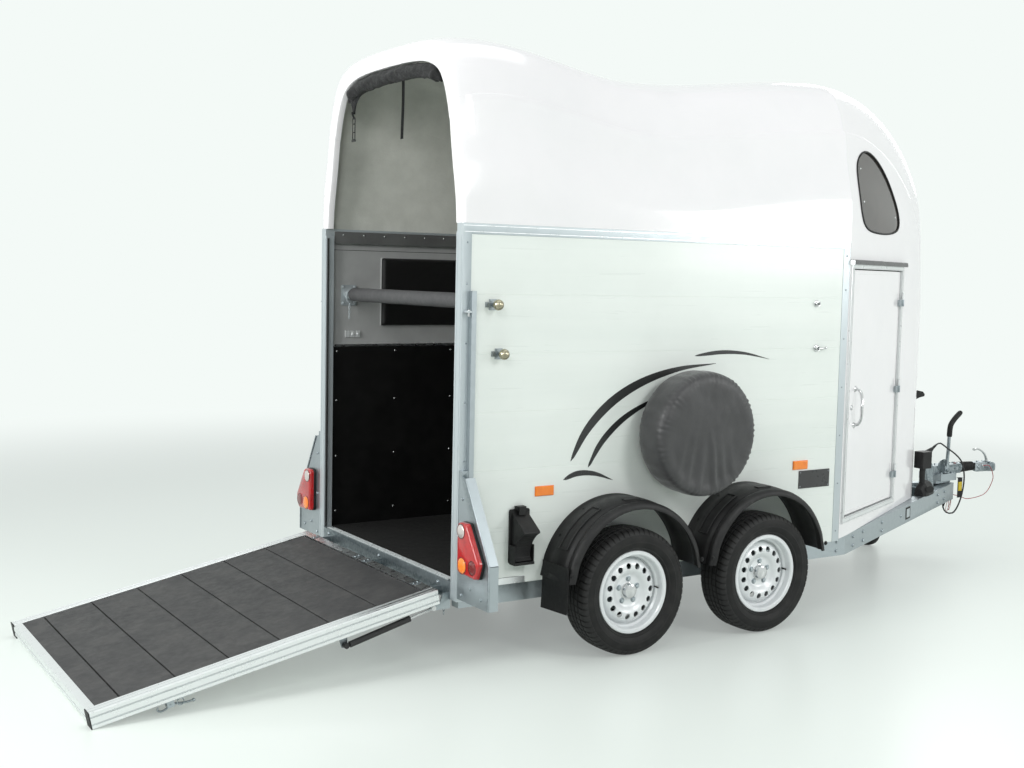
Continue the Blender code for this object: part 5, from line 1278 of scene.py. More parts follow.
def buildRamp():
    low, top, half = -ramp["under"], ramp["face"], ramp["half"]
    tip, root, inner = -ramp["length"], -ramp["root"], ramp["half"] - ramp["railWide"]
    rail = [(inner, low), (half - 0.0015, low), (half, low + 0.0015), (half, low + 0.013),
            (half - 0.0025, low + 0.0145), (half - 0.0025, low + 0.0195), (half, low + 0.021),
            (half, 0.018), (half - 0.0025, 0.0195), (half - 0.0025, 0.0245), (half, 0.026),
            (half, top - 0.0035), (half - 0.0035, top), (half - 0.013, top),
            (half - 0.0145, top - 0.0015), (half - 0.0195, top - 0.0015), (half - 0.021, top),
            (inner + 0.021, top), (inner + 0.0195, top - 0.0015), (inner + 0.0145, top - 0.0015),
            (inner + 0.013, top), (inner + 0.002, top), (inner, top - 0.002)]
    edge = [(tip + 0.0395, top), (tip + 0.013, top), (tip + 0.005, top - 0.0025),
            (tip + 0.0008, top - 0.009), (tip, top - 0.018), (tip, 0.012), (tip + 0.0025, 0.0105),
            (tip + 0.0025, 0.0055), (tip, 0.004), (tip, -0.01), (tip + 0.004, -0.019),
            (tip + 0.012, low + 0.0005), (tip + 0.021, low), (tip + 0.0395, low)]
    shapes = [extruded([(side * y, z) for y, z in rail], tip + 0.0045, root, across)
            for side in (-1.0, 1.0)]
    shapes.append(extruded(edge, -inner + 0.0005, inner - 0.0005, upright))
    shapes.append(block(root - 0.0395, root, -inner + 0.0005, inner - 0.0005, low, top))
    addPiece("rampRails", onRamp(*shapes), "aluminium", "ramp", smooth=28.0,
            replaces=("ramp_frame",))
    caps = [block(tip, tip + 0.0043, side * (inner - 0.002), side * (half + 0.0006), low - 0.0006,
            top + 0.0006) for side in (-1.0, 1.0)]
    addPiece("rampCaps", onRamp(*caps), "rubber", "ramp", bevel=0.0012)

    start = tip + ramp["edge"] + 0.0003
    length = ramp["length"] - ramp["root"] - 2 * ramp["edge"] - 0.0006
    pitch = length / (ramp["boards"] - 1 + ramp["firstBoard"])
    seams = [start] + [start + pitch * (ramp["firstBoard"] + k) for k in range(ramp["boards"])]
    boards = [block(a + ramp["seam"] * 0.5, b - ramp["seam"] * 0.5, -inner + 0.0008,
            inner - 0.0008, 0.014, top - 0.006) for a, b in zip(seams, seams[1:])]
    addPiece("rampBoards", onRamp(*boards), "boardRubber", "ramp", bevel=0.003, segments=3,
            replaces=("ramp_boards",))
    addPiece("rampCore", onRamp(block(start, start + length, -inner + 0.001, inner - 0.001, -0.013,
            0.0136)), "rubber", "ramp", bevel=0.001)
    strips = []
    for k in range(6):
        a = start + length * k / 6
        strips.append(block(a + 0.0006, a + length / 6 - 0.0006, -inner + 0.001, inner - 0.001,
                low + 0.001, -0.0134))
    addPiece("rampSkin", onRamp(*strips), "planks", "ramp", bevel=0.0015)

    lug = ramp["lugY"]
    lugPlaces = (0.04 - lug, -0.052, 0.052, lug - 0.04)
    tubeParts = [rod((0.0, -lug - 0.04, 0.0), (0.0, lug + 0.04, 0.0), ramp["pin"], 28,
            soften=0.001)]
    for y in lugPlaces:
        tubeParts.append(block(root - 0.004, 0.0, y - 0.012, y + 0.012, -0.009, 0.009))
        tubeParts.append(block(root - 0.044, root - 0.0005, y - 0.018, y + 0.018, top + 0.0004,
                top + 0.0034))
    addPiece("rampHinge", onRamp(*tubeParts), "zinc", "ramp", bevel=0.0008)
    heads = [boltHead((root + dx, y, top + 0.0034), (0, 0, 1), 0.0052, domed=True)
            for y in lugPlaces for dx in (-0.012, -0.032)]
    for side in (-1.0, 1.0):
        for k in range(6):
            x = tip + 0.1 + k * 0.275
            heads.append(boltHead((x, side * (half - 0.031), low), (0, 0, -1), 0.0055, domed=True))
    addPiece("rampRivets", onRamp(*heads), "zinc", "ramp", smooth=60.0)

    ex, ey, ez = ramp["strutEye"]
    plate = [(-ex - 0.022, low + 0.002), (-ex + 0.022, low + 0.002), (-ex + 0.014, -ez - 0.01),
            (-ex, -ez - 0.014), (-ex - 0.014, -ez - 0.01)]
    parts = [extruded(plate, -ey + 0.02, -ey + 0.0245, upright),
            boltHead((-ex, -ey + 0.0245, -ez), (0, 1, 0), 0.0085)]
    addPiece("strutPlate", onRamp(*parts), "zinc", "ramp", bevel=0.0006)

    # latch under each side rail, near the tip: plate, lever, hook and its ring
    x0, x1 = ramp["latchX"]
    shapes = []
    for side in (-1.0, 1.0):
        y = side * (half - 0.028)
        shapes.append(block(x0, x1, y - 0.02, y + 0.02, low - 0.004, low - 0.0002))
        shapes.append(block(x0 + 0.02, x0 + 0.05, y - 0.014, y - 0.011, low - 0.03, low - 0.004))
        shapes.append(block(x0 + 0.02, x0 + 0.05, y + 0.011, y + 0.014, low - 0.03, low - 0.004))
        shapes.append(rod((x0 + 0.035, y - 0.018, low - 0.021),
                (x0 + 0.035, y + 0.018, low - 0.021), 0.0045, 14))
        shapes.append(tube(smoothed([(x0 + 0.035, y, low - 0.021), (x0 + 0.06, y, low - 0.026),
                (x0 + 0.098, y + 0.004 * side, low - 0.034), (x0 + 0.125, y + 0.01 * side,
                low - 0.033)], 0.01), 0.0045, 10))
        shapes.append(ball((x0 + 0.127, y + 0.01 * side, low - 0.033), 0.0075, 14))
        shapes.append(tube(smoothed([(x0 + 0.035, y, low - 0.022), (x0 + 0.018, y, low - 0.034),
                (x0 - 0.006, y, low - 0.037), (x0 - 0.018, y, low - 0.028),
                (x0 - 0.012, y, low - 0.018)], 0.006), 0.004, 10))
        ring = [(x0 + 0.075 + 0.014 * cos(a), y + side * 0.012, low - 0.02 + 0.014 * sin(a))
                for a in angles(22)]
        shapes.append(tube(ring, 0.0022, 8, True))
        shapes += [boltHead((x0 + dx, y, low - 0.004), (0, 0, -1), 0.0055) for dx in (0.01, 0.1)]
    addPiece("rampLatches", onRamp(*shapes), "zinc", "ramp")
    finishNode("strut_cylinder", "cable", 0.0012)
    finishNode("strut_rod", "chrome", 0.0008)


buildRamp()


def buildSillDetail():
    finishNode("rear_sill", "zinc", 0.0015)
    shapes = []
    hx, hz = ramp["hinge"]
    for y in (-ramp["lugY"], 0.0, ramp["lugY"]):
        shapes += [rod((hx, y + dy, hz), (hx, y + dy + 0.006, hz), 0.0165, 20)
                for dy in (-0.0125, 0.0065)]
        shapes += [boltHead((0.0, y + 0.026, hz + dz), (-1, 0, 0), 0.007) for dz in (-0.03, 0.03)]
    # a link chain that holds the latch pin hangs by the right end of the sill
    for k in range(5):
        z = 0.298 - 0.0135 * k
        loop = []
        for a in angles(14):
            along, aside = 0.0095 * cos(a), 0.005 * sin(a)
            loop.append((-0.012 + (aside if k % 2 else 0.0), -0.655 + (0.0 if k % 2 else aside),
                    z + along))
        shapes.append(tube(loop, 0.0016, 6, True))
    shapes.append(tube([(-0.012, -0.662, 0.3105), (-0.012, -0.64, 0.3105)], 0.0035, 8))
    shapes.append(block(-0.018, 0.0, -0.668, -0.634, 0.306, 0.3095))
    addPiece("sillHardware", shapes, "zinc")
    tread = [block(0.006, 0.04, -0.66, 0.66, body["floorTop"] + 0.0001, body["floorTop"] + 0.0026)]
    for k in range(5):
        x = 0.009 + 0.007 * k
        tread.append(block(x - 0.001, x + 0.001, -0.655, 0.655, body["floorTop"] + 0.0024,
                body["floorTop"] + 0.004))
    addPiece("sillTread", tread, "aluminium")


buildSillDetail()


print("stage: lamps")
lamp = {
    "outline": ((0.8, 0.46), (0.96, 0.454), (0.988, 0.526), (0.88, 0.688), (0.8, 0.688)),
    "depth": (0.0017, -0.012, -0.036),
    "clear": (0.838, 0.649, 0.03), "orange": (0.851, 0.5, 0.034), "dark": (0.936, 0.506, 0.029),
}


def roundedOutline(points, radius, steps=6):
    made = []
    count = len(points)
    for k in range(count):
        p, here, n = (Vector((*points[(k + d) % count], 0.0)) for d in (-1, 0, 1))
        a, b = (p - here).normalized(), (n - here).normalized()
        half = a.angle(b) / 2
        reach = min(radius / tan(half), (p - here).length * 0.45, (n - here).length * 0.45)
        start, end = here + a * reach, here + b * reach
        for s in range(steps + 1):
            t = s / steps
            made.append(start * (1 - t) ** 2 + here * 2 * t * (1 - t) + end * t ** 2)
    return [(p.x, p.y) for p in made]


def shrunk(points, amount):
    middle = Vector((sum(p[0] for p in points), sum(p[1] for p in points))) / len(points)
    made = []
    for x, y in points:
        away = Vector((x, y)) - middle
        made.append(tuple(middle + away * (1.0 - amount / away.length)))
    return made


def lampLoft(points, levels, side):
    rings = [[(x, side * y, z) for y, z in shrunk(points, inset)] for x, inset in levels]
    return loft(rings)


def buildLamps():
    for side, label in bothSides:
        outline = roundedOutline(lamp["outline"], 0.024)
        base, middle, face = lamp["depth"]
        housing = lampLoft(outline, ((base, 0.0), (middle, 0.0005), (middle - 0.001, 0.002)), side)
        addPiece("lampHousing_" + label, housing, "blackPlastic")
        lens = lampLoft(outline, ((middle - 0.0012, 0.0015), (middle - 0.012, 0.0025),
                (face + 0.005, 0.005), (face + 0.0015, 0.009), (face, 0.015)), side)
        addPiece("lampLens_" + label, lens, "redLens", smooth=50.0,
                replaces=("tail_lamp_" + label,))
        for part, finish, proud in (("clear", "clearLens", 0.0075),
                ("orange", "orangeLens", 0.0085), ("dark", "darkRed", 0.005)):
            y, z, radius = lamp[part]
            profile = [(0.0006, 0.0), (radius, 0.0), (radius, proud * 0.35),
                    (radius * 0.93, proud * 0.65), (radius * 0.7, proud * 0.9),
                    (radius * 0.35, proud * 0.99), (0.0006, proud)]
            seat = alongAxis((face + 0.0015, side * y, z), (-1.0, 0.0, 0.0))
            addPiece(f"lampRound_{part}_{label}", turnedShape(profile, 40, seat), finish,
                    smooth=50.0)
            ring = [(radius + 0.0001, 0.0), (radius + 0.0035, 0.0), (radius + 0.003, 0.0035),
                    (radius + 0.0001, 0.0035)]
            addPiece(f"lampRing_{part}_{label}", turnedShape(ring, 40, seat, True), "darkRed",
                    smooth=50.0)
        finishNode("lamp_wing_" + label, "zinc", 0.0015)
        heads = [boltHead((0.002, side * y, z), (-1, 0, 0), 0.0062)
                for y, z in ((0.783, 0.35), (0.783, 0.56), (0.783, 0.78), (0.86, 0.395),
                (0.95, 0.365))]
        # folded rear edge along the slope and down the outer side
        slope = [(0.0015, side * 0.8065, 0.872), (0.0015, side * 1.0125, 0.52),
                (0.0015, side * 1.0125, 0.328)]
        fold = swept([(x, y, z) for x, y, z in slope], [(-0.0035, -0.0045), (0.0035, -0.0045),
                (0.0035, 0.0045), (-0.0035, 0.0045)], up=(0.0, 1.0, 0.0))
        addPiece("wingBolts_" + label, heads, "zinc")
        addPiece("wingFold_" + label, fold, "zinc", bevel=0.001)
        # lamp cable behind the panel, from the lamp to the body
        wire = smoothed([(0.011, side * 0.93, 0.6), (0.035, side * 0.945, 0.606),
                (0.058, side * 0.93, 0.57), (0.062, side * 0.89, 0.52), (0.056, side * 0.85, 0.48),
                (0.05, side * 0.8, 0.455), (0.052, side * 0.776, 0.445)], 0.012)
        addPiece("lampWire_" + label, tube(wire, 0.0042, 10), "cable", smooth=60.0)


buildLamps()


print("stage: chock")
chock = {"x": (0.2739, 0.3639), "holder": (0.2659, 0.3719), "low": 0.456, "wall": 0.7453}


def buildChock():
    low = chock["low"]
    foot = low + 0.018
    face = chock["wall"] + 0.0123
    outline = [(0.0, foot), (0.0, foot + 0.216), (0.1, foot + 0.1485), (0.1045, foot + 0.144),
            (0.1055, foot + 0.138)]
    for k in range(15):
        angle = radians(114.0 + 66.0 * k / 14)
        outline.append((0.16 + 0.1325 * cos(angle), foot + 0.015 + 0.1325 * sin(angle)))
    outline.append((0.042, foot))
    x0, x1 = chock["x"]
    points = [(-(face + out), z) for out, z in outline]
    addPiece("chockBody", extruded(points, x0 + 0.002, x1 - 0.002, across), "blackPlastic",
            bevel=0.0025, segments=3, replaces=("wheel_chock",))
    ribs = []
    for k in range(9):
        angle = radians(122.0 + 6.2 * k)
        y = 0.16 + 0.1335 * cos(angle)
        z = foot + 0.015 + 0.1335 * sin(angle)
        ribs.append(block(x0 + 0.006, x1 - 0.006, -(face + y) - 0.0022, -(face + y) + 0.0022,
                z - 0.0022, z + 0.0022))
    addPiece("chockRibs", ribs, "rubber", bevel=0.0008)
    hx0, hx1 = chock["holder"]
    wall = -chock["wall"]
    plate = roundedOutline(((hx0, low), (hx1, low), (hx1, low + 0.25), (hx0, low + 0.25)), 0.012)
    shapes = [extruded(plate, wall - 0.012, wall - 0.0002, upright),
            block(hx0, hx1, wall - 0.06, wall - 0.0115, low, low + 0.013),
            block(hx0, hx0 + 0.0055, wall - 0.056, wall - 0.0115, low + 0.012, low + 0.09),
            block(hx1 - 0.0055, hx1, wall - 0.056, wall - 0.0115, low + 0.012, low + 0.09),
            block(hx0 + 0.03, hx1 - 0.03, wall - 0.03, wall - 0.0004, low + 0.245, low + 0.264),
            block(hx0 + 0.034, hx1 - 0.034, wall - 0.036, wall - 0.03, low + 0.225, low + 0.264)]
    addPiece("chockHolder", shapes, "blackPlastic", bevel=0.0012,
            replaces=("chock_holder",))


buildChock()


print("stage: spare wheel")
spare = {
    "x": body["length"] / 2 + 0.0575, "z": 1.022, "near": 0.775,
    "wheelY": 0.876, "cloth": 0.0016, "area": 0.68, "flat": (1.0, 1.0),
}


def buildSpare():
    seat = alongAxis((spare["x"], -spare["wheelY"], spare["z"]), (0.0, -1.0, 0.0))
    half = [(0.1783, 0.0656), (0.197, 0.0656), (0.207, 0.079), (0.23, 0.086), (0.25, 0.088),
            (0.27, 0.085), (0.284, 0.074), (0.291, 0.055)]
    tyreRows = half + [(r, -h) for r, h in reversed(half)]
    addPiece("spareTyre", turnedShape(tyreRows, 72, seat, True), "tyre", smooth=50.0)
    rimRows = [(0.062, 0.0262), (0.088, 0.0395), (0.113, 0.0485), (0.139, 0.0395), (0.156, 0.013),
            (0.172, 0.045), (0.1745, 0.066), (0.1775, 0.07), (0.1775, -0.07), (0.174, -0.066),
            (0.172, -0.043), (0.1545, -0.022), (0.1545, 0.006), (0.137, 0.0335), (0.113, 0.0425),
            (0.089, 0.0335), (0.062, 0.0208)]
    addPiece("spareRim", turnedShape(rimRows, 72, seat, True), "rim", smooth=40.0)
    hubRows = [(0.0006, 0.02), (0.0615, 0.02), (0.0615, -0.02), (0.055, -0.094), (0.0006, -0.094)]
    addPiece("spareMount", turnedShape(hubRows, 32, seat), "zinc", bevel=0.001)
    finishNode("spare_carrier", "zinc", 0.001)

    # radius and distance out from the near edge, hem at the back first
    rows = [(0.25, 0.0035), (0.259, 0.001), (0.27, 0.003), (0.281, 0.01), (0.29, 0.023),
            (0.296, 0.042), (0.299, 0.064), (0.3005, 0.086), (0.301, 0.108), (0.3008, 0.128),
            (0.3002, 0.148), (0.2988, 0.164), (0.295, 0.177), (0.288, 0.188), (0.278, 0.196),
            (0.264, 0.201), (0.248, 0.2035)]
    rows += [(0.23 - 0.0145 * k, 0.2045 + 0.00012 * k) for k in range(15)] + [(0.012, 0.2064),
            (0.0004, 0.2064)]
    turns = 210
    seedShift = Vector((3.7, 1.9, 8.2))

    def lifted(radius, depth, angle):
        # vertical folds on the face, small gathers round the seam, slack down the side
        aside, up = radius * cos(angle), radius * sin(angle)
        rough = noise.noise(Vector((aside * 9.0, up * 6.0, 1.3)) + seedShift)
        fine = noise.noise(Vector((aside * 26.0, up * 18.0, 4.1)) + seedShift)
        push, spread = 0.0, 0.0
        if radius < 0.28 and depth > 0.17:
            fall = min(1.0, max(0.0, (0.1 - up) / 0.3))
            for place, width, deep, lean in ((-0.11, 0.018, 0.008, 0.16),
                    (-0.045, 0.022, 0.01, 0.1), (0.02, 0.019, 0.012, -0.16),
                    (0.072, 0.022, 0.009, -0.22), (0.13, 0.02, 0.006, -0.3),
                    (-0.175, 0.016, 0.006, 0.25)):
                off = (aside - place - lean * (up + 0.1) - 0.008 * rough) / width
                push += fall * deep * (hump(off) - 0.3)
            calm = min(1.0, (0.28 - radius) / 0.05)
            push = push * calm + 0.0034 * rough * calm + 0.0016 * fine * min(1.0, radius / 0.03)
        seam = hump((depth - 0.184) / 0.018)
        if depth > 0.19:
            seam *= min(1.0, max(0.0, (radius - 0.215) / 0.05))
        gather = sin(angle * 66.0 + 3.0 * rough) * (0.55 + 0.45 * sin(angle * 13.0 + 1.0))
        spread += 0.0036 * seam * gather
        push += 0.0022 * seam * gather
        if depth < 0.17:
            slack = sin(pi * min(1.0, depth / 0.17))
            spread += slack * (0.003 * rough + 0.0016 * sin(angle * 23.0 + 4.0 * rough) + 0.0012
                    * fine)
        if radius < 0.3 and depth < 0.02:
            spread += 0.0028 * sin(angle * 48.0 + 2.0 * rough)
            push += 0.0018 * sin(angle * 48.0 + 2.0 * rough)
        return radius + spread, depth + push

    skin = spare["cloth"]
    rings = []
    for layer in (0.0, skin):
        for radius, depth in (reversed(rows) if layer else rows):
            ring = []
            for k in range(turns):
                angle = 2 * pi * k / turns
                r, d = lifted(radius, depth, angle)
                if layer:
                    flat = min(1.0, max(0.0, (depth - 0.168) / 0.03))
                    r -= skin * (1.0 - flat) if radius > 0.25 else 0.0
                    d -= skin * flat if depth > 0.1 else -skin
                ring.append((spare["x"] + r * cos(angle), -(spare["near"] + d),
                        spare["z"] + r * sin(angle)))
            rings.append(ring)
    cover = loft(rings, True, False, False, True)
    piece = addPiece("spareCover", cover, "vinyl", smooth=80.0,
            replaces=("spare_cover",))
    hem = []
    for k in range(180):
        angle = 2 * pi * k / 180
        r = 0.25 + 0.0022 * sin(angle * 48.0)
        hem.append((spare["x"] + r * cos(angle), -(spare["near"] + 0.004),
                spare["z"] + r * sin(angle)))
    addPiece("spareHem", tube(hem, 0.0042, 8, True), "vinyl", smooth=60.0)


buildSpare()


print("stage: chassis")
beam = {"high": 0.11, "railY": 0.655, "bendX": 2.5, "frontX": 4.17, "frontY": 0.036}
coupling = {"z": 0.542, "rear": 4.0, "bellows": 4.298, "head": 4.44, "tip": 4.664}


def onBeam(t, out, rise, side=-1.0):
    # t runs from the bend to the front of a drawbar beam, out stands off its middle line
    dx, dy = beam["frontX"] - beam["bendX"], beam["railY"] - beam["frontY"]
    length = hypot(dx, dy)
    x = beam["bendX"] + dx * t + out * dy / length
    y = beam["railY"] - dy * t + out * dx / length
    return Vector((x, side * y, body["chassisTop"] + shell["bend"][2] * t - rise))


def buildChassis():
    finishNode("chassis_frame", "zinc", 0.0025)
    for name in ("axle_front", "axle_rear"):
        finishNode(name, "zinc", 0.002)
    bolts = []
    for side in (-1.0, 1.0):
        for t in (0.06, 0.14, 0.3, 0.83, 0.9):
            for rise in (0.03, 0.08):
                here = onBeam(t, 0.03, rise, side)
                bolts.append(boltHead(here, here - onBeam(t, 0.0, rise, side), 0.008))
        bolts += [boltHead((x, side * 0.685, z), (0, side, 0), 0.0075)
                for x in (0.1, 0.56, 1.26, 1.98, 2.44) for z in (0.29, 0.34)]
        bolts += [boltHead((x + dx, side * 0.64, 0.2617), (0, 0, -1), 0.0085)
                for x in (wheel["rearX"] + 0.165, wheel["rearX"] + wheel["spacing"] + 0.165)
                for dx in (-0.055, 0.055)]
    here = onBeam(0.47, 0.03, 0.05)
    bolts.append(boltHead(here, here - onBeam(0.47, 0.0, 0.05), 0.011, domed=True))
    addPiece("chassisBolts", bolts, "zinc")
    # reflectors on the drawbar: pale square in a dark frame
    for side, label in bothSides:
        for name, size, low, high, finish in (("reflectorFrame_", 0.037, 0.0003, 0.0016, "rubber"),
                ("reflector_", 0.026, 0.0012, 0.0026, "postAlu")):
            middle = onBeam(0.535, 0.03, 0.052, side)
            toFront = (onBeam(0.6, 0.03, 0.052, side) - middle).normalized()
            outward = (middle - onBeam(0.535, 0.0, 0.052, side)).normalized()
            over = toFront.cross(outward)
            seat = Matrix((toFront, over, outward)).transposed().to_4x4()
            addPiece(name + label, block(-size, size, -size, size, low, high,
                    Matrix.Translation(middle) @ seat), finish, bevel=0.0004)


buildChassis()


print("stage: coupling")


def buildCoupling():
    z = coupling["z"]
    finishNode("overrun_housing", "zinc", 0.003, segments=3)
    finishNode("handbrake_lever", "zinc", 0.001, 60.0)
    ribs, rows = 7, [(0.0006, 0.0)]
    span = coupling["head"] - coupling["bellows"] - 0.0006
    for k in range(ribs):
        base, step = span * k / ribs, span / ribs
        big = 0.0355 - 0.0008 * k
        rows += [(0.0245, base), (0.0262, base + step * 0.1), (big - 0.0015, base + step * 0.34),
                (big, base + step * 0.46), (big, base + step * 0.56),
                (big - 0.0015, base + step * 0.68), (0.0262, base + step * 0.92)]
    rows += [(0.0245, span), (0.0006, span)]
    addPiece("bellowsSkin", turnedShape(rows, 56, alongAxis((coupling["bellows"] + 0.0003, 0.0, z),
            (1, 0, 0))), "rubber", smooth=60.0, replaces=("bellows",))
    x, tip = coupling["head"], coupling["tip"]
    ballX = tip - 0.036
    head = [block(x + 0.0003, x + 0.1, -0.0275, 0.0275, z - 0.03, z + 0.0235)]
    rings = []
    for at, half, low, high in ((x + 0.04, 0.0315, -0.042, 0.012), (x + 0.09, 0.03, -0.043, 0.016),
            (x + 0.13, 0.031, -0.044, 0.018), (ballX - 0.018, 0.0345, -0.047, 0.019),
            (ballX, 0.036, -0.05, 0.018), (ballX + 0.018, 0.0315, -0.049, 0.014),
            (ballX + 0.03, 0.02, -0.046, 0.006), (tip - 0.001, 0.008, -0.042, -0.004)):
        ring = []
        for k in range(20):
            a = 2 * pi * k / 20
            c, s = cos(a), sin(a)
            y = half * (abs(c) ** 0.6) * (1 if c > 0 else -1)
            rise = (high + low) / 2 + (high - low) / 2 * (abs(s) ** 0.6) * (1 if s > 0 else -1)
            ring.append((at, y, z + rise))
        rings.append(ring)
    head.append(loft(rings))
    mesh = meshFrom("couplingHead", joined(*head))
    mesh = carve(mesh, rod((ballX, 0.0, z - 0.062), (ballX, 0.0, z - 0.01), 0.0255, 36))
    mesh.materials.append(paints["zinc"])
    pieceFromMesh("couplingHead", mesh, "zinc", smooth=45.0,
            replaces=("coupling_head",))
    grip = smoothed([(x + 0.15, 0.0, z + 0.014), (x + 0.143, 0.0, z + 0.044),
            (x + 0.122, 0.0, z + 0.074), (x + 0.088, 0.0, z + 0.098), (x + 0.048, 0.0, z + 0.112),
            (x + 0.012, 0.0, z + 0.11)], 0.006)
    flat = [(0.013 * cos(a), 0.0085 * sin(a)) for a in angles(16)]
    addPiece("couplingHandle", swept(grip, flat, grow=lambda t: 1.0 - 0.25 * sin(pi * t)),
            "chrome", smooth=60.0)
    bits = [rod((x + 0.148, -0.034, z + 0.02), (x + 0.148, 0.034, z + 0.02), 0.0065, 18),
            *(boltHead((x + dx, side * 0.0275, z - 0.004), (0, side, 0), 0.0085)
            for side in (-1.0, 1.0) for dx in (0.03, 0.075)),
            boltHead((x + 0.052, 0.0, z + 0.0235), (0, 0, 1), 0.009)]
    addPiece("headBolts", bits, "zinc")
    rear = coupling["rear"]
    bits = [boltHead((rear + dx, y, z - 0.02), (0, 0, 1), 0.0095) for dx in (0.045, 0.145)
            for y in (-0.07, 0.07)]
    for dx in (0.06, 0.14, 0.21):
        for side in (-1.0, 1.0):
            if dx > 0.1 or side > 0:
                bits.append(boltHead((rear + dx, side * 0.045, z + 0.004), (0, side, 0), 0.008))
    bits += [rod((rear + dx, 0.0, z + 0.029), (rear + dx, 0.0, z + 0.041), 0.0055, 14, 0.0035,
            0.001) for dx in (0.18, 0.06)]
    bits.append(rod((rear + 0.258 - 0.006, 0.0, z), (rear + 0.258 + 0.012, 0.0, z), 0.0395, 32,
            soften=0.002))
    bits += [block(rear + 0.012, rear + 0.242, y, y + 0.0017, z - 0.009, z + 0.013)
            for y in (-0.0465, 0.0448)]
    addPiece("housingDetail", bits, "zinc", bevel=0.0008)
    caps = [rod((rear + dx, -0.02, z + 0.0295), (rear + dx, -0.02, z + top), radius, 16,
            soften=0.001) for dx, top, radius in ((0.12, 0.04, 0.0075), (0.236, 0.039, 0.0085))]
    addPiece("housingCaps", caps, "darkRed")
    # bare yellow tag on a dark strap, hung below the front of the housing
    tagX = 4.208
    addPiece("tagStrap", joined(block(tagX - 0.022, tagX + 0.022, -0.0935, -0.0905, z - 0.185,
            z - 0.052), block(tagX - 0.022, tagX + 0.012, -0.0935, -0.08, z - 0.055, z - 0.052)),
            "rubber", bevel=0.0008)
    addPiece("tag", block(tagX - 0.017, tagX + 0.017, -0.095, -0.0934, z - 0.14, z - 0.08),
            "yellow", bevel=0.0007)
    # lever: pivot, toothed quadrant and black grip
    foot = 4.09
    teeth = [(foot + 0.06 * cos(radians(a)), z + 0.012 + 0.06 * sin(radians(a)))
            for a in range(-10, 171, 12)]
    outline = [(foot - 0.03, z - 0.012)] + teeth[::-1] + [(foot + 0.03, z - 0.012)]
    quadrant = extruded(outline, -0.049, -0.0455, upright)
    parts = [quadrant, boltHead((foot, -0.078, z + 0.004), (0, -1, 0), 0.0125),
            rod((foot + 0.026, -0.05, z + 0.05), (foot + 0.026, -0.074, z + 0.05), 0.005, 12)]
    addPiece("leverPivot", parts, "zinc", bevel=0.0005)
    line = smoothed([(4.1035, -0.072, 0.765), (4.106, -0.072, 0.815), (4.116, -0.072, 0.848),
            (4.15, -0.072, 0.883), (4.199, -0.072, 0.919)], 0.008)
    grip = tube(line, 0.0172, 20, grow=lambda t: 1.0 if 0.03 < t < 0.97 else 0.9)
    addPiece("leverGrip", grip, "rubber", bevel=0.0015, smooth=50.0)
    addPiece("leverEnd", ball((4.199, -0.072, 0.919), 0.016, 20), "rubber", smooth=60.0)


buildCoupling()


print("stage: cords")
cords = {
    "plugStart": Vector((3.8, -0.113, coupling["z"] + 0.106)),
    "plugAxis": Vector((0.854, 0.0, 0.52)).normalized(),
    "plugLength": 0.125,
    "gland": (4.08, -0.069),
    "radius": 0.005, "thin": 0.0025,
    "bends": ((-0.202, -0.113, 0.192), (-0.142, -0.116, 0.16), (-0.051, -0.118, 0.11),
              (0.012, -0.12, 0.053), (0.042, -0.12, -0.042), (0.029, -0.12, -0.151),
              (-0.005, -0.116, -0.237), (-0.04, -0.106, -0.28), (-0.076, -0.082, -0.276)),
    "thinBends": ((0.39, -0.05, -0.004), (0.424, -0.05, -0.049), (0.428, -0.05, -0.105),
                  (0.352, -0.05, -0.189), (0.189, -0.045, -0.212), (0.11, -0.038, -0.19)),
}


def cordCurve(name, points, radius, paint, replaced):
    data = bpy.data.curves.new(name, "CURVE")
    data.dimensions = "3D"
    data.bevel_depth = radius
    data.bevel_resolution = 4
    data.use_fill_caps = True
    spline = data.splines.new("POLY")
    spline.points.add(len(points) - 1)
    for point, here in zip(spline.points, points):
        point.co = (here.x + datumX, here.y, here.z, 1.0)
    data.materials.append(paints[paint])
    made = bpy.data.objects.new(name, data)
    bpy.context.scene.collection.objects.link(made)
    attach(made, "trailer")
    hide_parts(replaced)
    return made


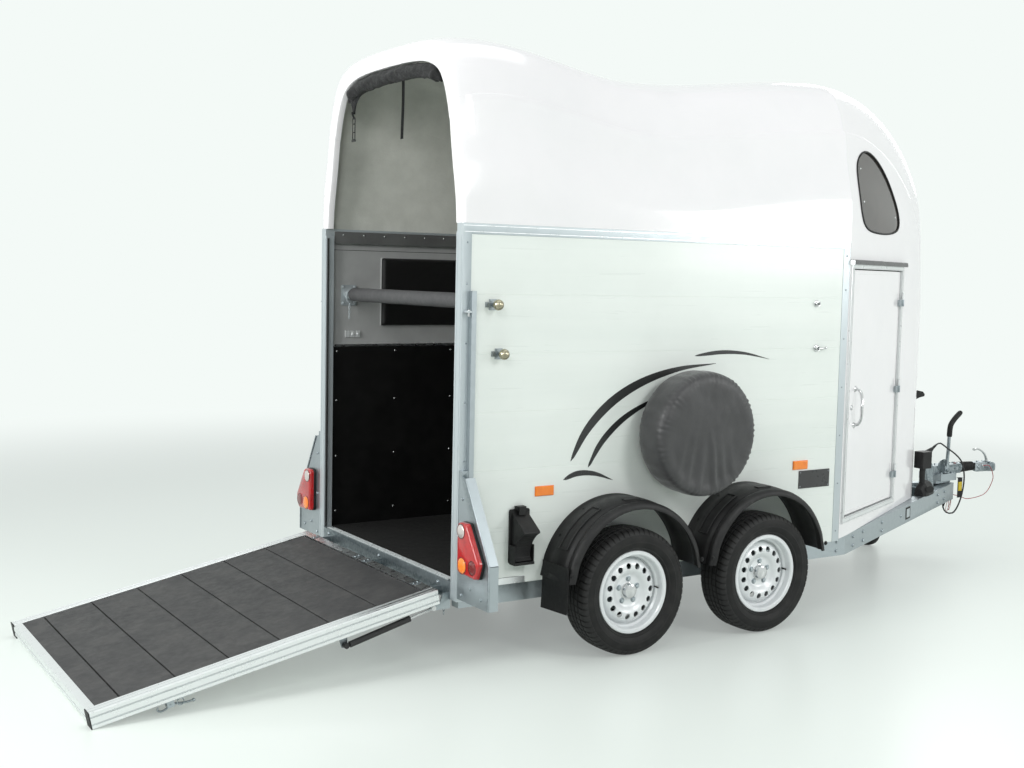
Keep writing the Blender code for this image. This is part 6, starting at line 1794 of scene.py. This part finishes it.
def buildCords():
    start, axis, z = cords["plugStart"], cords["plugAxis"], coupling["z"]
    end = start + axis * (cords["plugLength"] + 0.0006)
    gx, gy = cords["gland"]
    glandZ = beamTop(gx) - beam["high"] - 0.02 - 0.0006
    route = [end, end + axis * 0.026]
    route += [Vector((beam["frontX"] + x, y, z + dz)) for x, y, dz in cords["bends"]]
    route += [Vector((gx, gy, glandZ - 0.022)), Vector((gx, gy, glandZ))]
    path = smoothed(route, 0.022)[::-1]
    cable = cordCurve("plugCable", path, cords["radius"], "cable", "cable")
    seat = alongAxis(start, axis, (0, 1, 0))
    rows = [(0.0006, 0.0), (0.0225, 0.0), (0.024, 0.0015), (0.024, 0.008), (0.0228, 0.009),
            (0.0228, 0.013), (0.024, 0.014), (0.024, 0.054), (0.0232, 0.0552), (0.0208, 0.056)]
    for k in range(6):
        t = k / 6
        radius = 0.0205 - 0.0115 * t
        rows += [(radius, 0.058 + 0.05 * t), (radius, 0.0635 + 0.05 * t),
                (radius - 0.0016, 0.064 + 0.05 * t), (radius - 0.0016, 0.0655 + 0.05 * t)]
    rows += [(0.0088, 0.11), (0.0082, 0.1249), (0.0006, 0.1249)]
    plug = addPiece("plugBody", turnedShape(rows, 36, seat), "blackPlastic", smooth=35.0,
            replaces=("plug",))
    lid = joined(block(-0.012, 0.012, 0.0235, 0.029, 0.002, 0.034, seat),
            block(-0.016, 0.016, 0.0235, 0.0265, 0.0, 0.006, seat))
    lidPiece = addPiece("plugLid", lid, "blackPlastic", bevel=0.0012)
    # tapered sleeves where the cable leaves the gland and enters the plug
    sleeve = [(0.0052, 0.0), (0.008, 0.0), (0.0078, 0.006), (0.0066, 0.016), (0.0058, 0.0225),
            (0.0052, 0.023)]
    atPlug = addPiece("plugSleeve", turnedShape(sleeve, 24, alongAxis(end, axis), True), "rubber",
            smooth=60.0)
    atGland = addPiece("glandSleeve", turnedShape([(0.0052, 0.0), (0.0086, 0.0), (0.0082, 0.006),
            (0.0064, 0.0135), (0.0052, 0.014)], 24, alongAxis((gx, gy, glandZ), (0, 0, -1)), True),
            "rubber", smooth=60.0)
    nut = turnedShape([(0.0004, -0.0006), (0.0125, -0.0006), (0.0125, 0.0115), (0.0105, 0.0135),
            (0.0105, 0.0196), (0.0004, 0.0196)], 6, alongAxis((gx, gy, glandZ + 0.0004),
            (0, 0, 1)))
    addPiece("gland", nut, "blackPlastic", bevel=0.0008)

    x0 = start.x
    low = beamTop(x0 + 0.085) + 0.0003
    plate = roundedOutline(((x0 + 0.04, low), (x0 + 0.08, low), (x0 + 0.062, z + 0.058),
            (x0 + 0.015, z + 0.13), (x0 - 0.032, z + 0.113), (x0 - 0.01, z + 0.058)), 0.006, 4)
    parts = [extruded(plate, -0.1478, -0.1422, upright), turnedShape([(0.0246, -0.002),
            (0.0298, -0.002), (0.0298, 0.027), (0.0312, 0.0276), (0.0312, 0.0312),
            (0.0246, 0.0312)], 32, alongAxis(start - axis * 0.03, axis, (0, 1, 0)), True),
            rod(start - axis * 0.0335, start - axis * 0.027, 0.029, 32),
            boltHead((x0 + 0.062, -0.1478, low + 0.02), (0, -1, 0), 0.0065)]
    addPiece("plugHolder", parts, "zinc", bevel=0.0007,
            replaces=("plug_holder",))

    ex, ey, ez = 4.2006, -0.035, z - 0.177
    route = [Vector((4.5, -0.0326, z + 0.003)), Vector((4.5, -0.046, z + 0.003)),
            Vector((4.518, -0.056, z + 0.007))]
    route += [Vector((beam["frontX"] + x, y, z + dz)) for x, y, dz in cords["thinBends"]]
    route += [Vector((4.22, ey, ez)), Vector((ex, ey, ez))]
    path = smoothed(route, 0.016)
    thin = cordCurve("breakawayCord", path, cords["thin"], "redWire",
            "breakaway_cable")
    ferrules = [turnedShape([(0.0027, 0.0), (0.0052, 0.0), (0.005, 0.006), (0.0038, 0.012),
            (0.0027, 0.0124)], 18, alongAxis(at, direction), True)
            for at, direction in ((path[0], Vector((0, -1, 0))), (path[-1], Vector((1, 0, 0))))]
    ends = addPiece("breakawayFerrules", ferrules, "chrome", smooth=60.0)
    # spring clip on the eye of the drawbar, with its red loops
    loop = [(ex - 0.01 + 0.016 * sin(2 * pi * k / 24), ey - 0.004,
            ez - 0.016 + 0.016 * cos(2 * pi * k / 24)) for k in range(24)]
    addPiece("breakawayClip", tube(loop, 0.0024, 8, True), "chrome", smooth=60.0)
    for n, (wide, deep, lean) in enumerate(((0.02, 0.09, -0.03), (0.014, 0.075, -0.012))):
        loop = []
        for k in range(40):
            a = 2 * pi * k / 40
            loop.append((ex - 0.03 + lean * (1 - cos(a)) * 0.5 + wide * sin(a)
                    * (1.0 - 0.5 * (1 - cos(a)) / 2), ey - 0.01 - 0.006 * n,
                    ez - 0.02 - deep * (1 - cos(a)) / 2))
        addPiece(f"redLoop{n}", tube(loop, 0.0018, 8, True), "redWire", smooth=60.0)


buildCords()


print("stage: jockey wheel")
jockey = {"x": 3.8, "top": 0.8, "trail": 0.055, "radius": 0.1, "half": 0.03}


def buildJockey():
    x, top = jockey["x"], jockey["top"]
    y = (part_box("jockey_tube")[0].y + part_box("jockey_tube")[1].y) / 2
    finishNode("jockey_clamp", "zinc", 0.0012, 40.0)
    finishNode("jockey_tube", "zinc", 0.001, 40.0)
    finishNode("jockey_fork", "zinc", 0.0015)
    grip = turnedShape([(0.0064, 0.0), (0.013, 0.0), (0.015, 0.004), (0.016, 0.022),
            (0.015, 0.044), (0.0125, 0.052), (0.0064, 0.053)], 28,
            alongAxis((x - 0.1, y, top + 0.037), (0, 0, 1)), True)
    addPiece("crankGrip", grip, "blackPlastic", bevel=0.0006, smooth=50.0)
    addPiece("crankCap", ball((x - 0.1, y, top + 0.09), 0.0075, 16), "zinc", smooth=60.0)
    rings = [turnedShape([(0.0298, 0.0), (0.033, 0.0), (0.0335, 0.002), (0.0335, 0.012),
            (0.0298, 0.014)], 36, Matrix.Translation((x, y, z)), True)
            for z in (0.352, 0.48, top - 0.03)]
    bandZ = beamTop(x) - 0.055
    rings += [turnedShape([(0.0299, 0.0), (0.0352, 0.0), (0.0352, 0.0085), (0.0299, 0.0085)], 36,
            Matrix.Translation((x, y, bandZ + dz)), True) for dz in (-0.03, 0.022)]
    rings.append(rod((x - 0.01, y + 0.034, bandZ), (x - 0.074, y + 0.034, bandZ), 0.006, 16))
    rings.append(rod((x - 0.066, y + 0.004, bandZ), (x - 0.066, y + 0.064, bandZ), 0.0055, 14,
            soften=0.001))
    rings.append(rod((x - 0.012, y, top + 0.0002), (x - 0.0119, y, top + 0.01), 0.008, 16))
    addPiece("jockeyBands", rings, "zinc", bevel=0.0006)
    spin = alongAxis((x, y + jockey["trail"], jockey["radius"]), (1, 0, 0))
    half = jockey["half"]
    rows = [(0.066, -half + 0.008), (0.07, -half + 0.003), (0.084, -half), (0.093, -half + 0.003),
            (0.0985, -half + 0.011), (0.0998, -half + 0.022), (0.0998, half - 0.022),
            (0.0985, half - 0.011), (0.093, half - 0.003), (0.084, half), (0.07, half - 0.003),
            (0.066, half - 0.008)]
    addPiece("jockeyTyre", turnedShape(rows, 64, spin, True), "tyre", "jockey_roller", smooth=50.0,
            replaces=("jockey_wheel",))
    rows = [(0.04, -0.012), (0.056, -0.016), (0.061, -half + 0.006), (0.0705, -half + 0.0055),
            (0.0705, -half + 0.01), (0.064, -0.01), (0.064, 0.01), (0.0705, half - 0.01),
            (0.0705, half - 0.0055), (0.061, half - 0.006), (0.056, 0.016), (0.04, 0.012)]
    addPiece("jockeyRim", turnedShape(rows, 64, spin, True), "whitePlastic", "jockey_roller",
            smooth=40.0)
    rows = [(0.009, -half + 0.0055), (0.02, -half + 0.0055), (0.0215, -half + 0.007),
            (0.0215, -0.012), (0.0405, -0.0085), (0.0405, 0.0085), (0.0215, 0.012),
            (0.0215, half - 0.007), (0.02, half - 0.0055), (0.009, half - 0.0055)]
    addPiece("jockeyHub", turnedShape(rows, 40, spin, True), "zinc", "jockey_roller", bevel=0.0006)
    # shaft nuts outside the fork
    nuts = []
    cheek = half + 0.01
    nuts += [boltHead((x + side * cheek, y + jockey["trail"], jockey["radius"]), (side, 0, 0),
            0.0115) for side in (-1.0, 1.0)]
    addPiece("jockeyNuts", nuts, "zinc", "jockey_caster")


buildJockey()


print("stage: drawbar case and hook")


def buildCase():
    finishNode("drawbar_case", "blackPlastic", 0.004, 50.0, 3)
    finishNode("nose_hook", "blackPlastic", 0.003, 50.0, 3)
    low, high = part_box("drawbar_case")
    x = (low.x + high.x) / 2 - datumX
    seat = alongAxis((x - 0.02, low.y - 0.0004, low.z + 0.044), (0, -1, 0))
    oval = turnedShape([(0.0004, 0.0), (0.02, 0.0), (0.0215, 0.0012), (0.0004, 0.0016)], 28, seat)
    middle = Vector((x - 0.02, 0, low.z + 0.044))
    points = [Vector((middle.x + (p.x - middle.x) * 1.7, p.y, p.z)) for p in oval[0]]
    addPiece("caseWindow", (points, oval[1]), "rubber")


buildCase()


print("stage: door")


def frameBars(x0, x1, z0, z1, wide):
    # the four bars of a frame: two uprights, sill and head
    return ((x0, x0 + wide, z0, z1), (x1 - wide, x1, z0, z1), (x0, x1, z0, z0 + wide),
            (x0, x1, z1 - wide, z1))


def buildDoor():
    # frame of folded aluminium, the leaf in the colour of the moulding
    d = door
    s0, s1 = d["start"] + 0.0003, d["end"] - 0.0003
    z0, z1 = d["bottom"] + 0.0003, d["top"] - 0.0003
    w, proud = d["frame"], d["proud"]
    finishNode("door_frame", "doorAlu", 0.0018)
    lines = []
    for inset, out in ((0.004, proud), (w - 0.005, proud)):
        a0, a1, b0, b1 = s0 + inset, s1 - inset, z0 + inset, z1 - inset
        lines += [taperBlock(low[0] - 0.0007, low[0] + 0.0007, out - 0.0004, out + 0.0006, low[1],
                high[1]) for low, high in (((a0, b0), (a0, b1)), ((a1, b0), (a1, b1)))]
        lines += [taperBlock(a0, a1, out - 0.0004, out + 0.0006, z - 0.0007, z + 0.0007)
                for z in (b0, b1)]
    addPiece("doorFrameLines", lines, "innerBoard")
    # black gasket round the leaf, set back in the gap
    gap = [taperBlock(a0, a1, -0.026, -0.012, b0, b1) for a0, a1, b0,
            b1 in frameBars(s0 + w, s1 - w, z0 + w, z1 - w, 0.0042)]
    addPiece("doorGasket", gap, "rubber")
    # rubber drip rail over the door
    cover = [(0.0262, -0.0085), (0.0285, -0.007), (0.029, 0.004), (0.026, 0.0165), (0.018, 0.0185),
            (0.002, 0.0185), (0.002, 0.0166), (0.017, 0.0166), (0.0245, 0.015), (0.0262, 0.004)]
    rings = [[onTaper(s, out, d["top"] + rise) for out, rise in cover]
            for s in (d["start"] - 0.014, d["end"] + 0.014)]
    addPiece("dripRail", loft(rings), "plate", bevel=0.0005)

    hingeAlong = 0.872
    hingeAt = sideFrames[-1.0] @ Matrix.Translation((hingeAlong, -0.019, 0.0))
    clear = w + d["clear"]
    far, near = d["start"] + clear - hingeAlong, d["end"] - clear - hingeAlong

    def leafBlock(x0, x1, y0, y1, lowZ, highZ):
        return block(x0, x1, y0, y1, lowZ, highZ, hingeAt)

    z0, z1 = d["bottom"] + clear, d["top"] - clear
    parts = [leafBlock(far, near, 0.0193, 0.047, z0, z1)]
    addPiece("doorLeaf", parts, "gelcoat", "door", bevel=0.0035, segments=3,
            replaces=("groom_door",))
    lip = []
    b = 0.0195
    lip += [leafBlock(x0, x1, b - 0.0016, b, low, high) for a in (0.008, 0.02)
            for x0, x1, low, high in frameBars(far + a, near - a, z0 + a, z1 - a, 0.0016)]
    addPiece("leafBeads", lip, "gelcoat", "door", bevel=0.0005)
    # bow handle on two feet, and the lock below it
    gripLow = d["bottom"] + 0.528
    handle = smoothed([(far + 0.11, 0.019, gripLow), (far + 0.11, -0.004, gripLow + 0.006),
            (far + 0.108, -0.0185, gripLow + 0.026), (far + 0.094, -0.029, gripLow + 0.064),
            (far + 0.086, -0.0315, gripLow + 0.1), (far + 0.094, -0.029, gripLow + 0.136),
            (far + 0.108, -0.0185, gripLow + 0.174), (far + 0.11, -0.004, gripLow + 0.194),
            (far + 0.11, 0.019, gripLow + 0.2)], 0.012)
    flat = [(0.0085 * cos(a), 0.0065 * sin(a)) for a in angles(16)]
    grip = [moved(swept(handle, flat, up=(1, 0, 0)), hingeAt)]
    grip += [turnedShape([(0.0004, 0.0), (0.017, 0.0), (0.017, 0.002), (0.015, 0.0045),
            (0.0004, 0.0055)], 28, hingeAt @ alongAxis((far + 0.11, 0.0192, z), (0, -1, 0)))
            for z in (gripLow, gripLow + 0.2)]
    lockSeat = hingeAt @ alongAxis((far + 0.062, 0.0192, gripLow + 0.1), (0, -1, 0))
    grip.append(turnedShape([(0.0004, 0.0), (0.015, 0.0), (0.015, 0.0025), (0.013, 0.0045),
            (0.006, 0.005), (0.0055, 0.0035), (0.0004, 0.0035)], 28, lockSeat))
    addPiece("doorHandle", grip, "chrome", "door", smooth=50.0)
    # hinges: leaves with their knuckles, screws on both sides
    tall = d["top"] - d["bottom"]
    fixed, turning = [], []
    for share in (0.14, 0.5, 0.86):
        z = d["bottom"] + tall * share
        low, high = z - 0.0408, z - 0.0012
        turning.append(turnedShape([(0.0006, low), (0.0078, low), (0.008, low + 0.0008),
                (0.008, high - 0.0008), (0.0078, high), (0.0006, high)], 24, hingeAt))
        turning.append(leafBlock(-0.046, -0.002, 0.0002, 0.0045, low, high))
        turning.append(leafBlock(-0.03, near - 0.0005, 0.001, 0.02, low + 0.002, high - 0.002))
        for x in (-0.036, -0.02):
            for dz in (0.01, 0.03):
                seat = hingeAt @ alongAxis((x, 0.0002, low + dz), (0, -1, 0))
                turning.append(turnedShape([(0.0036, -0.0006), (0.0036, 0.0006), (0.0022, 0.0014),
                        (0.0004, 0.0016)], 14, seat))
        for dz in (0.01, 0.03):
            here = onTaper(0.889, 0.0192, z + dz)
            fixed.append(boltHead(here, here - onTaper(0.889, 0.0, z + dz), 0.0042, domed=True))
    addPiece("doorHinges", turning, "zinc", "door", smooth=50.0)
    addPiece("hingeScrews", fixed, "zinc")


buildDoor()


print("stage: stripes and plates")
graphic = {
    # each stripe: points of its middle line on the wall (x, z) and its greatest width
    "stripes": ((((0.6, 0.905), (0.69, 1.05), (0.83, 1.175), (1.01, 1.265), (1.23, 1.322),
                  (1.47, 1.345)), 0.046),
                (((0.7, 0.87), (0.775, 0.985), (0.89, 1.085), (1.04, 1.16), (1.2, 1.205)),
                 0.032),
                (((1.33, 1.385), (1.5, 1.4), (1.66, 1.392), (1.83, 1.36)), 0.02),
                (((0.56, 0.82), (0.64, 0.845), (0.74, 0.838), (0.85, 0.8)), 0.026)),
    "film": 0.0004,
}


def stripeShape(points, widest, side):
    count = 44
    line = smoothed([(x, 0.0, z) for x, z in points], 0.012)
    line = [line[round(k * (len(line) - 1) / count)] for k in range(count + 1)]
    face = body["wallOuter"] + 0.0003
    left, right = [], []
    for k, here in enumerate(line):
        before, after = line[max(0, k - 1)], line[min(len(line) - 1, k + 1)]
        along = (after - before).normalized()
        normal = Vector((-along.z, 0.0, along.x))
        t = k / count
        half = widest / 2 * (0.03 + 0.97 * sin(pi * t ** 0.62) ** 0.9)
        left.append(here + normal * half)
        right.append(here - normal * half)
    rings = [[Vector((a.x, side * face, a.z)), Vector((b.x, side * face, b.z)),
            Vector((b.x, side * (face + graphic["film"]), b.z)),
            Vector((a.x, side * (face + graphic["film"]), a.z))] for a, b in zip(left, right)]
    return loft(rings)


def buildGraphics():
    for side, label in bothSides:
        shapes = [stripeShape(points, widest, side) for points, widest in graphic["stripes"]]
        addPiece("stripes_" + label, shapes, "decal", smooth=60.0)
    face = body["wallOuter"]
    addPiece("sidePlate", block(2.07, 2.294, -(face + 0.0042), -(face + 0.0002), 0.67, 0.765),
            "plate", bevel=0.0012, segments=3)
    heads = [boltHead((x, -(face + 0.0042), z), (0, -1, 0), 0.0034, domed=True)
            for x in (2.08, 2.284) for z in (0.68, 0.755)]
    addPiece("plateRivets", heads, "zinc", smooth=60.0)


buildGraphics()


print("stage: interior")
inside = {
    "kickInner": 0.7097, "padX": (0.335, 1.9), "padZ": (1.47, 1.84), "padIn": 0.692,
    "bar": 0.018, "sleeve": 0.036,
}


def padShape(side):
    # board-backed pad: flat back, soft front with a dip at each button and slack corners
    x0, x1 = inside["padX"]
    z0, z1 = inside["padZ"]
    back, front = body["wallInner"] - 0.0034, inside["padIn"]
    nx, nz = 132, 34
    grid = []
    for j in range(nz + 1):
        row = []
        for i in range(nx + 1):
            u, v = i / nx, j / nz
            x, z = x0 + (x1 - x0) * u, z0 + (z1 - z0) * v
            toEdge = min(x - x0, x1 - x, z - z0, z1 - z)
            swell = sqrt(max(0.0, 1.0 - (1.0 - min(1.0, toEdge / 0.02)) ** 2))
            soft = 0.0018 * noise.noise(Vector((x * 5.0, z * 7.0, 3.0 + side)))
            soft += 0.0009 * noise.noise(Vector((x * 19.0, z * 23.0, 9.0 - side)))
            pull = 0.0
            for bx in (0.2, 0.4, 0.6, 0.8):
                off = hypot(x - (x0 + (x1 - x0) * bx), z - (z0 + z1) / 2) / 0.03
                pull += 0.0045 * hump(off)
            y = back - 0.004 - (back - 0.004 - front) * swell + (soft + pull) * swell
            row.append(Vector((x, side * y, z)))
        grid.append(row)
    points = [p for row in grid for p in row]
    count = nx + 1
    faces = [[j * count + i, j * count + i + 1, (j + 1) * count + i + 1, (j + 1) * count + i]
            for j in range(nz) for i in range(nx)]
    rim = ([i for i in range(count)] + [j * count + nx for j in range(1, nz + 1)] + [nz * count + i
            for i in range(nx - 1, -1, -1)] + [j * count for j in range(nz - 1, 0, -1)])
    base = len(points)
    points += [Vector((points[k].x, side * back, points[k].z)) for k in rim]
    for a in range(len(rim)):
        b = (a + 1) % len(rim)
        faces.append([rim[a], rim[b], base + b, base + a])
    faces.append([base + k for k in range(len(rim))])
    return points, faces


def buildInterior():
    finishNode("floor_panel", "floorRubber", 0.001)
    finishNode("nose_floor", "floorRubber", 0.001)
    for side, label in bothSides:
        finishNode("kick_panel_" + label, "kickBoard", 0.001)
        inner = inside["kickInner"]
        heads = [boltHead((x, side * inner, z), (0, -side, 0), 0.0062, domed=True)
                for x in (0.075, 0.425, 0.775, 1.125, 1.475, 1.825, 2.175, 2.31)
                for z in (0.47, 0.77, 1.07, 1.335)]
        addPiece("kickRivets_" + label, heads, "chrome", smooth=60.0)
        trim = [(side * (body["wallInner"] - 0.0033), body["kickTop"] + 0.0004),
                (side * (inner - 0.0016), body["kickTop"] + 0.0004),
                (side * (inner - 0.0016), body["kickTop"] - 0.01),
                (side * (inner - 0.0003), body["kickTop"] - 0.01),
                (side * (inner - 0.0003), body["kickTop"] + 0.0018),
                (side * (body["wallInner"] - 0.0033), body["kickTop"] + 0.0018)]
        addPiece("kickTrim_" + label, extruded(trim, 0.048, body["length"] - 0.052, across),
                "aluminium")
        pad = addPiece("wallPad_" + label, padShape(side), "padVinyl", smooth=70.0,
                replaces=("wall_pad_" + label,))
        x0, x1 = inside["padX"]
        z0, z1 = inside["padZ"]
        y = side * (body["wallInner"] - 0.0072)
        corner = roundedOutline(((x0 + 0.001, z0 + 0.001), (x1 - 0.001, z0 + 0.001),
                (x1 - 0.001, z1 - 0.001), (x0 + 0.001, z1 - 0.001)), 0.008, 4)
        addPiece("padPiping_" + label, tube([(x, y, z) for x, z in corner], 0.0038, 8, True),
                "innerBoard", smooth=60.0)
        # inner joint line of the boards and a seal down the doorway post
        addPiece("boardJoint_" + label, block(0.05, body["length"] - 0.05,
                side * (body["wallInner"] - 0.0029), side * (body["wallInner"] - 0.0038), 1.874,
                1.8765), "kickBoard")
        inner = body["half"] - sides["rearPostWide"]
        seal = [(0.006, side * inner), (0.006, side * (inner - 0.0045)),
                (0.0105, side * (inner - 0.007)), (0.015, side * (inner - 0.0045)),
                (0.015, side * inner)]
        addPiece("postSeal_" + label, loft([[(x, y, z) for x, y in seal] for z in (0.395, 1.935)]),
                "rubber", smooth=50.0)
        ribs = [block(-0.0012, 0.0005, side * (body["half"] - dy - 0.0014),
                side * (body["half"] - dy + 0.0014), 0.335, 1.93) for dy in (0.012, 0.044)]
        addPiece("postRibs_" + label, ribs, "postAlu")
        tab = [block(0.01, 0.034, side * (body["half"] + 0.0005), side * (body["half"] + 0.0345),
                1.5946, 1.5962), boltHead((0.022, side * (body["half"] + 0.024), 1.6034),
                (0, 0, 1), 0.0055), rod((0.022, side * (body["half"] + 0.024), 1.578),
                (0.022, side * (body["half"] + 0.024), 1.603), 0.0045, 14)]
        addPiece("latchPin_" + label, tab, "chrome", bevel=0.0004)


def buildBars():
    z = sides["barHeight"]
    for name, x in (("breech_bar", sides["breechX"]), ("breast_bar", sides["breastX"])):
        label = name.split("_")[0]
        end = body["wallInner"] - 0.004 - 0.0006
        core = rod((x, -end, z), (x, end, z), inside["bar"], 32, soften=0.001)
        addPiece(label + "Bar", core, "chrome", smooth=50.0, replaces=(name,))
        half, radius = 0.656, inside["sleeve"]
        rows = [(0.0182, -half), (radius - 0.01, -half - 0.0004), (radius - 0.002, -half + 0.004),
                (radius, -half + 0.012)]
        steps = 40
        rows += [(radius - 0.0004 + 0.0004 * sin(7.0 * k + 1.0),
                -half + 0.03 + (2 * half - 0.06) * k / steps) for k in range(steps + 1)]
        rows += [(radius, half - 0.012), (radius - 0.002, half - 0.004),
                (radius - 0.01, half + 0.0004), (0.0182, half)]
        addPiece(label + "Sleeve", turnedShape(rows, 40, alongAxis((x, 0, z), (0, 1, 0)), True),
                "foamSleeve", smooth=60.0)
        parts = []
        for side in (-1.0, 1.0):
            wall = side * (body["wallInner"] - 0.0033)
            face = side * (body["wallInner"] - 0.0072)
            plate = roundedOutline(((x - 0.045, z - 0.06), (x + 0.045, z - 0.06),
                    (x + 0.045, z + 0.05), (x - 0.045, z + 0.05)), 0.01, 4)
            parts.append(extruded(plate, min(wall, face), max(wall, face), upright))
            cradle = [(x + 0.0265 * cos(a), z + 0.0265 * sin(a))
                    for a in (radians(180 + 15 * k) for k in range(13))]
            cradle += [(x + 0.0205 * cos(a), z + 0.0205 * sin(a))
                    for a in (radians(360 - 15 * k) for k in range(13))]
            y0, y1 = sorted((face, side * (body["wallInner"] - 0.046)))
            parts.append(extruded(cradle, y0, y1, upright))
            parts += [boltHead((x + dx, face, z + dz), (0, -side, 0), 0.0065)
                    for dx in (-0.034, 0.034) for dz in (-0.048, 0.038)]
            ringY = side * (body["wallInner"] - 0.04)
            loop = [(x + 0.03 * cos(a), ringY, z - 0.01 + 0.04 * sin(a)) for a in angles(28)]
            parts.append(tube(loop, 0.003, 8, True))
            for k in range(6):
                chain = []
                cz = z - 0.056 - 0.013 * k
                for a in angles(12):
                    u, v = 0.0048 * cos(a), 0.009 * sin(a)
                    chain.append((x + (u if k % 2 else 0.0) - 0.012, ringY + (0.0 if k % 2 else u),
                            cz + v))
                parts.append(tube(chain, 0.0015, 6, True))
        addPiece(label + "Brackets", joined(*parts), "postAlu", smooth=40.0)
    # three latch plates on each inner wall, below the rear bar
    for side, label in bothSides:
        wall, plates = side * (body["wallInner"] - 0.0032), []
        for k in range(3):
            x = 0.126 + 0.0305 * k
            plates.append(block(x, x + 0.0245, wall, wall - side * 0.0065, 1.409, 1.445))
            if k:
                plates.append(boltHead((x + 0.012, wall - side * 0.0065, 1.427), (0, -side, 0),
                        0.0058))
        addPiece("latchPlates_" + label, plates, "doorAlu", bevel=0.001)


buildInterior()
buildBars()


print("stage: curtain")


def curtainLine():
    lip = sectionRing(0.0, shell["half"] - shell["thickness"],
            shell["rearCrown"] - shell["thickness"], body["railTop"], 0.0,
            shell["lipWidth"] - shell["thickness"])
    x = shell["lipDepth"] - 0.006
    seat = [Vector((x, p.y, p.z)) for p in lip if p.z > shell["rearCrown"] - 0.16]
    middle = Vector((x, 0.0, shell["rearCrown"] - 0.65))
    path = []
    for before, here, after in zip([seat[0]] + seat, seat, seat[1:] + [seat[-1]]):
        along = (after - before).normalized()
        inward = along.cross(Vector((1.0, 0.0, 0.0)))
        if inward.dot(middle - here) < 0:
            inward = -inward
        path.append(here + inward * 0.0375)
    return path


def buildCurtain():
    path = smoothed(curtainLine(), 0.012)
    count = len(path)
    rings = []
    for k, here in enumerate(path):
        before, after = path[max(0, k - 1)], path[min(count - 1, k + 1)]
        along = (after - before).normalized()
        over = Vector((1.0, 0.0, 0.0))
        sideways = over.cross(along)
        t = k / (count - 1)
        fade = min(1.0, 14.0 * t + 0.25, 14.0 * (1.0 - t) + 0.25)
        ring = []
        for n in range(48):
            a = 2 * pi * n / 48
            wrap = 0.0016 * sin(3.0 * a + 26.0 * t) + 0.0013 * sin(5.0 * a - 41.0 * t + 1.0)
            pucker = 0.0034 * noise.noise(Vector((cos(a) * 1.6, sin(a) * 1.6, t * 46.0)))
            pucker += 0.002 * noise.noise(Vector((cos(a) * 4.0, sin(a) * 4.0, t * 120.0)))
            strap = 0.0
            for place in (0.22, 0.5, 0.78):
                strap -= 0.0035 * hump((t - place) / 0.006)
            radius = (0.0335 + wrap + pucker + strap) * fade
            ring.append(here + (sideways * cos(a) + over * sin(a)) * radius)
        rings.append(ring)
    addPiece("curtainRoll", loft(rings), "tarp", smooth=80.0,
            replaces=("curtain_roll",))
    x = shell["lipDepth"] - 0.006
    top = max(p.z for p in path)

    def strapShape(y, low, high, wide, lean=0.0):
        thick = 0.0016
        strap = []
        for n in range(15):
            t = n / 14
            z = low + (high - low) * t
            sway = 0.004 * sin(3.0 * t + y * 5.0) + 0.006 * (1.0 - t) ** 2
            c = x + sway
            strap.append([(c - thick / 2, y + lean * (1 - t) - wide / 2, z),
                    (c + thick / 2, y + lean * (1 - t) - wide / 2, z),
                    (c + thick / 2, y + lean * (1 - t) + wide / 2, z),
                    (c - thick / 2, y + lean * (1 - t) + wide / 2, z)])
        return loft(strap)

    addPiece("curtainStrap", strapShape(-0.105, top - 0.305, top - 0.03, 0.027, 0.01), "webbing",
            bevel=0.0005)
    # gathered tongue at the left, its webbing and slotted end
    tongue = []
    for n, (z, wide) in enumerate(((top - 0.02, 0.17), (top - 0.055, 0.12), (top - 0.085, 0.072),
            (top - 0.11, 0.036), (top - 0.13, 0.024), (top - 0.14, 0.022))):
        ring = []
        for k in range(28):
            a = 2 * pi * k / 28
            fold = 0.004 * sin(6.0 * a + n) * (1.0 if wide > 0.03 else 0.2)
            ring.append((x + (0.006 + fold * 0.6) * sin(a) + 0.001 * n,
                    0.43 + wide / 2 * cos(a) + 0.004 * n * 0.5,
                    z + 0.01 * sin(2 * a) * (wide / 0.17)))
        tongue.append(ring)
    addPiece("curtainTongue", loft(tongue), "tarp", smooth=80.0)
    y = 0.44
    addPiece("tongueStrap", strapShape(y, top - 0.165, top - 0.128, 0.022), "webbing",
            bevel=0.0005)
    slot = [block(x + 0.0035, x + 0.0065, y + dy - 0.003, y + dy + 0.003, top - 0.27, top - 0.16)
            for dy in (-0.0135, 0.0135)]
    slot += [block(x + 0.0035, x + 0.0065, y - 0.016, y + 0.016, z, z + 0.006)
            for z in (top - 0.27, top - 0.235, top - 0.192, top - 0.164)]
    addPiece("strapLadder", slot, "rubber", bevel=0.0006)
    bar = block(x + 0.0025, x + 0.0075, y - 0.022, y + 0.022, top - 0.278, top - 0.268)
    addPiece("strapToggle", bar, "blackPlastic", bevel=0.0015)


buildCurtain()


def finishLeftovers():
    # what the part shows itself and has no finish yet
    left = [name for name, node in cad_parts.items() if not node.hide_render
            and node.data.materials and node.data.materials[0] not in list(paints.values())]
    print("nodes without a finish:", sorted(left))


finishLeftovers()


print("stage: finish")
